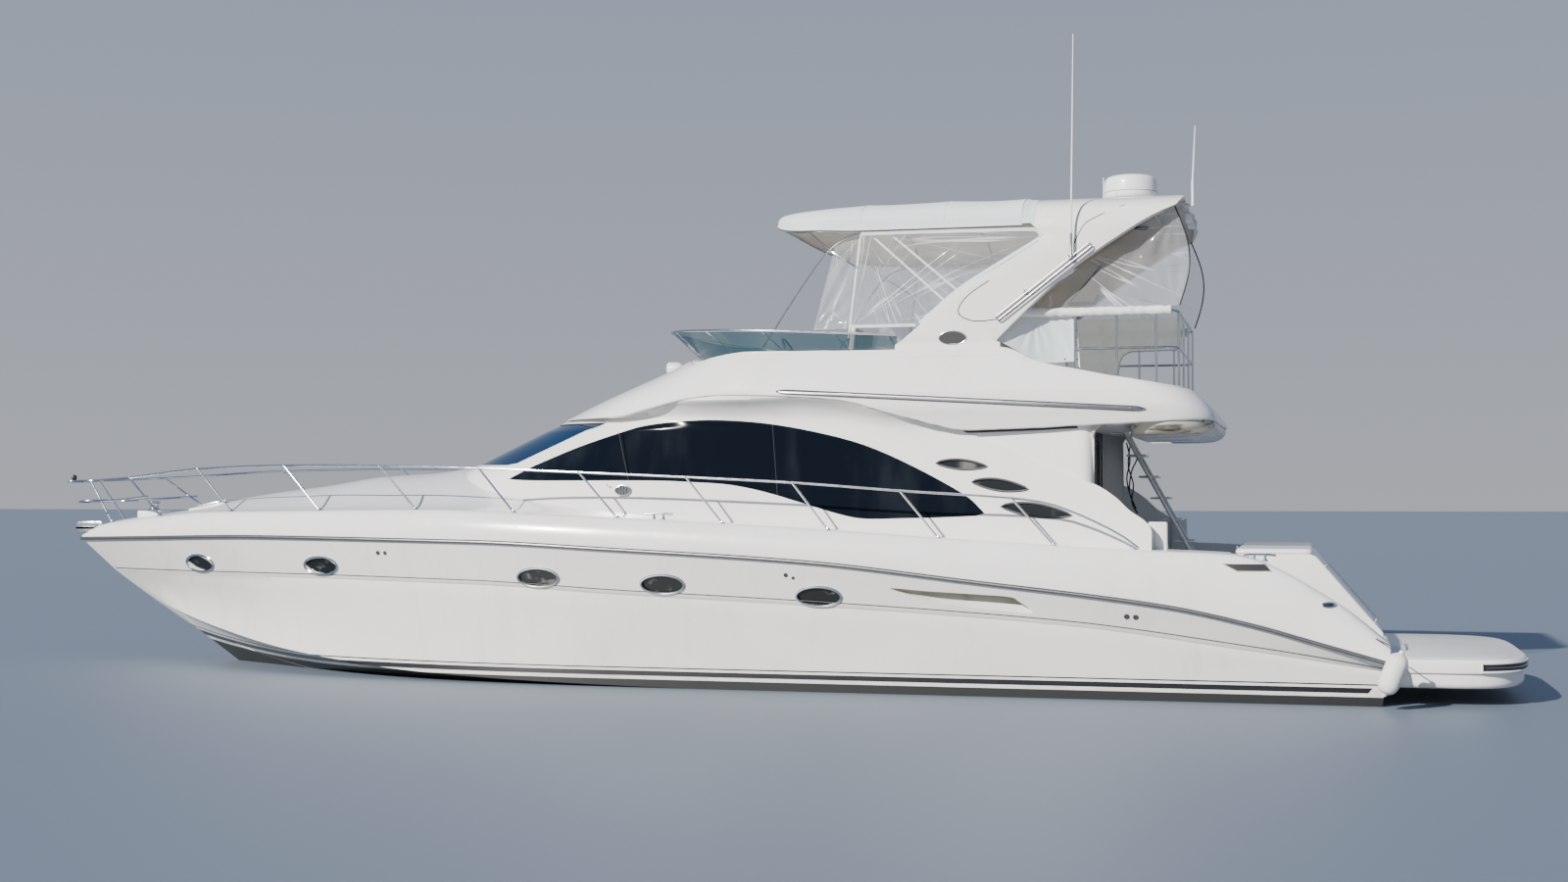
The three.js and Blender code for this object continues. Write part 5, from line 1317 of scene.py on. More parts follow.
topRows = spread(topForm["aft"], topForm["round"], 66) + [
    mix(topForm["round"], topForm["front"], math.sin(a)) for a in spread(0, math.pi / 2, 33)[1:]]
topAngles = spread(-math.pi / 2, math.pi / 2, 73)
topSheet = placed("soft_top_canvas", gridMesh(len(topRows) - 1, len(topAngles) - 1,
                                              lambda i, k: topPoint(topRows[i], topAngles[k])))
thickened(topSheet, topForm["thick"], -1, 60)
dressed(topSheet, canvas, replaces=["soft_top"], sharp=60)
# colours of a faint glow given to cloth: painted light
litCloth = ((0.9, 0.86, 0.74), (0.7, 0.66, 0.54))
# the lining glows faintly: painted light bounced under the top; its stains are its own
topLining = Finish("white_canvas", (0.70, 0.68, 0.60), 0.9, name="beige lining", Emission_Strength=0.1)
liningStain = topLining.grain(4, 5).fade(0.4, 0.8) * 0.5
topLining.marked(liningStain, (0.52, 0.49, 0.41))
topLining.put("Emission Color", topLining.tinted(liningStain, *litCloth))
topSheet.data.materials.append(topLining.material)
for face in topSheet.data.polygons:
    if face.normal.z < -0.25:
        face.material_index = 1

edgeRows = [x for x in topRows if x < topForm["front"] - 0.002]
hemLine = [topPoint(x, -math.pi / 2) for x in edgeRows]
hemLine += [topPoint(x, math.pi / 2) for x in reversed(edgeRows)]
hem = made("soft_top_hem", tubes([hemLine], topForm["hem"]), canvas)
welts = [[topPoint(x, a, 0.001) for a in spread(-1.52, 1.52, 60)] for x in topForm["bows"]]
for side in (-1, 1):
    welts.append([topPoint(x, side * topForm["seam"], 0.001) for x in topRows if x < -1.0])
weltMesh = made("soft_top_welts", tubes(welts, 0.0035), canvas)
# A lap of canvas from the top's aft edge down on to the arch's roof
lapForm = {"fore": -3.835, "aft": -4.0, "lift": 0.004, "thick": 0.003, "rows": 8, "columns": 60,
           "turn": 1.568, "settle": 1.6}
roofLine = [Vector((0, y, min(z, 5.477))) for y, z in archFront(archOuter) if z > 4.9]


def onRoof(spot):
    # the nearest place on the arch's outer section
    places = []
    for a, b in zip(roofLine, roofLine[1:]):
        t = clamp((spot - a).dot(b - a) / (b - a).length_squared)
        places.append(a.lerp(b, t))
    return min(places, key=lambda p: (p - spot).length)


def lapPoint(i, k):
    angle = mix(-lapForm["turn"], lapForm["turn"], k / lapForm["columns"])
    onCanvas = topPoint(lapForm["fore"], angle)
    flatSpot = Vector((0, onCanvas.y, onCanvas.z))
    onArchRoof = onRoof(flatSpot)
    t = clamp(i / lapForm["rows"] * lapForm["settle"])
    spot = flatSpot.lerp(onArchRoof, t)
    out = Vector((0, spot.y * 0.35, 0.9)).normalized() * lapForm["lift"]
    return Vector((mix(lapForm["fore"], lapForm["aft"], i / lapForm["rows"]), spot.y, spot.z)) + out


lap = placed("soft_top_lap", gridMesh(lapForm["rows"], lapForm["columns"], lapPoint))
thickened(lap, lapForm["thick"], 1, 60)
dressed(lap, canvas, sharp=60)
zipRows = [x for x in edgeRows if x < -2.0]
zipTrack = [[topPoint(x, side * math.pi / 2) + Vector((0, -side * 0.002, -0.011)) for x in zipRows]
            for side in (1, -1)]
made("soft_top_zips", tubes(zipTrack, 0.0035), rubBase)

# Frame of the soft top: bows, side rails, poles, crossed braces and long stays
frameForm = {"bow": 0.013, "pole": 0.014, "brace": 0.0125, "railY": 1.64, "railZ": 5.07, "poleX": -2.06,
             "bows": (-2.06, -3.0), "clamp": 0.019}
hemBow = [Vector((x, min(frameForm["railY"], topHalf(x) - 0.045), topEdgeZ(x) - 0.016))
          for x in topRows if frameForm["poleX"] - 0.01 < x < -0.76]


def mirroredLine(line):
    return line + [Vector((p[0], -p[1], p[2])) for p in reversed(line) if p[1] > 1e-6]


pipes = [mirroredLine(hemBow)]
for x in frameForm["bows"]:
    half = splined([(x, 1.64, 5.07), (x, 1.58, 5.22), (x, 1.15, 5.34), (x, 0, 5.375)], 8)
    pipes.append(mirroredLine(half))
whitePoles, braces, clamps = [], [], []
for side in (1, -1):
    railEnd = Vector((frameForm["poleX"], side * frameForm["railY"], frameForm["railZ"]))
    pipes.append([railEnd, Vector((-3.84, railEnd.y, railEnd.z))])
    whitePoles += [[railEnd, (-1.9, side * 1.64, 3.79)],
                   [(-2.13, side * 1.64, 5.07), (-3.09, side * 1.67, 4.195)],
                   [(-2.35, side * 1.64, 5.07), (-3.22, side * 1.67, 4.32)]]
    upperBrace = [(-1.45, side * 1.6, 5.102), (-1.66, side * 1.48, 4.90), (-2.01, side * 1.64, 4.68)]
    lowerBrace = [railEnd, (-1.60, side * 1.47, 4.85), (-0.90, side * 1.60, 3.79)]
    braces += [splined(upperBrace, 6), splined(lowerBrace, 6)]
    for spot in (railEnd, (-2.35, side * 1.64, 5.07), (-3.0, side * 1.64, 5.07), (-2.01, side * 1.64, 4.68),
                 (-1.66, side * 1.49, 4.88)):
        clamps.append(rod(Vector(spot) + Vector((-0.022, 0, 0)), Vector(spot) + Vector((0.022, 0, 0)),
                          frameForm["clamp"], sides=16))
made("soft_top_pipes", gathered(tubes(pipes, frameForm["bow"]), tubes(braces, frameForm["brace"]), *clamps),
     steel, replaces=["soft_top_frame"])
made("soft_top_poles", tubes(whitePoles, frameForm["pole"]), whitePlastic)
print("soft top ready")

# Clear curtains: thin vinyl with creases that run from its corners, shown as bright lines of painted glint,
# inside white bands
vinyl = Finish("clear_vinyl", (0.90, 0.92, 0.94), 0.1, name="clear vinyl", IOR=1.45, Specular_IOR_Level=0.7)
vinylX, vinylY, vinylZ = vinyl.place()
curtainForm = {"y": 1.69, "thick": 0.0015, "fold": 0.006, "band": 0.038, "hem": 0.034, "columns": 110,
               "rows": 60, "footEnds": (-1.935, -4.075), "headEnds": (-2.055, -3.995), "headZ": 5.055,
               "corners": [(-2.06, 0, 5.06), (-1.935, 0, 4.0), (-4.06, 0, 4.95)]}
looseForm = {"foot": [(x, 1.6, 4.0) for x in (-1.5, -1.7, -1.93)],
             "head": [(-1.72, 1.5, 4.93), (-1.88, 1.55, 5.0), (-2.04, 1.6, 5.05)], "fold": 0.02,
             "corners": [(-2.04, 0, 5.05), (-1.5, 0, 4.0)]}
backForm = {"foot": [(x, 1.49, 4.18) for x in spread(-3.98, -5.52, 12)],
            "head": [(x, 1.52, z) for x, z in ((-4.0, 4.22), (-4.41, 4.58), (-5.13, 5.05), (-5.48, 5.24))],
            "fold": 0.02, "corners": [(-5.48, 0, 5.2), (-5.46, 0, 4.15)], "bow": 0.13}
pulls = [{"x": -2.06, "z": 5.06, "rays": 7.0}, {"x": -1.93, "z": 4.0, "rays": 6.0},
         {"x": -4.06, "z": 4.95, "rays": 5.0}]
creasesAndGlints = None
for pull in pulls:
    awayX, awayZ = vinylX - pull["x"], vinylZ - pull["z"]
    turn = vinyl.node("Math", {"operation": "ARCTAN2"}, {0: awayZ, 1: awayX})
    reach = (awayX * awayX + awayZ * awayZ).power(0.5)
    spot = vinyl.node("CombineXYZ", inputs={"X": turn * pull["rays"], "Y": reach * 0.28, "Z": vinylY * 0.4})
    streak = vinyl.node("TexNoise", inputs={"Vector": spot, "Scale": 1.0, "Detail": 1.5, "Roughness": 0.5})
    ridge = (1.0 - abs(streak * 2.0 - 1.0)).fade(0.975, 1.0) * (1.0 - reach.fade(0.5, 1.9))
    creasesAndGlints = ridge if creasesAndGlints is None else creasesAndGlints.most(ridge)
cloudy = vinyl.grain(2.2, 5, (1, 1, 0.6), 0.6).fade(0.45, 0.8)
# the creases make the vinyl more opaque and white: painted glints; they also roughen and bump it there
vinyl.put("Alpha", 0.07 + creasesAndGlints * 0.4 + cloudy * 0.05)
vinyl.put("Roughness", 0.05 + creasesAndGlints * 0.25 + cloudy * 0.06)
vinyl.relief(creasesAndGlints * 0.5 + vinyl.grain(1.3, 3), 0.006)
curtainFoot = smoothLine((-4.08, 4.958), (-4.05, 4.906), (-3.194, 4.398), (-2.712, 4.0), (-1.935, 4.0))


def crumpled(spot, corners, fold):
    # folds that fan out from the corners where the sheet is pulled
    push = 0.0
    for corner in corners:
        away = spot - Vector(corner)
        turn = math.atan2(away.z, away.x)
        push += math.sin(turn * 17 + 1.3 * noise.noise(spot * 1.7)) * math.exp(-away.length * 0.9)
    return fold * (push + 1.4 * noise.noise(spot * 2.3))


def along(line, share):
    # the point at a share of a list of points
    at = share * (len(line) - 1)
    k = min(int(at), len(line) - 2)
    return Vector(line[k]).lerp(Vector(line[k + 1]), at - k)


def hangingSheet(name, foot, head, side, columns, rows, fold, corners, bow=0.0):
    # foot and head: lists of (x, y, z); the sheet is ruled between them and creased
    def place(i, k):
        u, v = i / columns, k / rows
        spot = along(foot, u).lerp(along(head, u), v)
        spot.x -= bow * math.sin(math.pi * v) * u ** 3
        loose = math.sin(math.pi * clamp(v, 0.02, 0.98)) ** 0.5
        loose *= math.sin(math.pi * clamp(u, 0.03, 0.97)) ** 0.5
        push = crumpled(Vector((spot.x, 0, spot.z)), corners, fold)
        return spot + Vector((0.25 * side, side, 0)) * push * loose

    return thickened(placed(name, gridMesh(columns, rows, place)), curtainForm["thick"], 0, 80)


def ribbon(path, width, y0, y1):
    # a flat strip in a side plane, its outer edge on a path of (x, z)
    loops = []
    for i, (x, z) in enumerate(path):
        (ax, az), (bx, bz) = path[max(i - 1, 0)], path[min(i + 1, len(path) - 1)]
        reach = math.hypot(bx - ax, bz - az)
        inX, inZ = x + (bz - az) / reach * width, z - (bx - ax) / reach * width
        loops.append([Vector((x, y0, z)), Vector((x, y1, z)), Vector((inX, y1, inZ)), Vector((inX, y0, inZ))])
    return loft(loops)


bandPath = flat(splined([(-2.07, 5.062), (-2.6, 5.062), (-3.3, 5.055), (-3.93, 5.047), (-4.04, 5.02),
                         (-4.075, 4.955), (-4.02, 4.89), (-3.6, 4.645), (-3.2, 4.402), (-2.95, 4.2),
                         (-2.74, 4.025)], 6))
hemPath = flat(splined([(-2.68, 4.0), (-2.3, 3.998), (-1.94, 4.0)], 4))


def toSide(points, side):
    return [(x, side * y, z) for x, y, z in points]


for word, side in boatSides:
    y = side * curtainForm["y"]
    foot = [(x, y, curtainFoot(x)) for x in spread(*curtainForm["footEnds"], 40)]
    head = [(x, y, curtainForm["headZ"]) for x in spread(*curtainForm["headEnds"], 40)]
    panel = hangingSheet("curtain_" + word, foot, head, side, curtainForm["columns"], curtainForm["rows"],
                         curtainForm["fold"], curtainForm["corners"])
    dressed(panel, vinyl, replaces=["side_curtain_" + word], sharp=80)
    outer, inner = (y + side * 0.004, y + side * 0.0015)
    band = made("curtain_band_" + word, gathered(
        ribbon([(x, z) for x, z in bandPath], -curtainForm["band"], outer, inner),
        ribbon(hemPath, -curtainForm["hem"], outer, inner)), canvas)
    loose = hangingSheet("loose_curtain_" + word, toSide(looseForm["foot"], side),
                         toSide(looseForm["head"], side), side, 26, 50, looseForm["fold"],
                         looseForm["corners"])
    dressed(loose, vinyl, sharp=80)
    backFoot, backHead = toSide(backForm["foot"], side), toSide(backForm["head"], side)
    back = hangingSheet("aft_curtain_" + word, backFoot, backHead, side, 60, 40, backForm["fold"],
                        backForm["corners"], backForm["bow"])
    dressed(back, vinyl, sharp=80)
    backEdge = made("aft_curtain_edge_" + word, tubes([[
        Vector(backFoot[-1]).lerp(Vector(backHead[-1]), v)
        - Vector((backForm["bow"] * math.sin(math.pi * v), 0, 0))
        for v in spread(0, 1, 20)]], 0.008), blackTrim)
print("curtains ready")

# Deck rails: pulpit, bow rails and side rails on leaning stanchions
railForm = {"tube": 0.0135, "post": 0.012}
railTopZ = smoothLine((-5.14, 1.585), (-4.96, 1.717), (-4.71, 1.85), (-4.44, 1.97), (-4.17, 2.06),
                      (-3.81, 2.11), (-2.61, 2.19), (-1.42, 2.28), (-0.21, 2.343), (1.05, 2.40), (2.3, 2.452),
                      (3.65, 2.489), (5.1, 2.505), (6.5, 2.48), (8.0, 2.38), (9.1, 2.33))
stanchions = {"foot": (-4.25, -3.02, -1.81, -0.62, 0.61, 1.87, 3.16, 4.56, 6.02, 7.38, 8.42),
              "head": (-3.81, -2.61, -1.42, -0.21, 1.05, 2.30, 3.65, 5.10, 6.60, 8.01, 8.80)}


def railSpot(x):
    return Vector((x, deckEdgeY(x) + 0.02 * clamp((x - 5.0) / 3.0), railTopZ(x)))


sideRun = [railSpot(x) for x in spread(-5.13, 7.7, 90)]
bowEnd = splined([railSpot(7.7), railSpot(8.1), railSpot(8.5), railSpot(8.78), Vector((9.05, 0.2, 2.335)),
                  Vector((9.12, 0, 2.33))], 8)[1:]
railLine = sideRun + bowEnd
posts, flanges = [], []
for footX, x in zip(stanchions["foot"], stanchions["head"]):
    footY = deckEdgeY(footX) - 0.045
    foot = Vector((footX, footY, deckTopZ(footX, footY) - 0.004))
    head = railSpot(x)
    posts.append([foot, foot.lerp(head, 0.5), head])
    flanges += [spun([(0, 0.0), (0.04, 0.0), (0.04, 0.004), (0.018, 0.014), (0.013, 0.03), (0, 0.03)], foot,
                     (head - foot) * 0.35 + Vector((0, 0, 0.6)), 20),
                ball(head, railForm["tube"] * 1.25, detail=6)]
lowRail = [Vector((x, railSpot(x).y * 0.985 - 0.01, mix(deckTopZ(x, deckEdgeY(x)), railTopZ(x), 0.5)))
           for x in spread(7.62, 8.3, 9)]
lowRail += splined([lowRail[-1], Vector((8.66, 0.42, 2.075)), Vector((8.93, 0.16, 2.06)),
                    Vector((8.98, 0, 2.06))], 6)[1:]
made("deck_rail", tubes([roundBow(railLine), roundBow(lowRail)], railForm["tube"]), steel, replaces=[
    "side_rail_port", "side_rail_starboard", "bow_rail_port", "bow_rail_starboard", "pulpit"])
made("deck_rail_posts", bothSides(gathered(tubes(posts, railForm["post"]), *flanges)), steel)
made("pulpit_light", gathered(ball((9.12, 0, 2.385), 0.034, (1, 1, 1.2), 8),
                              rod((9.12, 0, 2.33), (9.12, 0, 2.37), 0.02)), blackTrim)
print("rails ready")

# Aft rail of the flybridge, its top padded, with weather cloths laced inside: the starboard one is torn
aftForm = {"x": -5.5, "half": 1.48, "foot": 3.31, "top": 4.13, "mid": 3.735, "fore": -3.96, "corner": 0.16,
           "tube": 0.0135, "wrap": 0.05, "inset": 0.026}


def aftLoop(z, fore):
    x, half, r = aftForm["x"], aftForm["half"], aftForm["corner"]
    port = [Vector((fore, half, z))]
    port += [Vector((x + r * (1 - math.sin(a)), half - r * (1 - math.cos(a)), z))
             for a in spread(0, math.pi / 2, 9)]
    return port + [Vector((p.x, -p.y, p.z)) for p in reversed(port)]


aftPosts = []
for x in (-3.96, -4.4, -4.85, -5.27):
    aftPosts.append([Vector((x, aftForm["half"], levels["flyFloor"])),
                     Vector((x, aftForm["half"], aftForm["top"]))])
for y in (1.32, 0.45):
    aftPosts.append([Vector((aftForm["x"], y, aftForm["foot"])), Vector((aftForm["x"], y, aftForm["top"]))])
made("aft_rail_tubes", gathered(tubes([aftLoop(aftForm["top"], aftForm["fore"]),
                                       aftLoop(aftForm["mid"], -4.4)], aftForm["tube"]),
                                bothSides(tubes(aftPosts, aftForm["tube"]))), steel, replaces=["aft_rail"])
wrapLine = [Vector((x, mix(aftForm["half"], 1.68, clamp((x + 4.3) / 0.6) ** 1.5), aftForm["top"] + 0.004))
            for x in spread(-3.72, -5.43, 90)]
wrapMesh = tubes([wrapLine], aftForm["wrap"], 5)
for vert in wrapMesh.verts:
    away = vert.co - min(wrapLine, key=lambda p: abs(p.x - vert.co.x))
    vert.co += away * (0.14 * noise.noise(vert.co * 14) + 0.05 * math.sin(vert.co.x * 60))
made("aft_rail_wrap", bothSides(wrapMesh), canvas)
clothY = aftForm["half"] - aftForm["inset"]


def clothEdgeY(x, side):
    # the port cloth bears out to the leg's aft edge, where it is laced
    return mix(clothY, 1.70, clamp((x + 4.2) / 0.64) ** 1.3) if side > 0 else clothY - 0.035


# the torn cloth glows faintly: painted light for sun shining through it; its stains are its own
oldCloth = Finish("white_canvas", (0.82, 0.80, 0.73), 0.8, name="weathered cloth", Subsurface_Weight=0.7,
                  Subsurface_Scale=0.05, Emission_Strength=0.16)
clothStain = oldCloth.grain(4, 6, (1, 1, 1), 0.6).fade(0.42, 0.8) * 0.6
oldCloth.marked(clothStain, (0.58, 0.55, 0.46))
oldCloth.put("Emission Color", oldCloth.tinted(clothStain, *litCloth))
oldCloth.relief(oldCloth.grain(5, 5) * 1.5, 0.006)
tornFoot = smoothLine((-5.36, 3.915), (-4.78, 3.905), (-4.68, 3.87), (-4.62, 3.78), (-4.585, 3.57),
                      (-3.98, 3.56))
clothForms = {
    "port": {"foot": [(-3.56, 3.85), (-3.79, 3.72), (-3.99, 3.59), (-4.2, 3.59), (-4.39, 3.60),
                      (-4.45, 3.53)],
             "head": [(-3.56, 4.09), (-3.79, 4.10), (-3.97, 4.10), (-4.1, 4.10), (-4.3, 4.10), (-4.41, 4.10)],
             "flat": (0.9, 0.58), "area": 0.40, "finish": canvas, "edge": 4},
    "starboard": {"foot": [(x, tornFoot(x) + 0.012 * noise.noise(Vector((x * 34, 0, 0))) * (x < -4.57))
                           for x in spread(-3.98, -5.36, 90)],
                  "head": [(x, 4.315) for x in spread(-3.98, -5.36, 90)],
                  "flat": (1.39, 0.77), "area": 0.80, "finish": oldCloth, "edge": 88},
}
for word, side in boatSides:
    form = clothForms[word]
    foot, head = [[(x, side * clothEdgeY(x, side), z) for x, z in form[key]] for key in ("foot", "head")]
    cloth = hangingSheet("weather_cloth_panel_" + word, foot, head, side, 90, 40, 0.006,
                         [(-3.97, 0, 4.1), (-4.42, 0, 3.5)])
    dressed(cloth, form["finish"], replaces=["weather_cloth_" + word], sharp=80)
    laces = []
    for x in spread(-3.65 if side > 0 else -4.02, foot[-1][0] + 0.04, 9 if side > 0 else 16):
        y = clothEdgeY(x, side)
        laces.append([Vector((x, side * y, 4.085)), Vector((x - 0.012, side * (y + 0.03), 4.105)),
                      Vector((x - 0.02, side * (y + 0.03), 4.14))])
    frayed = [Vector(p) + Vector((0, side * 0.002, 0.003)) for p in foot if side < 0 and p[0] < -4.57]
    seams = [[Vector(p) for p in foot[:form["edge"]]], [Vector(foot[-1]), Vector(head[-1])]]
    trim = made("cloth_trim_" + word, gathered(tubes(laces, 0.0028), tubes(seams, 0.0045),
                                               *([tubes([frayed], 0.009)] if frayed else [])), canvas)
eyelets = []
for x, z in ((-4.415, 4.02), (-4.42, 3.94), (-4.425, 3.86), (-4.428, 3.78), (-4.432, 3.62), (-4.3, 3.625),
             (-4.15, 3.625), (-4.02, 3.63), (-3.95, 4.07), (-4.1, 4.075), (-4.25, 4.075)):
    eyelets.append(spun([(0.006, 0), (0.011, 0), (0.011, 0.003), (0.006, 0.003)],
                        (x + 0.012, clothY + 0.003, z), (0, 1, 0), 14))
made("cloth_eyelets", gathered(*eyelets), steel)
print("aft rail ready")

# Cushions: each swells under its cover in a short cloth run, then gets its piping
padForm = {"pressure": 4.0, "frames": 20, "piping": 0.0045}
cover = Finish("upholstery", (0.70, 0.68, 0.62), 0.55, name="cushion vinyl", Sheen_Weight=0.15)
cover.marked(cover.grain(5, 5).fade(0.45, 0.85) * 0.5, (0.52, 0.49, 0.42))
cover.put("Roughness", 0.45 + cover.grain(30, 4) * 0.25)
cover.relief(cover.grain(260, 2) * 0.3 + cover.grain(7, 3), 0.0015)


def plumped(name, shapes, voxel, cap, replaces=(), finish=cover):
    piece = placed(name, gathered(*shapes))
    remesh = piece.modifiers.new("remesh", "REMESH")
    remesh.mode = "VOXEL"
    remesh.voxel_size = voxel
    baked(piece, 60)
    rest = [vert.co.copy() for vert in piece.data.vertices]
    cloth = piece.modifiers.new("cloth", "CLOTH")
    cloth.settings.use_pressure = True
    cloth.settings.uniform_pressure_force = padForm["pressure"]
    cloth.settings.effector_weights.gravity = 0
    cloth.point_cache.frame_start = 1
    cloth.point_cache.frame_end = padForm["frames"]
    for step in range(1, padForm["frames"] + 1):
        bpy.context.scene.frame_set(step)
    shown = piece.evaluated_get(bpy.context.evaluated_depsgraph_get())
    moved = [vert.co - start for vert, start in zip(shown.data.vertices, rest)]
    piece.modifiers.clear()
    bpy.context.scene.frame_set(1)
    for vert, start, move in zip(piece.data.vertices, rest, moved):
        if move.length > cap:
            move = move * (cap / move.length)
        vert.co = start + Vector((move.x, move.y, max(move.z, -0.001)))
    finer = piece.modifiers.new("finer", "SUBSURF")
    finer.levels = finer.render_levels = 1
    baked(piece, 60)
    dressed(piece, finish, replaces=replaces, sharp=60)
    return piece


def piping(name, piece, loops, finish=cover):
    # welted seams laid on the swollen surface
    surface = BVHTree.FromObject(piece, bpy.context.evaluated_depsgraph_get())
    lines = []
    for loop in loops:
        line = [surface.find_nearest(Vector(p))[0] for p in loop]
        lines.append(closed(line))
    made(name, tubes(lines, padForm["piping"], 2), finish)


def rimLoop(low, high, radius, z):
    return [(x, y, z) for x, y in roundedBox(low, high, radius, 5)]


def cushionRow(low, high, count, axis, gap=0.006):
    # boxes side by side along an axis
    boxes = []
    for i in range(count):
        a, b = list(low), list(high)
        a[axis] = mix(low[axis], high[axis], i / count) + gap
        b[axis] = mix(low[axis], high[axis], (i + 1) / count) - gap
        boxes.append((a, b))
    return boxes


def cushionSet(name, boxes, voxel, cap, replaces=(), bevel=0.03):
    piece = plumped(name, [block(a, b, bevel, 3) for a, b in boxes], voxel, cap, replaces)
    loops = []
    for a, b in boxes:
        loops.append(rimLoop((a[0], a[1]), (b[0], b[1]), 0.03, b[2] - 0.012))
    piping(name + "_piping", piece, loops)
    return piece


# Saloon: aft wall with its door frame, a fixed pane, a sliding pane, dashboard and sofa
saloonForm = {"aft": -4.4195, "fore": -2.95, "half": 1.62, "radius": 0.26, "wall": 0.06, "foot": 1.0505,
              "head": 3.0295, "doorHalf": 1.15, "doorLow": 1.09, "doorHigh": 2.85, "trim": 0.045}
wallOuter = roundedBox((saloonForm["aft"], -saloonForm["half"]), (-1.0, saloonForm["half"]),
                       saloonForm["radius"], 12)
innerHalf = saloonForm["half"] - saloonForm["wall"]
wallInner = roundedBox((saloonForm["aft"] + saloonForm["wall"], -innerHalf),
                       (-1.0 - saloonForm["wall"], innerHalf), saloonForm["radius"] - saloonForm["wall"], 12)
wall = placed("saloon_wall_moulding", planCut(wallOuter, saloonForm["foot"], saloonForm["head"]))
carved(wall, planCut(wallInner, saloonForm["foot"] - 1, saloonForm["head"] + 1),
       block((saloonForm["fore"], -far, -far), (far, far, far)),
       block((-5, -saloonForm["doorHalf"], saloonForm["doorLow"]), (-4.2, saloonForm["doorHalf"],
                                                                  saloonForm["doorHigh"])))
dressed(wall, gelcoat, replaces=["saloon_wall"])
trimOut, trimHigh = saloonForm["doorHalf"] + saloonForm["trim"], saloonForm["doorHigh"] + saloonForm["trim"]
trimX = (saloonForm["aft"] - 0.006, saloonForm["aft"] + 0.012)
trimSpans = [((-trimOut, saloonForm["doorHigh"]), (trimOut, trimHigh)),
             ((-trimOut, saloonForm["foot"]), (-saloonForm["doorHalf"], trimHigh - 0.002)),
             ((saloonForm["doorHalf"], saloonForm["foot"]), (trimOut, trimHigh - 0.002))]
doorTrim = [block((trimX[0], *a), (trimX[1], *b), 0.003, 2) for a, b in trimSpans]
made("saloon_door_trim", gathered(*doorTrim), blackTrim)
pane("saloon_pane", (-4.40, -1.146, 1.094), (-4.376, 0.05, 2.846), 0.05, "root")
pane("saloon_door", (-4.364, -0.05, 1.097), (-4.340, 1.143, 2.843), 0.055, "saloon_door")
pullForm = {"x": -4.352, "y": 1.115, "low": 1.9, "high": 2.15, "radius": 0.0135}
pullEnds = [(pullForm["x"], pullForm["y"], pullForm[key]) for key in ("low", "high")]
made("saloon_door_pull", rod(*pullEnds, pullForm["radius"]), steel, "saloon_door")
charcoal = Finish("black_plastic", (0.045, 0.045, 0.048), 0.6, name="dash vinyl")
charcoal.put("Roughness", 0.5 + charcoal.grain(60, 4) * 0.25)
charcoal.relief(charcoal.grain(300, 2), 0.0006)
dashForm = {"low": (1.25, -1.2), "high": (1.86, 1.2), "corner": 0.12, "top": 2.15, "roll": 0.04}
dashPlan = roundedBox(dashForm["low"], dashForm["high"], dashForm["corner"], 8)
made("saloon_dash_top", plinth(dashPlan, saloonForm["foot"], dashForm["top"], dashForm["roll"]), charcoal,
     replaces=["saloon_dash"])
wood = Finish("gelcoat", (0.20, 0.10, 0.05), 0.35, name="sofa base wood")
wood.marked(wood.grain(3, 5, (1, 14, 14)), (0.30, 0.17, 0.09))
sofa = {"aft": -2.7, "fore": -0.7, "base": ((-1.56, saloonForm["foot"]), (-0.92, 1.36)),
        "seats": ((-1.39, 1.361), (-0.905, 1.47)), "backs": ((-1.555, 1.375), (-1.40, 1.84)), "count": 3,
        "voxel": 0.024, "swell": {"seats": 0.014, "backs": 0.012}}
made("saloon_sofa_base", block((sofa["aft"], *sofa["base"][0]), (sofa["fore"], *sofa["base"][1]), 0.01), wood,
     replaces=["saloon_sofa"])
for key in ("seats", "backs"):
    row = cushionRow((sofa["aft"], *sofa[key][0]), (sofa["fore"], *sofa[key][1]), sofa["count"], 0)
    cushionSet("saloon_sofa_" + key, row, sofa["voxel"], sofa["swell"][key])
print("saloon ready")

# Cockpit: locker with its lid, gate, seat, stairs and the hatch over the engines
lockerSide = [(-6.08, 0.4805), (-6.08, 1.52), (-6.86, 1.52), (-6.92, 1.49), (-6.97, 1.43), (-7.59, 0.70),
              (-7.59, 0.4805)]
locker = placed("transom_locker_moulding", eased(sideCut(lockerSide, -1.925, 1.3795), 0.022, 4))
carved(locker, block((-6.78, -1.825, 1.0), (-6.18, 1.25, far), 0.02))
dressed(locker, gelcoat, replaces=["transom_locker"])
lidTop = 1.572
lid = rimmed(plinth(roundedBox((-6.88, -1.92), (-6.08, 1.355), 0.09, 8), 1.523, lidTop, 0.034), 1.523, 0.008)
made("locker_lid_moulding", lid, gelcoat, "locker_lid", replaces=["locker_lid"])
made("locker_lid_latches", gathered(*[block((-6.083, y - 0.03, 1.535), (-6.072, y + 0.03, 1.575), 0.004, 2)
                                      for y in (-1.2, 0.6)]), steel, "locker_lid")
slope = Vector((-7.59 + 6.96, 0, 0.70 - 1.44)).normalized()
lift = Vector((slope.z, 0, -slope.x)) * 0.045
slopeRails = []
for y in (1.345, 1.30):
    a, b = Vector((-7.0, y, 1.393)), Vector((-7.5, y, 0.806))
    slopeRails.append(splined([a, a + lift * 0.8 + slope * 0.015, a + lift + slope * 0.05,
                               b + lift - slope * 0.05, b + lift * 0.8 - slope * 0.015, b], 6))
made("locker_slope_rails", tubes(slopeRails, 0.0105), steel)

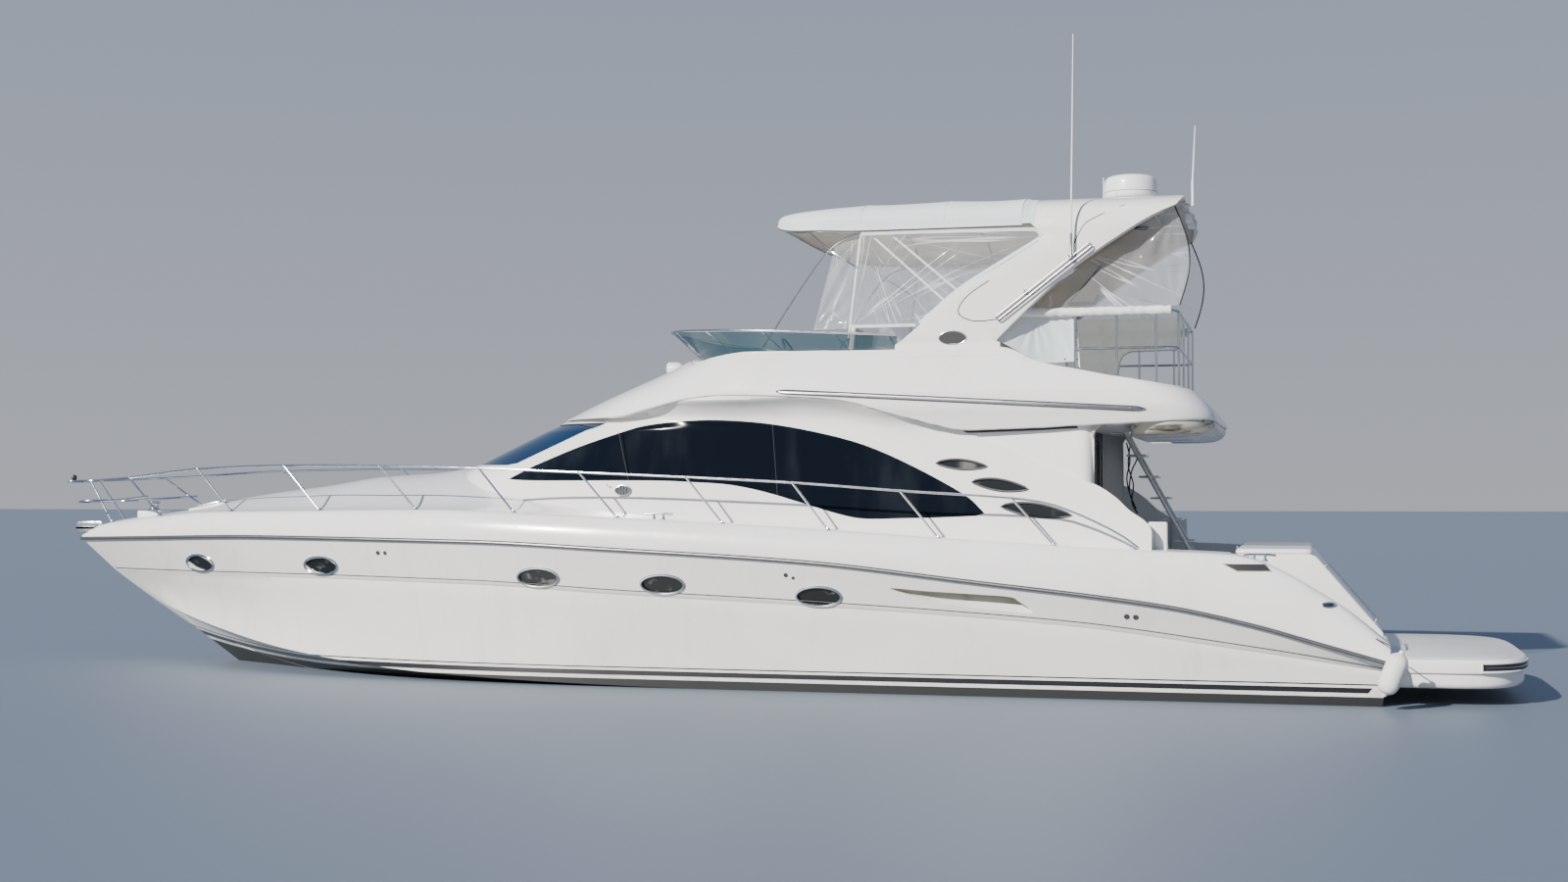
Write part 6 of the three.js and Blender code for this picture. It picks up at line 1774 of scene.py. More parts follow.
gate = block((-6.13, 1.392, 0.862), (-6.085, 1.908, 1.48), 0.014)
made("passage_gate_panel", gate, gelcoat, "passage_gate", replaces=["passage_gate"])
latchSide = [(0, 0), (0.022, 0), (0.022, 0.004), (0.012, 0.008), (0, 0.008)]
latches = [spun(latchSide, (x, 1.45, 1.38), (way, 0, 0), 24) for x, way in ((-6.1285, -1), (-6.0865, 1))]
made("passage_gate_latch", gathered(*latches), steel, "passage_gate")

cockpitSeat = {"base": ((-6.04, -0.8, 0.8505), (-5.75, 1.3, 1.08)),
               "seat": ((-5.95, -0.8, 1.082), (-5.745, 1.3, 1.17)),
               "back": ((-6.035, -0.8, 1.085), (-5.965, 1.3, 1.43)), "count": 3, "voxel": 0.016}
made("cockpit_seat_base", eased(block(*cockpitSeat["base"]), 0.015), gelcoat, replaces=["cockpit_seat"])
cushionSet("cockpit_seat_cushions", cushionRow(*cockpitSeat["seat"], cockpitSeat["count"], 1),
           cockpitSeat["voxel"], 0.012)
cushionSet("cockpit_seat_backs", cushionRow(*cockpitSeat["back"], cockpitSeat["count"], 1),
           cockpitSeat["voxel"], 0.008, bevel=0.02)

stairForm = {"steps": 8, "low": 1.10, "high": 2.89, "aft": -5.70, "fore": -4.72, "y0": -1.40, "y1": -0.88,
             "thick": 0.026}
treads, grips = [], []
for i in range(stairForm["steps"]):
    t = i / (stairForm["steps"] - 1)
    x, z = mix(stairForm["aft"], stairForm["fore"], t), mix(stairForm["low"], stairForm["high"], t)
    y0, y1 = stairForm["y0"], stairForm["y1"]
    treads.append(block((x - 0.11, y0, z - stairForm["thick"]), (x + 0.12, y1, z), 0.01))
    grips += [block((x - 0.095 + k * 0.045, y0 + 0.04, z - 0.001),
                    (x - 0.07 + k * 0.045, y1 - 0.04, z + 0.0025)) for k in range(4)]
stringers = tubes([[(-5.83, y, 0.8505), (-4.70, y, 2.93)] for y in (-1.405, -0.875)], 0.022, 5)
made("fly_stairs_frame", gathered(*treads, stringers), whitePlastic, replaces=["fly_stairs"])
made("fly_stairs_grips", gathered(*grips), blackTrim)

engineHatch = {"low": (-5.724, -0.504, 0.821), "high": (-4.726, 0.504, 0.854), "pullX": (-5.62, -4.83),
               "pullZ": 0.8535, "pull": [(0.012, 0), (0.042, 0), (0.042, 0.003), (0.034, 0.004),
                                         (0.012, 0.002)]}
made("engine_hatch_panel", block(engineHatch["low"], engineHatch["high"], 0.006, 2), nonSkid, "engine_hatch",
     replaces=["engine_hatch"])
hatchPulls = [spun(engineHatch["pull"], (x, 0.0, engineHatch["pullZ"]), (0, 0, 1), 28)
              for x in engineHatch["pullX"]]
made("engine_hatch_pulls", gathered(*hatchPulls), steel, "engine_hatch")
enamel = Finish("engine_enamel", (0.35, 0.37, 0.38), 0.4, name="engine enamel")
enamel.marked(enamel.grain(6, 5).fade(0.45, 0.75) * 0.6, (0.18, 0.15, 0.12))
for word, side in boatSides:
    refinished("engine_" + word, enamel)

# Swim platform: rounded slab with a grippy top, a rubber strip and a groove along its side
platformForm = {"fore": -7.53, "aft": -9.05, "half": 1.94, "low": 0.18, "top": 0.48, "round": 0.04,
                "step": 0.335, "inset": 0.028, "power": 4.4, "reach": 1.4}


def platformEdge(inset, sides=96):
    # a plan with straight flanks and one broad curve round its aft end
    half, reach = platformForm["half"] - inset, platformForm["reach"] - inset
    middleX, power = platformForm["aft"] + platformForm["reach"], 2 / platformForm["power"]
    curve = [(middleX - reach * abs(math.cos(a)) ** power,
              half * math.copysign(abs(math.sin(a)) ** power, math.sin(a)))
             for a in spread(math.pi / 2, -math.pi / 2, sides)]
    return [(-6.5, half)] + curve + [(-6.5, -half)]


upper = planCut(platformEdge(0), platformForm["step"], platformForm["top"])
upper = rimmed(rimmed(upper, platformForm["top"], platformForm["round"]), platformForm["step"], 0.015)
lower = rimmed(planCut(platformEdge(platformForm["inset"]), platformForm["low"], platformForm["step"] + 0.02),
               platformForm["low"], 0.06)
platform = placed("swim_platform_slab", upper)
lowerBody = placed("platform_lower", lower)
ahead = [(platformForm["fore"], -far, -far), (far, far, far)]
carved(platform, block(*ahead))
carved(lowerBody, block(*ahead))
dressed(platform, gelcoat, replaces=["swim_platform"])
dressed(lowerBody, gelcoat)
edgeLine = [Vector((x, y, 0)) for x, y in platformEdge(0, 160)]
slotForm = {"from": 1.0, "fore": -8.51, "z": 0.398, "half": 0.034, "frame": 0.012, "inner": 0.044}
for word, side in boatSides:
    # a dark slot in a pale frame round each aft corner
    corner = [p + Vector((0, 0, slotForm["z"])) for p in edgeLine
              if p.x < slotForm["fore"] and slotForm["from"] < p.y * side]
    slot = sweep(corner, [(-0.01, -slotForm["half"]), (0.003, -slotForm["half"]), (0.003, slotForm["half"]),
                          (-0.01, slotForm["half"])], lambda p: p - Vector((-8.0, 0, 0)))
    made("platform_slot_" + word, slot, blackTrim)
    frames = [[p + (p - Vector((-8.0, 0, p.z))).normalized() * 0.004 + Vector((0, 0, up)) for p in corner]
              for up in (-slotForm["inner"], slotForm["inner"])]
    made("platform_slot_frame_" + word, tubes([frames[0] + frames[1][::-1] + frames[0][:1]],
                                              slotForm["frame"]), gelcoat)
    glints = [p + (p - Vector((-8.0, 0, p.z))).normalized() * 0.005 for p in corner[2:-2]]
    made("platform_slot_bar_" + word, tubes([glints], 0.0045, 2), steel)
treadEdge = [p for p in platformEdge(0.13, 72) if p[0] < -7.62]
treadEdge = [(-7.62, treadEdge[0][1])] + treadEdge + [(-7.62, treadEdge[-1][1])]
made("platform_tread", rimmed(planCut(treadEdge, 0.478, 0.484), 0.484, 0.003, 2), nonSkid)
print("cockpit and platform ready")

# Flybridge furniture: helm console, wheel, twin seat and lounge
helm = {"y": 0.45, "centre": Vector((-0.93, 0.45, 3.83)), "tilt": 0.5, "radius": 0.19, "rim": 0.013}
helmAxis = Vector((-math.cos(helm["tilt"]), 0, math.sin(helm["tilt"])))
flyFoot = 3.1205
consolePlan = roundedBox((-0.88, -0.25), (-0.33, 1.15), 0.09, 8)
console = placed("helm_console_moulding", plinth(consolePlan, flyFoot, 3.78, 0.03))
carved(console, sideCut([(-0.9, 3.62), (-0.9, 3.9), (-0.64, 3.9)], -0.3, 1.2))
dressed(console, gelcoat, replaces=["helm_console"])
faceUp = Vector((0.26, 0, 0.28)).normalized()
faceOut = Vector((-0.28, 0, 0.26)).normalized()
faceMiddle = Vector((-0.82, 0.45, 3.706))
dials, bezels = [], []
for y, radius in ((0.05, 0.032), (0.16, 0.032), (0.73, 0.032), (0.84, 0.032), (0.95, 0.045)):
    spot = Vector((faceMiddle.x, y, faceMiddle.z)) + faceUp * 0.01
    dials.append(spun([(0, 0), (radius, 0), (radius, 0.003), (0, 0.003)], spot, faceOut, 28))
    bezels.append(spun([(radius, 0), (radius + 0.006, 0), (radius + 0.006, 0.005), (radius, 0.006)], spot,
                       faceOut, 28))
made("helm_dials", gathered(*dials), blackTrim)
made("helm_bezels", gathered(*bezels), steel)
made("helm_column", rod(helm["centre"] - helmAxis * 0.066, helm["centre"] - helmAxis * 0.22, 0.03), blackTrim)
wheelUp = Vector((math.sin(helm["tilt"]), 0, math.cos(helm["tilt"])))


def onWheel(angle, radius, off=0.0):
    return (helm["centre"] + wheelUp * radius * math.cos(angle) + Vector((0, radius * math.sin(angle), 0))
            + helmAxis * off)


rimLine = [onWheel(a, helm["radius"]) for a in spread(0, 2 * math.pi, 65)]
made("helm_wheel_rim", tubes([rimLine[:-1] + rimLine[:1]], helm["rim"], 5), charcoal, "helm_wheel",
     replaces=["helm_wheel"])
spokes = [tubes([splined([onWheel(a, 0.02), onWheel(a, 0.1, -0.012), onWheel(a, helm["radius"])], 6)], 0.009)
          for a in (0, 2.094, 4.189)]
hub = spun([(0, -0.06), (0.026, -0.06), (0.034, -0.03), (0.034, 0.008), (0.026, 0.02), (0, 0.022)],
           helm["centre"], helmAxis, 32)
made("helm_wheel_spokes", gathered(*spokes, hub), steel, "helm_wheel")

helmSeat = {"foot": [(0.155, 0), (0.155, 0.012), (0.075, 0.03), (0.055, 0.06), (0.055, 0.355), (0.14, 0.36),
                     (0, 0.362)],
            "at": (-1.515, 0.53, flyFoot), "panLow": (-1.79, 0.01), "panHigh": (-1.26, 1.04),
            "pan": (3.48, 3.505), "seat": ((-1.67, 0.01, 3.506), (-1.262, 1.04, 3.594)),
            "back": [(-1.79, 3.515), (-1.69, 3.515), (-1.775, 4.07), (-1.85, 4.075)],
            "backs": ((0.045, 0.52), (0.53, 1.005)), "voxel": 0.014, "swell": 0.012}
made("helm_seat_pedestal", spun(helmSeat["foot"], helmSeat["at"], (0, 0, 1), 40), whitePlastic)
panPlan = roundedBox(helmSeat["panLow"], helmSeat["panHigh"], 0.08, 6)
made("helm_seat_pan", plinth(panPlan, *helmSeat["pan"], 0.008), whitePlastic, replaces=["helm_seat"])
cushionSet("helm_seat_cushions", cushionRow(*helmSeat["seat"], 2, 1), helmSeat["voxel"], helmSeat["swell"])
leanHalves = [eased(sideCut(helmSeat["back"], y0, y1), 0.025, 3) for y0, y1 in helmSeat["backs"]]
plumped("helm_seat_backs", leanHalves, helmSeat["voxel"], helmSeat["swell"])
loungeForm = {"seat": 3.38, "top": 3.495}
loungeBoxes = [((-4.195, -1.415), (-3.65, -0.305)), ((-3.65, -1.415), (-2.85, -0.905)),
               ((-2.85, -1.415), (-2.305, -0.305))]
loungeBases = [eased(block((*a, flyFoot), (*b, loungeForm["seat"])), 0.008, 2) for a, b in loungeBoxes]
made("fly_lounge_base", gathered(*loungeBases), gelcoat, replaces=["fly_lounge"])
cushionSet("fly_lounge_cushions", [((a[0] + 0.008, a[1] + 0.008, loungeForm["seat"] + 0.001),
                                    (b[0] - 0.008, b[1] - 0.008, loungeForm["top"] - 0.012))
                                   for a, b in loungeBoxes], 0.018, 0.012)
print("flybridge furniture ready")

# Foredeck: hatch on its rim, windlass and bow roller
hatchForm = {"aft": 6.68, "fore": 7.22, "half": 0.27}


def onDeck(x, lift):
    return deckTopZ(x, 0) + lift


def hatchSlab(grow, low, high, bevel):
    half = hatchForm["half"] + grow
    slab = block((hatchForm["aft"] - grow, -half, 0), (hatchForm["fore"] + grow, half, high - low), bevel, 2)
    for vert in slab.verts:
        vert.co.z += onDeck(vert.co.x, low)
    return slab


made("foredeck_hatch_rim", hatchSlab(0.0, -0.05, 0.006, 0.006), gelcoat)
made("foredeck_hatch_lid", hatchSlab(-0.002, 0.008, 0.034, 0.008), steel, "foredeck_hatch",
     replaces=["foredeck_hatch"])
made("foredeck_hatch_glass", hatchSlab(-0.035, 0.03, 0.0375, 0.003), darkGlass, "foredeck_hatch")
windlass = {"x": 7.9, "low": (7.72, -0.15), "high": (8.08, 0.15), "corner": 0.06, "deep": 0.06}
windlassZ = onDeck(windlass["x"], 0)
windlassTop = windlassZ + windlass["deep"]
windlassPlan = roundedBox(windlass["low"], windlass["high"], windlass["corner"], 8)
windlassBox = planCut(windlassPlan, windlassZ - windlass["deep"], windlassTop)
made("windlass_base", rimmed(windlassBox, windlassTop, 0.015), whitePlastic, replaces=["windlass"])
drum = [(0, 0), (0.085, 0), (0.085, 0.018), (0.06, 0.04), (0.052, 0.07), (0.06, 0.1), (0.08, 0.118),
        (0.08, 0.13), (0.03, 0.14), (0, 0.14)]
made("windlass_drum", spun(drum, (windlass["x"], 0, windlassZ + 0.05), (0, 0, 1), 40), steel)
rollerForm = {"low": (8.3, -0.075, 1.66), "high": (9.04, 0.075, 1.735), "x": 8.985, "pinZ": 1.775,
              "wheelZ": 1.765, "pinHalf": 0.078, "cheekY": ((-0.075, -0.061), (0.061, 0.075)),
              "cheek": [(8.66, 1.70), (9.038, 1.70), (9.038, 1.78), (9.0, 1.80), (8.75, 1.80)],
              "wheel": [(0, -0.055), (0.032, -0.055), (0.02, -0.01), (0.02, 0.01), (0.032, 0.055),
                        (0, 0.055)]}
rollerPin = [(rollerForm["x"], side * rollerForm["pinHalf"], rollerForm["pinZ"]) for side in (-1, 1)]
rollerBits = [block(rollerForm["low"], rollerForm["high"], 0.006, 2),
              *[eased(sideCut(rollerForm["cheek"], *ends), 0.003, 2) for ends in rollerForm["cheekY"]],
              rod(*rollerPin, 0.008)]
made("bow_roller_channel", gathered(*rollerBits), steel, replaces=["bow_roller"])
rollerWheel = spun(rollerForm["wheel"], (rollerForm["x"], 0, rollerForm["wheelZ"]), (0, 1, 0), 32)
made("bow_roller_wheel", rollerWheel, blackTrim)

# Deck fittings: horn cleats, oval vents with slats, quarter vents, chocks and skin fittings
cleatForm = {"horn": [(-0.165, 0.05), (-0.08, 0.058), (0, 0.06), (0.08, 0.058), (0.165, 0.05)], "foot": 0.055,
             "tube": 0.0125, "base": [(0, 0), (0.03, 0), (0.03, 0.012), (0.02, 0.018), (0, 0.018)]}
cleats = []
for x, y in ((0.155, 2.10), (-6.35, 2.02)):
    base = Vector((x, y, deckTopZ(x, y)))
    horn = splined([base + Vector((reach, 0, up)) for reach, up in cleatForm["horn"]], 5)
    cleats.append(tubes([horn], cleatForm["tube"], 4))
    for s in (-1, 1):
        foot = base + Vector((s * cleatForm["foot"], 0, -0.01))
        cleats.append(rod(foot, foot + Vector((0, 0, 0.068)), 0.017, 0.012))
        cleats.append(spun(cleatForm["base"], foot, (0, 0, 1), 20))
made("deck_cleats", bothSides(gathered(*cleats)), steel)


def onHouse(x, z, out=0.0):
    return Vector((x, houseHalf(x, z) + out, z))


ventForm = {"x": 0.68, "z": 2.2, "long": 0.088, "high": 0.056, "slats": 4}
ventEdge = [onHouse(x, z, 0.004) for x, z in ovalOf(ventForm)]
slats = []
for i in range(ventForm["slats"]):
    x = ventForm["x"] + mix(-0.6, 0.6, i / (ventForm["slats"] - 1)) * ventForm["long"]
    reach = ventForm["high"] * math.sqrt(1 - ((x - ventForm["x"]) / ventForm["long"]) ** 2)
    slats.append([onHouse(x + 0.012 * math.cos(a), ventForm["z"] + reach * math.sin(a), 0.006)
                  for a in spread(-math.pi / 2, math.pi / 2, 12)])
made("side_vent_slats", bothSides(gathered(tubes([closed(ventEdge)], 0.008), tubes(slats, 0.006),
                                           ball(onHouse(0.87, 2.26), 0.014, (1, 0.7, 1), 8))), steel)
backing = prism(ovalOf(ventForm),
                lambda x, z: onHouse(x, z, -0.01), lambda x, z: onHouse(x, z, 0.002))
made("side_vent_backing", bothSides(backing), blackTrim)


def onBand(x, z, out=0.0):
    # a place on the rounded band between the rub rail and the deck's edge
    low = hullLines["rail"]["z"](x)
    up = clamp((z - low) / (deckEdgeZ(x) - low))
    return Vector((x, halfBreadth("rail", x) - edgeInset(x) * (1 - math.sqrt(1 - up * up)) + out, z))


def bandPatch(head, foot, lift, sink):
    # a plate on the band, ruled between two edges given as (x, z) ends
    columns = []
    for t in spread(0, 1, 20):
        top = (mix(head[0][0], head[1][0], t), mix(head[0][1], head[1][1], t))
        low = (mix(foot[0][0], foot[1][0], t), mix(foot[0][1], foot[1][1], t))
        rows = [(mix(top[0], low[0], s), mix(top[1], low[1], s)) for s in spread(0, 1, 6)]
        columns.append([onBand(x, z, lift) for x, z in rows]
                       + [onBand(x, z, -sink) for x, z in reversed(rows)])
    return loft(columns)


quarter = {"head": ((-5.99, 1.437), (-6.41, 1.437)), "foot": ((-6.13, 1.365), (-6.47, 1.365)), "ribs": 15}
quarterEdge = [onBand(x, z, 0.004) for x, z in [*quarter["head"], quarter["foot"][1], quarter["foot"][0]]]
ribs = []
for t in spread(0.05, 0.95, quarter["ribs"]):
    ends = [onBand(mix(a[0], b[0], t), a[1], 0.004) for a, b in (quarter["head"], quarter["foot"])]
    ribs.append([ends[0], onBand(*[(ends[0][k] + ends[1][k]) / 2 for k in (0, 2)], 0.005), ends[1]])
made("quarter_vent_mesh", bothSides(bandPatch(quarter["head"], quarter["foot"], 0.002, 0.02)), blackTrim)
made("quarter_vent_ribs", bothSides(tubes(ribs, 0.0025, 1)), rubBase)
made("quarter_vent_rim", bothSides(tubes([closed(quarterEdge)], 0.0055)), beige)
chockForm = {"x": -7.03, "z": 1.03, "long": 0.065, "high": 0.022}
chock = [onBand(x, z, 0.004) for x, z in ovalOf(chockForm, 32)]
made("stern_chocks", bothSides(tubes([closed(chock)], 0.011, 4)), steel)
chockHead, chockFoot = [[(chockForm["x"] + reach, z) for reach in (0.05, -0.05)] for z in (1.045, 1.015)]
made("stern_chock_backing", bothSides(bandPatch(chockHead, chockFoot, 0.002, 0.01)), blackTrim)
skinSpots = [(-1.38, 1.28, 0.024), (-1.46, 1.25, 0.018), (3.60, 1.475, 0.027), (3.50, 1.475, 0.024),
             (-5.015, 0.885, 0.03), (-5.107, 0.88, 0.03)]
skinFittings = []
for x, z, radius in skinSpots:
    skinFittings.append(spun([(0.45 * radius, 0.001), (0.6 * radius, 0.008), (radius, 0.004),
                              (1.05 * radius, -0.002)], onHull(x, z, 0.0), hullTilt(x, z), 24))
made("skin_fittings", bothSides(gathered(*skinFittings)), rubBase)

# Radome, antennas on their mounts, searchlight
radomeForm = {"x": -4.88, "z": 5.545, "foot": 0.12}
radomeCurve = splined([(0.245, 0), (0.295, 0.03), (0.308, 0.07), (0.308, 0.13), (0.301, 0.20), (0.282, 0.252),
                       (0.24, 0.28), (0.15, 0.289)], 5)
radomeSide = [(0, 0), (0.24, 0)] + flat(radomeCurve) + [(0, 0.29)]
made("radome_shell", gathered(spun(radomeSide, (radomeForm["x"], 0, radomeForm["z"]), (0, 0, 1), 72),
                              rod((radomeForm["x"], 0, 5.49), (radomeForm["x"], 0, 5.55), radomeForm["foot"],
                                  sides=48)), whitePlastic, replaces=["radome"])
ring = [(radomeForm["x"] + 0.308 * math.cos(a), 0.308 * math.sin(a), radomeForm["z"] + 0.092)
        for a in spread(0, 2 * math.pi, 73)]
made("radome_seam", tubes([ring[:-1] + ring[:1]], 0.0035, 2), blackTrim)
whips = {"antenna_port": {"foot": (-4.4, 1.8, 4.7), "long": 2.4, "radius": 0.012},
         "antenna_arch": {"foot": (-5.65, 1.205, 5.305), "long": 0.85, "radius": 0.011}}
for body, whip in whips.items():
    foot, r = Vector(whip["foot"]), whip["radius"]
    tip = foot + Vector((-0.03, 0, whip["long"]))
    made(body + "_whip", gathered(rod(foot + Vector((0, 0, 0.24)), tip, r, 0.005),
                                  ball(tip, 0.0065, detail=6)), whitePlastic, body, replaces=[body])
    ferrule = spun([(0, -0.02), (r + 0.007, -0.02), (r + 0.007, 0.0), (r + 0.004, 0.01), (r + 0.004, 0.22),
                    (r + 0.001, 0.26), (0, 0.262)], foot, (0, 0, 1), 28)
    made(body + "_ferrule", ferrule, steel if body == "antenna_port" else whitePlastic, body)
ratchet = [rod((-4.4, 1.7395, 4.7), (-4.4, 1.775, 4.7), 0.022),
           rod((-4.4, 1.739, 4.7), (-4.4, 1.746, 4.7), 0.04)]
made("antenna_stub_port_mount", gathered(*ratchet), steel, replaces=["antenna_stub_port"])
made("antenna_stub_arch_mount", gathered(block((-5.665, 1.150, 5.29), (-5.566, 1.178, 5.32), 0.003, 2),
                                         block((-5.575, 1.12, 5.262), (-5.566, 1.208, 5.345), 0.002, 2)),
     steel, replaces=["antenna_stub_arch"])
stubFoot = [(0, 0), (0.03, 0), (0.03, 0.01), (0.012, 0.03), (0, 0.03)]
made("roof_stub", gathered(rod((-4.62, 0.5, 5.48), (-4.62, 0.5, 5.75), 0.007, 0.005),
                           spun(stubFoot, (-4.62, 0.5, 5.488), (0, 0, 1), 24)), whitePlastic)
lampShell = [(0, 0), (0.045, 0.004), (0.07, 0.03), (0.079, 0.07), (0.08, 0.178), (0.076, 0.185),
             (0.07, 0.185), (0.068, 0.172), (0, 0.172)]
lampFoot = [(0, 0), (0.06, 0), (0.06, 0.06), (0.045, 0.10), (0.032, 0.115), (0.032, 0.16), (0, 0.16)]
lampLens = [(0, 0), (0.067, 0), (0.05, 0.006), (0, 0.009)]
lampAt = {"shell": (0.56, 0, 3.70), "foot": (0.64, 0, 3.5), "lens": (0.732, 0, 3.70)}
made("searchlight_shell", gathered(spun(lampShell, lampAt["shell"], (1, 0, 0), 40),
                                   spun(lampFoot, lampAt["foot"], (0, 0, 1), 40)), whitePlastic,
     replaces=["searchlight"])
made("searchlight_lens", spun(lampLens, lampAt["lens"], (1, 0, 0), 32), steel)
print("deck fittings ready")

# Running gear: shaft, four-blade propeller, strut, log, rudder and trim tab on each side
gear = {"y": 0.85, "shaft": 0.032, "fore": (-3.9, -0.56), "aft": (-6.55, -0.93), "start": -3.34, "hub": -6.42,
        "strut": -6.08}
bladeWide = smoothLine((0.06, 0.17), (0.12, 0.23), (0.19, 0.26), (0.26, 0.235), (0.30, 0.19), (0.32, 0.13),
                       (0.33, 0.05))
bladePitch = smoothLine((0.06, 0.97), (0.16, 0.72), (0.25, 0.55), (0.33, 0.42))
bladeThick = smoothLine((0.06, 0.016), (0.25, 0.010), (0.33, 0.005))


def shaftAt(x, y):
    share = (x - gear["fore"][0]) / (gear["aft"][0] - gear["fore"][0])
    return Vector((x, y, mix(gear["fore"][1], gear["aft"][1], share)))


def bladeMesh(side):
    rows = []
    for radius in (0.055, 0.09, 0.13, 0.17, 0.21, 0.25, 0.28, 0.305, 0.32, 0.329):
        wide, pitch, thick = bladeWide(radius), bladePitch(radius), bladeThick(radius)
        row = []
        for a in spread(0, 2 * math.pi, 17)[:-1]:
            across, deep = wide / 2 * math.cos(a), thick / 2 * math.sin(a)
            row.append(Vector((side * (across * math.sin(pitch) + deep * math.cos(pitch)),
                               across * math.cos(pitch) - deep * math.sin(pitch), radius)))
        rows.append(row)
    return loft(rows)


rudderForm = {"x": -7.0, "lead": 0.11, "chord": 0.42, "wide": 0.0372, "taper": 0.75, "squared": 0.95,
              "rows": ((-0.56, 1.0), (-0.9, 0.985), (-1.15, 0.96), (-1.225, 0.94), (-1.24, 0.9))}
tabForm = {"side": [(-7.532, -0.330), (-7.532, -0.322), (-7.860, -0.352), (-7.860, -0.360)], "inner": 0.5,
           "outer": 1.3}
antifoul = gelcoatFinish("bottom_paint", "bottom paint", (0.014, 0.015, 0.014), 0.6, 0.6)
for word, side in boatSides:
    y = side * gear["y"]
    aimed = (shaftAt(-6, y) - shaftAt(-5, y)).normalized()
    tilt = Vector((-1, 0, 0)).rotation_difference(aimed).to_matrix().to_4x4()
    blades = []
    for i in range(4):
        blade = bladeMesh(side)
        bmesh.ops.transform(blade, matrix=Matrix.Translation(shaftAt(gear["hub"], y)) @ tilt
                            @ Matrix.Rotation(i * math.pi / 2 + 0.3, 4, "X"), verts=blade.verts)
        blades.append(blade)
    bossHub = spun([(0, -0.095), (0.07, -0.095), (0.078, -0.08), (0.07, 0.06), (0.062, 0.095), (0.034, 0.1),
                    (0.03, 0.13), (0, 0.135)], shaftAt(gear["hub"], y), aimed, 40)
    made("propeller_" + word, gathered(bossHub, rod(shaftAt(gear["start"], y), shaftAt(gear["aft"][0], y),
                                                    gear["shaft"]), *blades), bronze, "shaft_" + word,
         replaces=["shaft_" + word])
    made("shaft_log_" + word, rod(shaftAt(-2.9, y), shaftAt(-3.8, y), 0.062), antifoul)
    barrelSpot = shaftAt(gear["strut"], y)
    barrel = spun([(0.039, -0.13), (0.055, -0.13), (0.062, -0.11), (0.062, 0.11), (0.055, 0.13),
                   (0.039, 0.13), (0.039, -0.13)], barrelSpot, aimed, 40)
    legRows = [[Vector((gear["strut"] + 0.06 * math.cos(a), y + 0.014 * math.sin(a), z))
                for a in spread(0, 2 * math.pi, 21)[:-1]] for z in (-0.82, -0.6, -0.3)]
    made("shaft_strut_" + word, gathered(barrel, loft(legRows)), bronze, replaces=["strut_" + word])
    rudderRows = []
    for z, share in rudderForm["rows"]:
        row = []
        for a in spread(0, 2 * math.pi, 29)[:-1]:
            back = (1 - math.cos(a)) / 2
            thin = share if share < rudderForm["squared"] else 1
            wide = rudderForm["wide"] * math.sin(a) * (1 - rudderForm["taper"] * back) * thin
            x = rudderForm["x"] + rudderForm["lead"] - rudderForm["chord"] * back * share
            row.append(Vector((x, y + wide, z)))
        rudderRows.append(row)
    stock = rod((rudderForm["x"], y, -0.6), (rudderForm["x"], y, -0.43), 0.028)
    made("rudder_blade_" + word, gathered(loft(rudderRows), stock), bronze, "rudder_" + word,
         replaces=["rudder_" + word])
    boss = rod((rudderForm["x"], y, -0.30), (rudderForm["x"], y, -0.53), 0.062, 0.056)
    made("rudder_boss_" + word, boss, antifoul)
    tabEnds = sorted((side * tabForm["inner"], side * tabForm["outer"]))
    tab = eased(sideCut(tabForm["side"], *tabEnds), 0.002, 2)
    made("trim_tab_plate_" + word, tab, steel, "trim_tab_" + word, replaces=["trim_tab_" + word])
print("running gear ready")

# Fender hung at the port quarter on its lanyard
fenderForm = {"foot": Vector((-7.545, 2.465, 0.15)), "lean": -0.38}
fenderVinyl = Finish("fender_vinyl", (0.74, 0.73, 0.70), 0.38, name="fender vinyl", Coat_Weight=0.2)
fenderVinyl.marked(fenderVinyl.grain(7, 6, (1, 1, 0.6)).fade(0.45, 0.8) * 0.6, (0.42, 0.41, 0.38))
fenderVinyl.put("Roughness", 0.3 + fenderVinyl.grain(20, 4) * 0.3)
fenderAxis = Vector((math.sin(fenderForm["lean"]), 0, math.cos(fenderForm["lean"])))
fenderSide = [(0, 0), (0.022, 0.0), (0.026, 0.015)] + flat(splined([
    (0.04, 0.028), (0.08, 0.055), (0.102, 0.105), (0.106, 0.15), (0.106, 0.33), (0.102, 0.375), (0.08, 0.42),
    (0.04, 0.448)], 4)) + [(0.026, 0.46), (0.022, 0.485), (0, 0.485)]
fenderBody = spun(fenderSide, fenderForm["foot"], fenderAxis, 48)
made("fender_body", fenderBody, fenderVinyl, replaces=["fender"])
fenderEye = fenderForm["foot"] + fenderAxis * 0.478
lanyard = splined([fenderEye, fenderEye.lerp(Vector((-7.48, 2.255, 0.70)), 0.5),
                   Vector((-7.48, 2.255, 0.70))], 12)
made("fender_lanyard", tubes([lanyard], 0.0065, 3), charcoal)
print("fender ready")

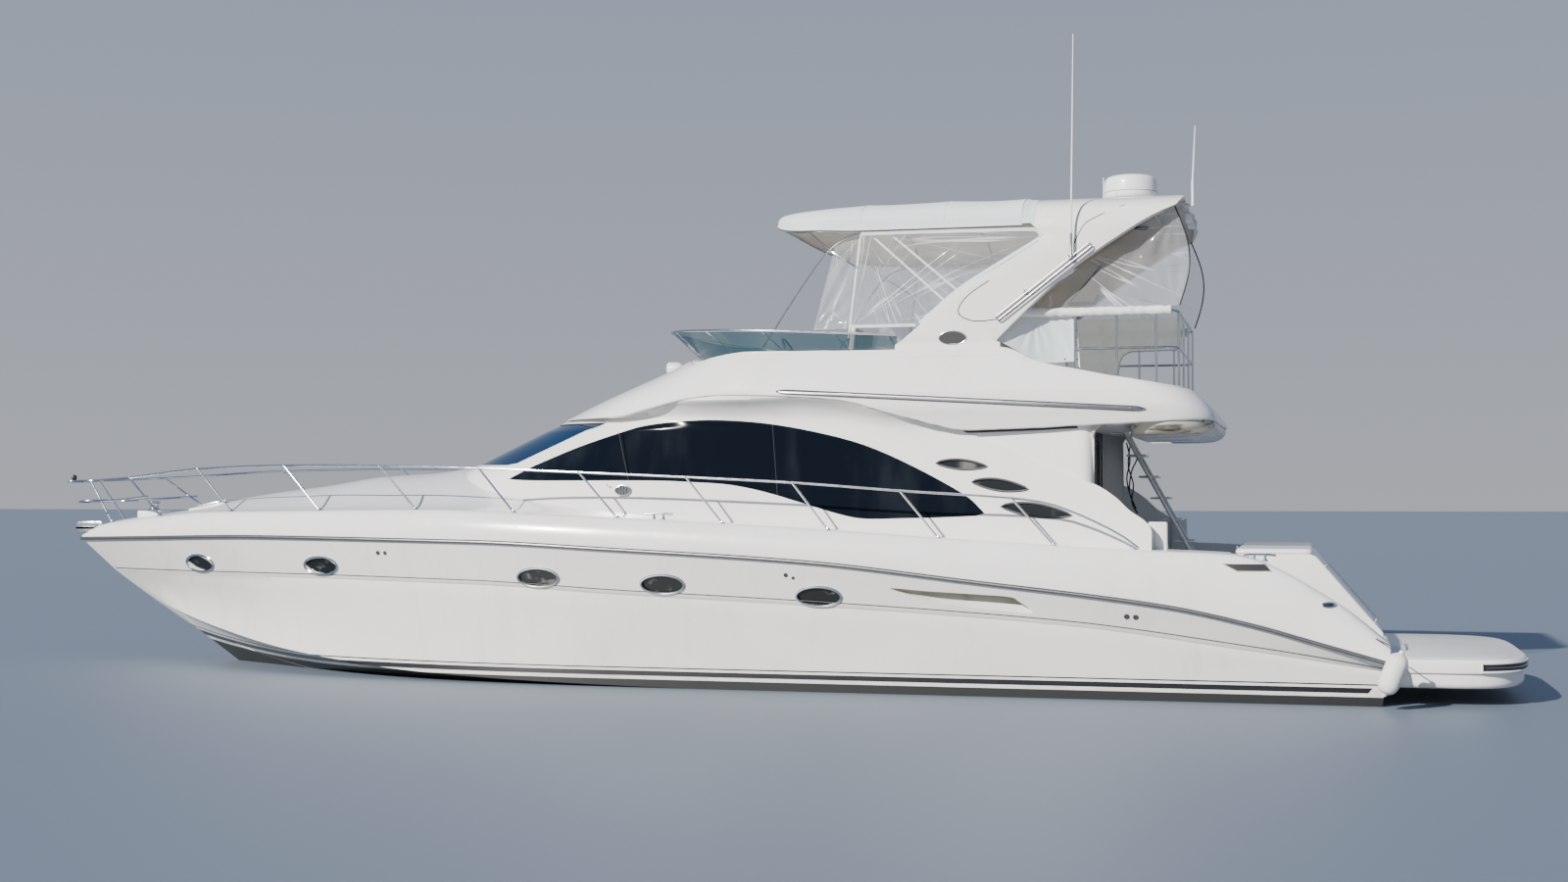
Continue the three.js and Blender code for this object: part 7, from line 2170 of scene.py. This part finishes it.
# Stage, light and camera
floor = bmesh.new()
bmesh.ops.create_grid(floor, x_segments=1, y_segments=1, size=300)
floorPiece = placed("floor", floor)
floorFinish = Finish("floor", (0.13, 0.16, 0.20), 0.5)
floorPiece.data.materials.append(floorFinish.material)
floorPiece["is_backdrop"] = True

sky = {"low": (0.76, 0.79, 0.86, 1), "high": (0.16, 0.34, 0.76, 1), "strength": 0.6}
world = bpy.data.worlds.new("studio")
bpy.context.scene.world = world
world.use_nodes = True
skyTree = world.node_tree
skyPlace = skyTree.nodes.new("ShaderNodeTexCoord")
skyParts = skyTree.nodes.new("ShaderNodeSeparateXYZ")
skyFade = skyTree.nodes.new("ShaderNodeMapRange")
skyFade.inputs["From Min"].default_value = 0.0
skyFade.inputs["From Max"].default_value = 0.75
skyMix = skyTree.nodes.new("ShaderNodeMix")
skyMix.data_type = "RGBA"
skyMix.inputs[6].default_value = sky["low"]
skyMix.inputs[7].default_value = sky["high"]
skyTree.links.new(skyPlace.outputs["Generated"], skyParts.inputs[0])
skyTree.links.new(skyParts.outputs["Z"], skyFade.inputs["Value"])
skyTree.links.new(skyFade.outputs[0], skyMix.inputs[0])
skyTree.links.new(skyMix.outputs[2], skyTree.nodes["Background"].inputs["Color"])
skyTree.nodes["Background"].inputs["Strength"].default_value = sky["strength"]

sunForm = {"toward": (0.437, 0.757, 0.485), "strength": 8.6, "color": (1, 0.965, 0.92), "soft": 0.9}
sun = bpy.data.lights.new("key", "SUN")
sun.energy = sunForm["strength"]
sun.color = sunForm["color"]
sun.angle = math.radians(sunForm["soft"])
sunLamp = bpy.data.objects.new("key", sun)
bpy.context.scene.collection.objects.link(sunLamp)
sunLamp.rotation_euler = (-Vector(sunForm["toward"])).to_track_quat("-Z", "Y").to_euler()

eye = {"spot": (-6.81, 22.66, 2.112), "turn": 15.03, "pitch": 1.683, "focal": 1981, "wide": 1600}
camera = bpy.data.cameras.new("camera")
camera.sensor_width = 36
camera.lens = eye["focal"] / eye["wide"] * camera.sensor_width
camera.clip_end = 500
cameraObject = bpy.data.objects.new("camera", camera)
bpy.context.scene.collection.objects.link(cameraObject)
turn, pitch = math.radians(eye["turn"]), math.radians(eye["pitch"])
ahead = Vector((math.sin(turn) * math.cos(pitch), -math.cos(turn) * math.cos(pitch), math.sin(pitch)))
cameraObject.location = eye["spot"]
cameraObject.rotation_euler = ahead.to_track_quat("-Z", "Y").to_euler()
bpy.context.scene.camera = cameraObject

low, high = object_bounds()
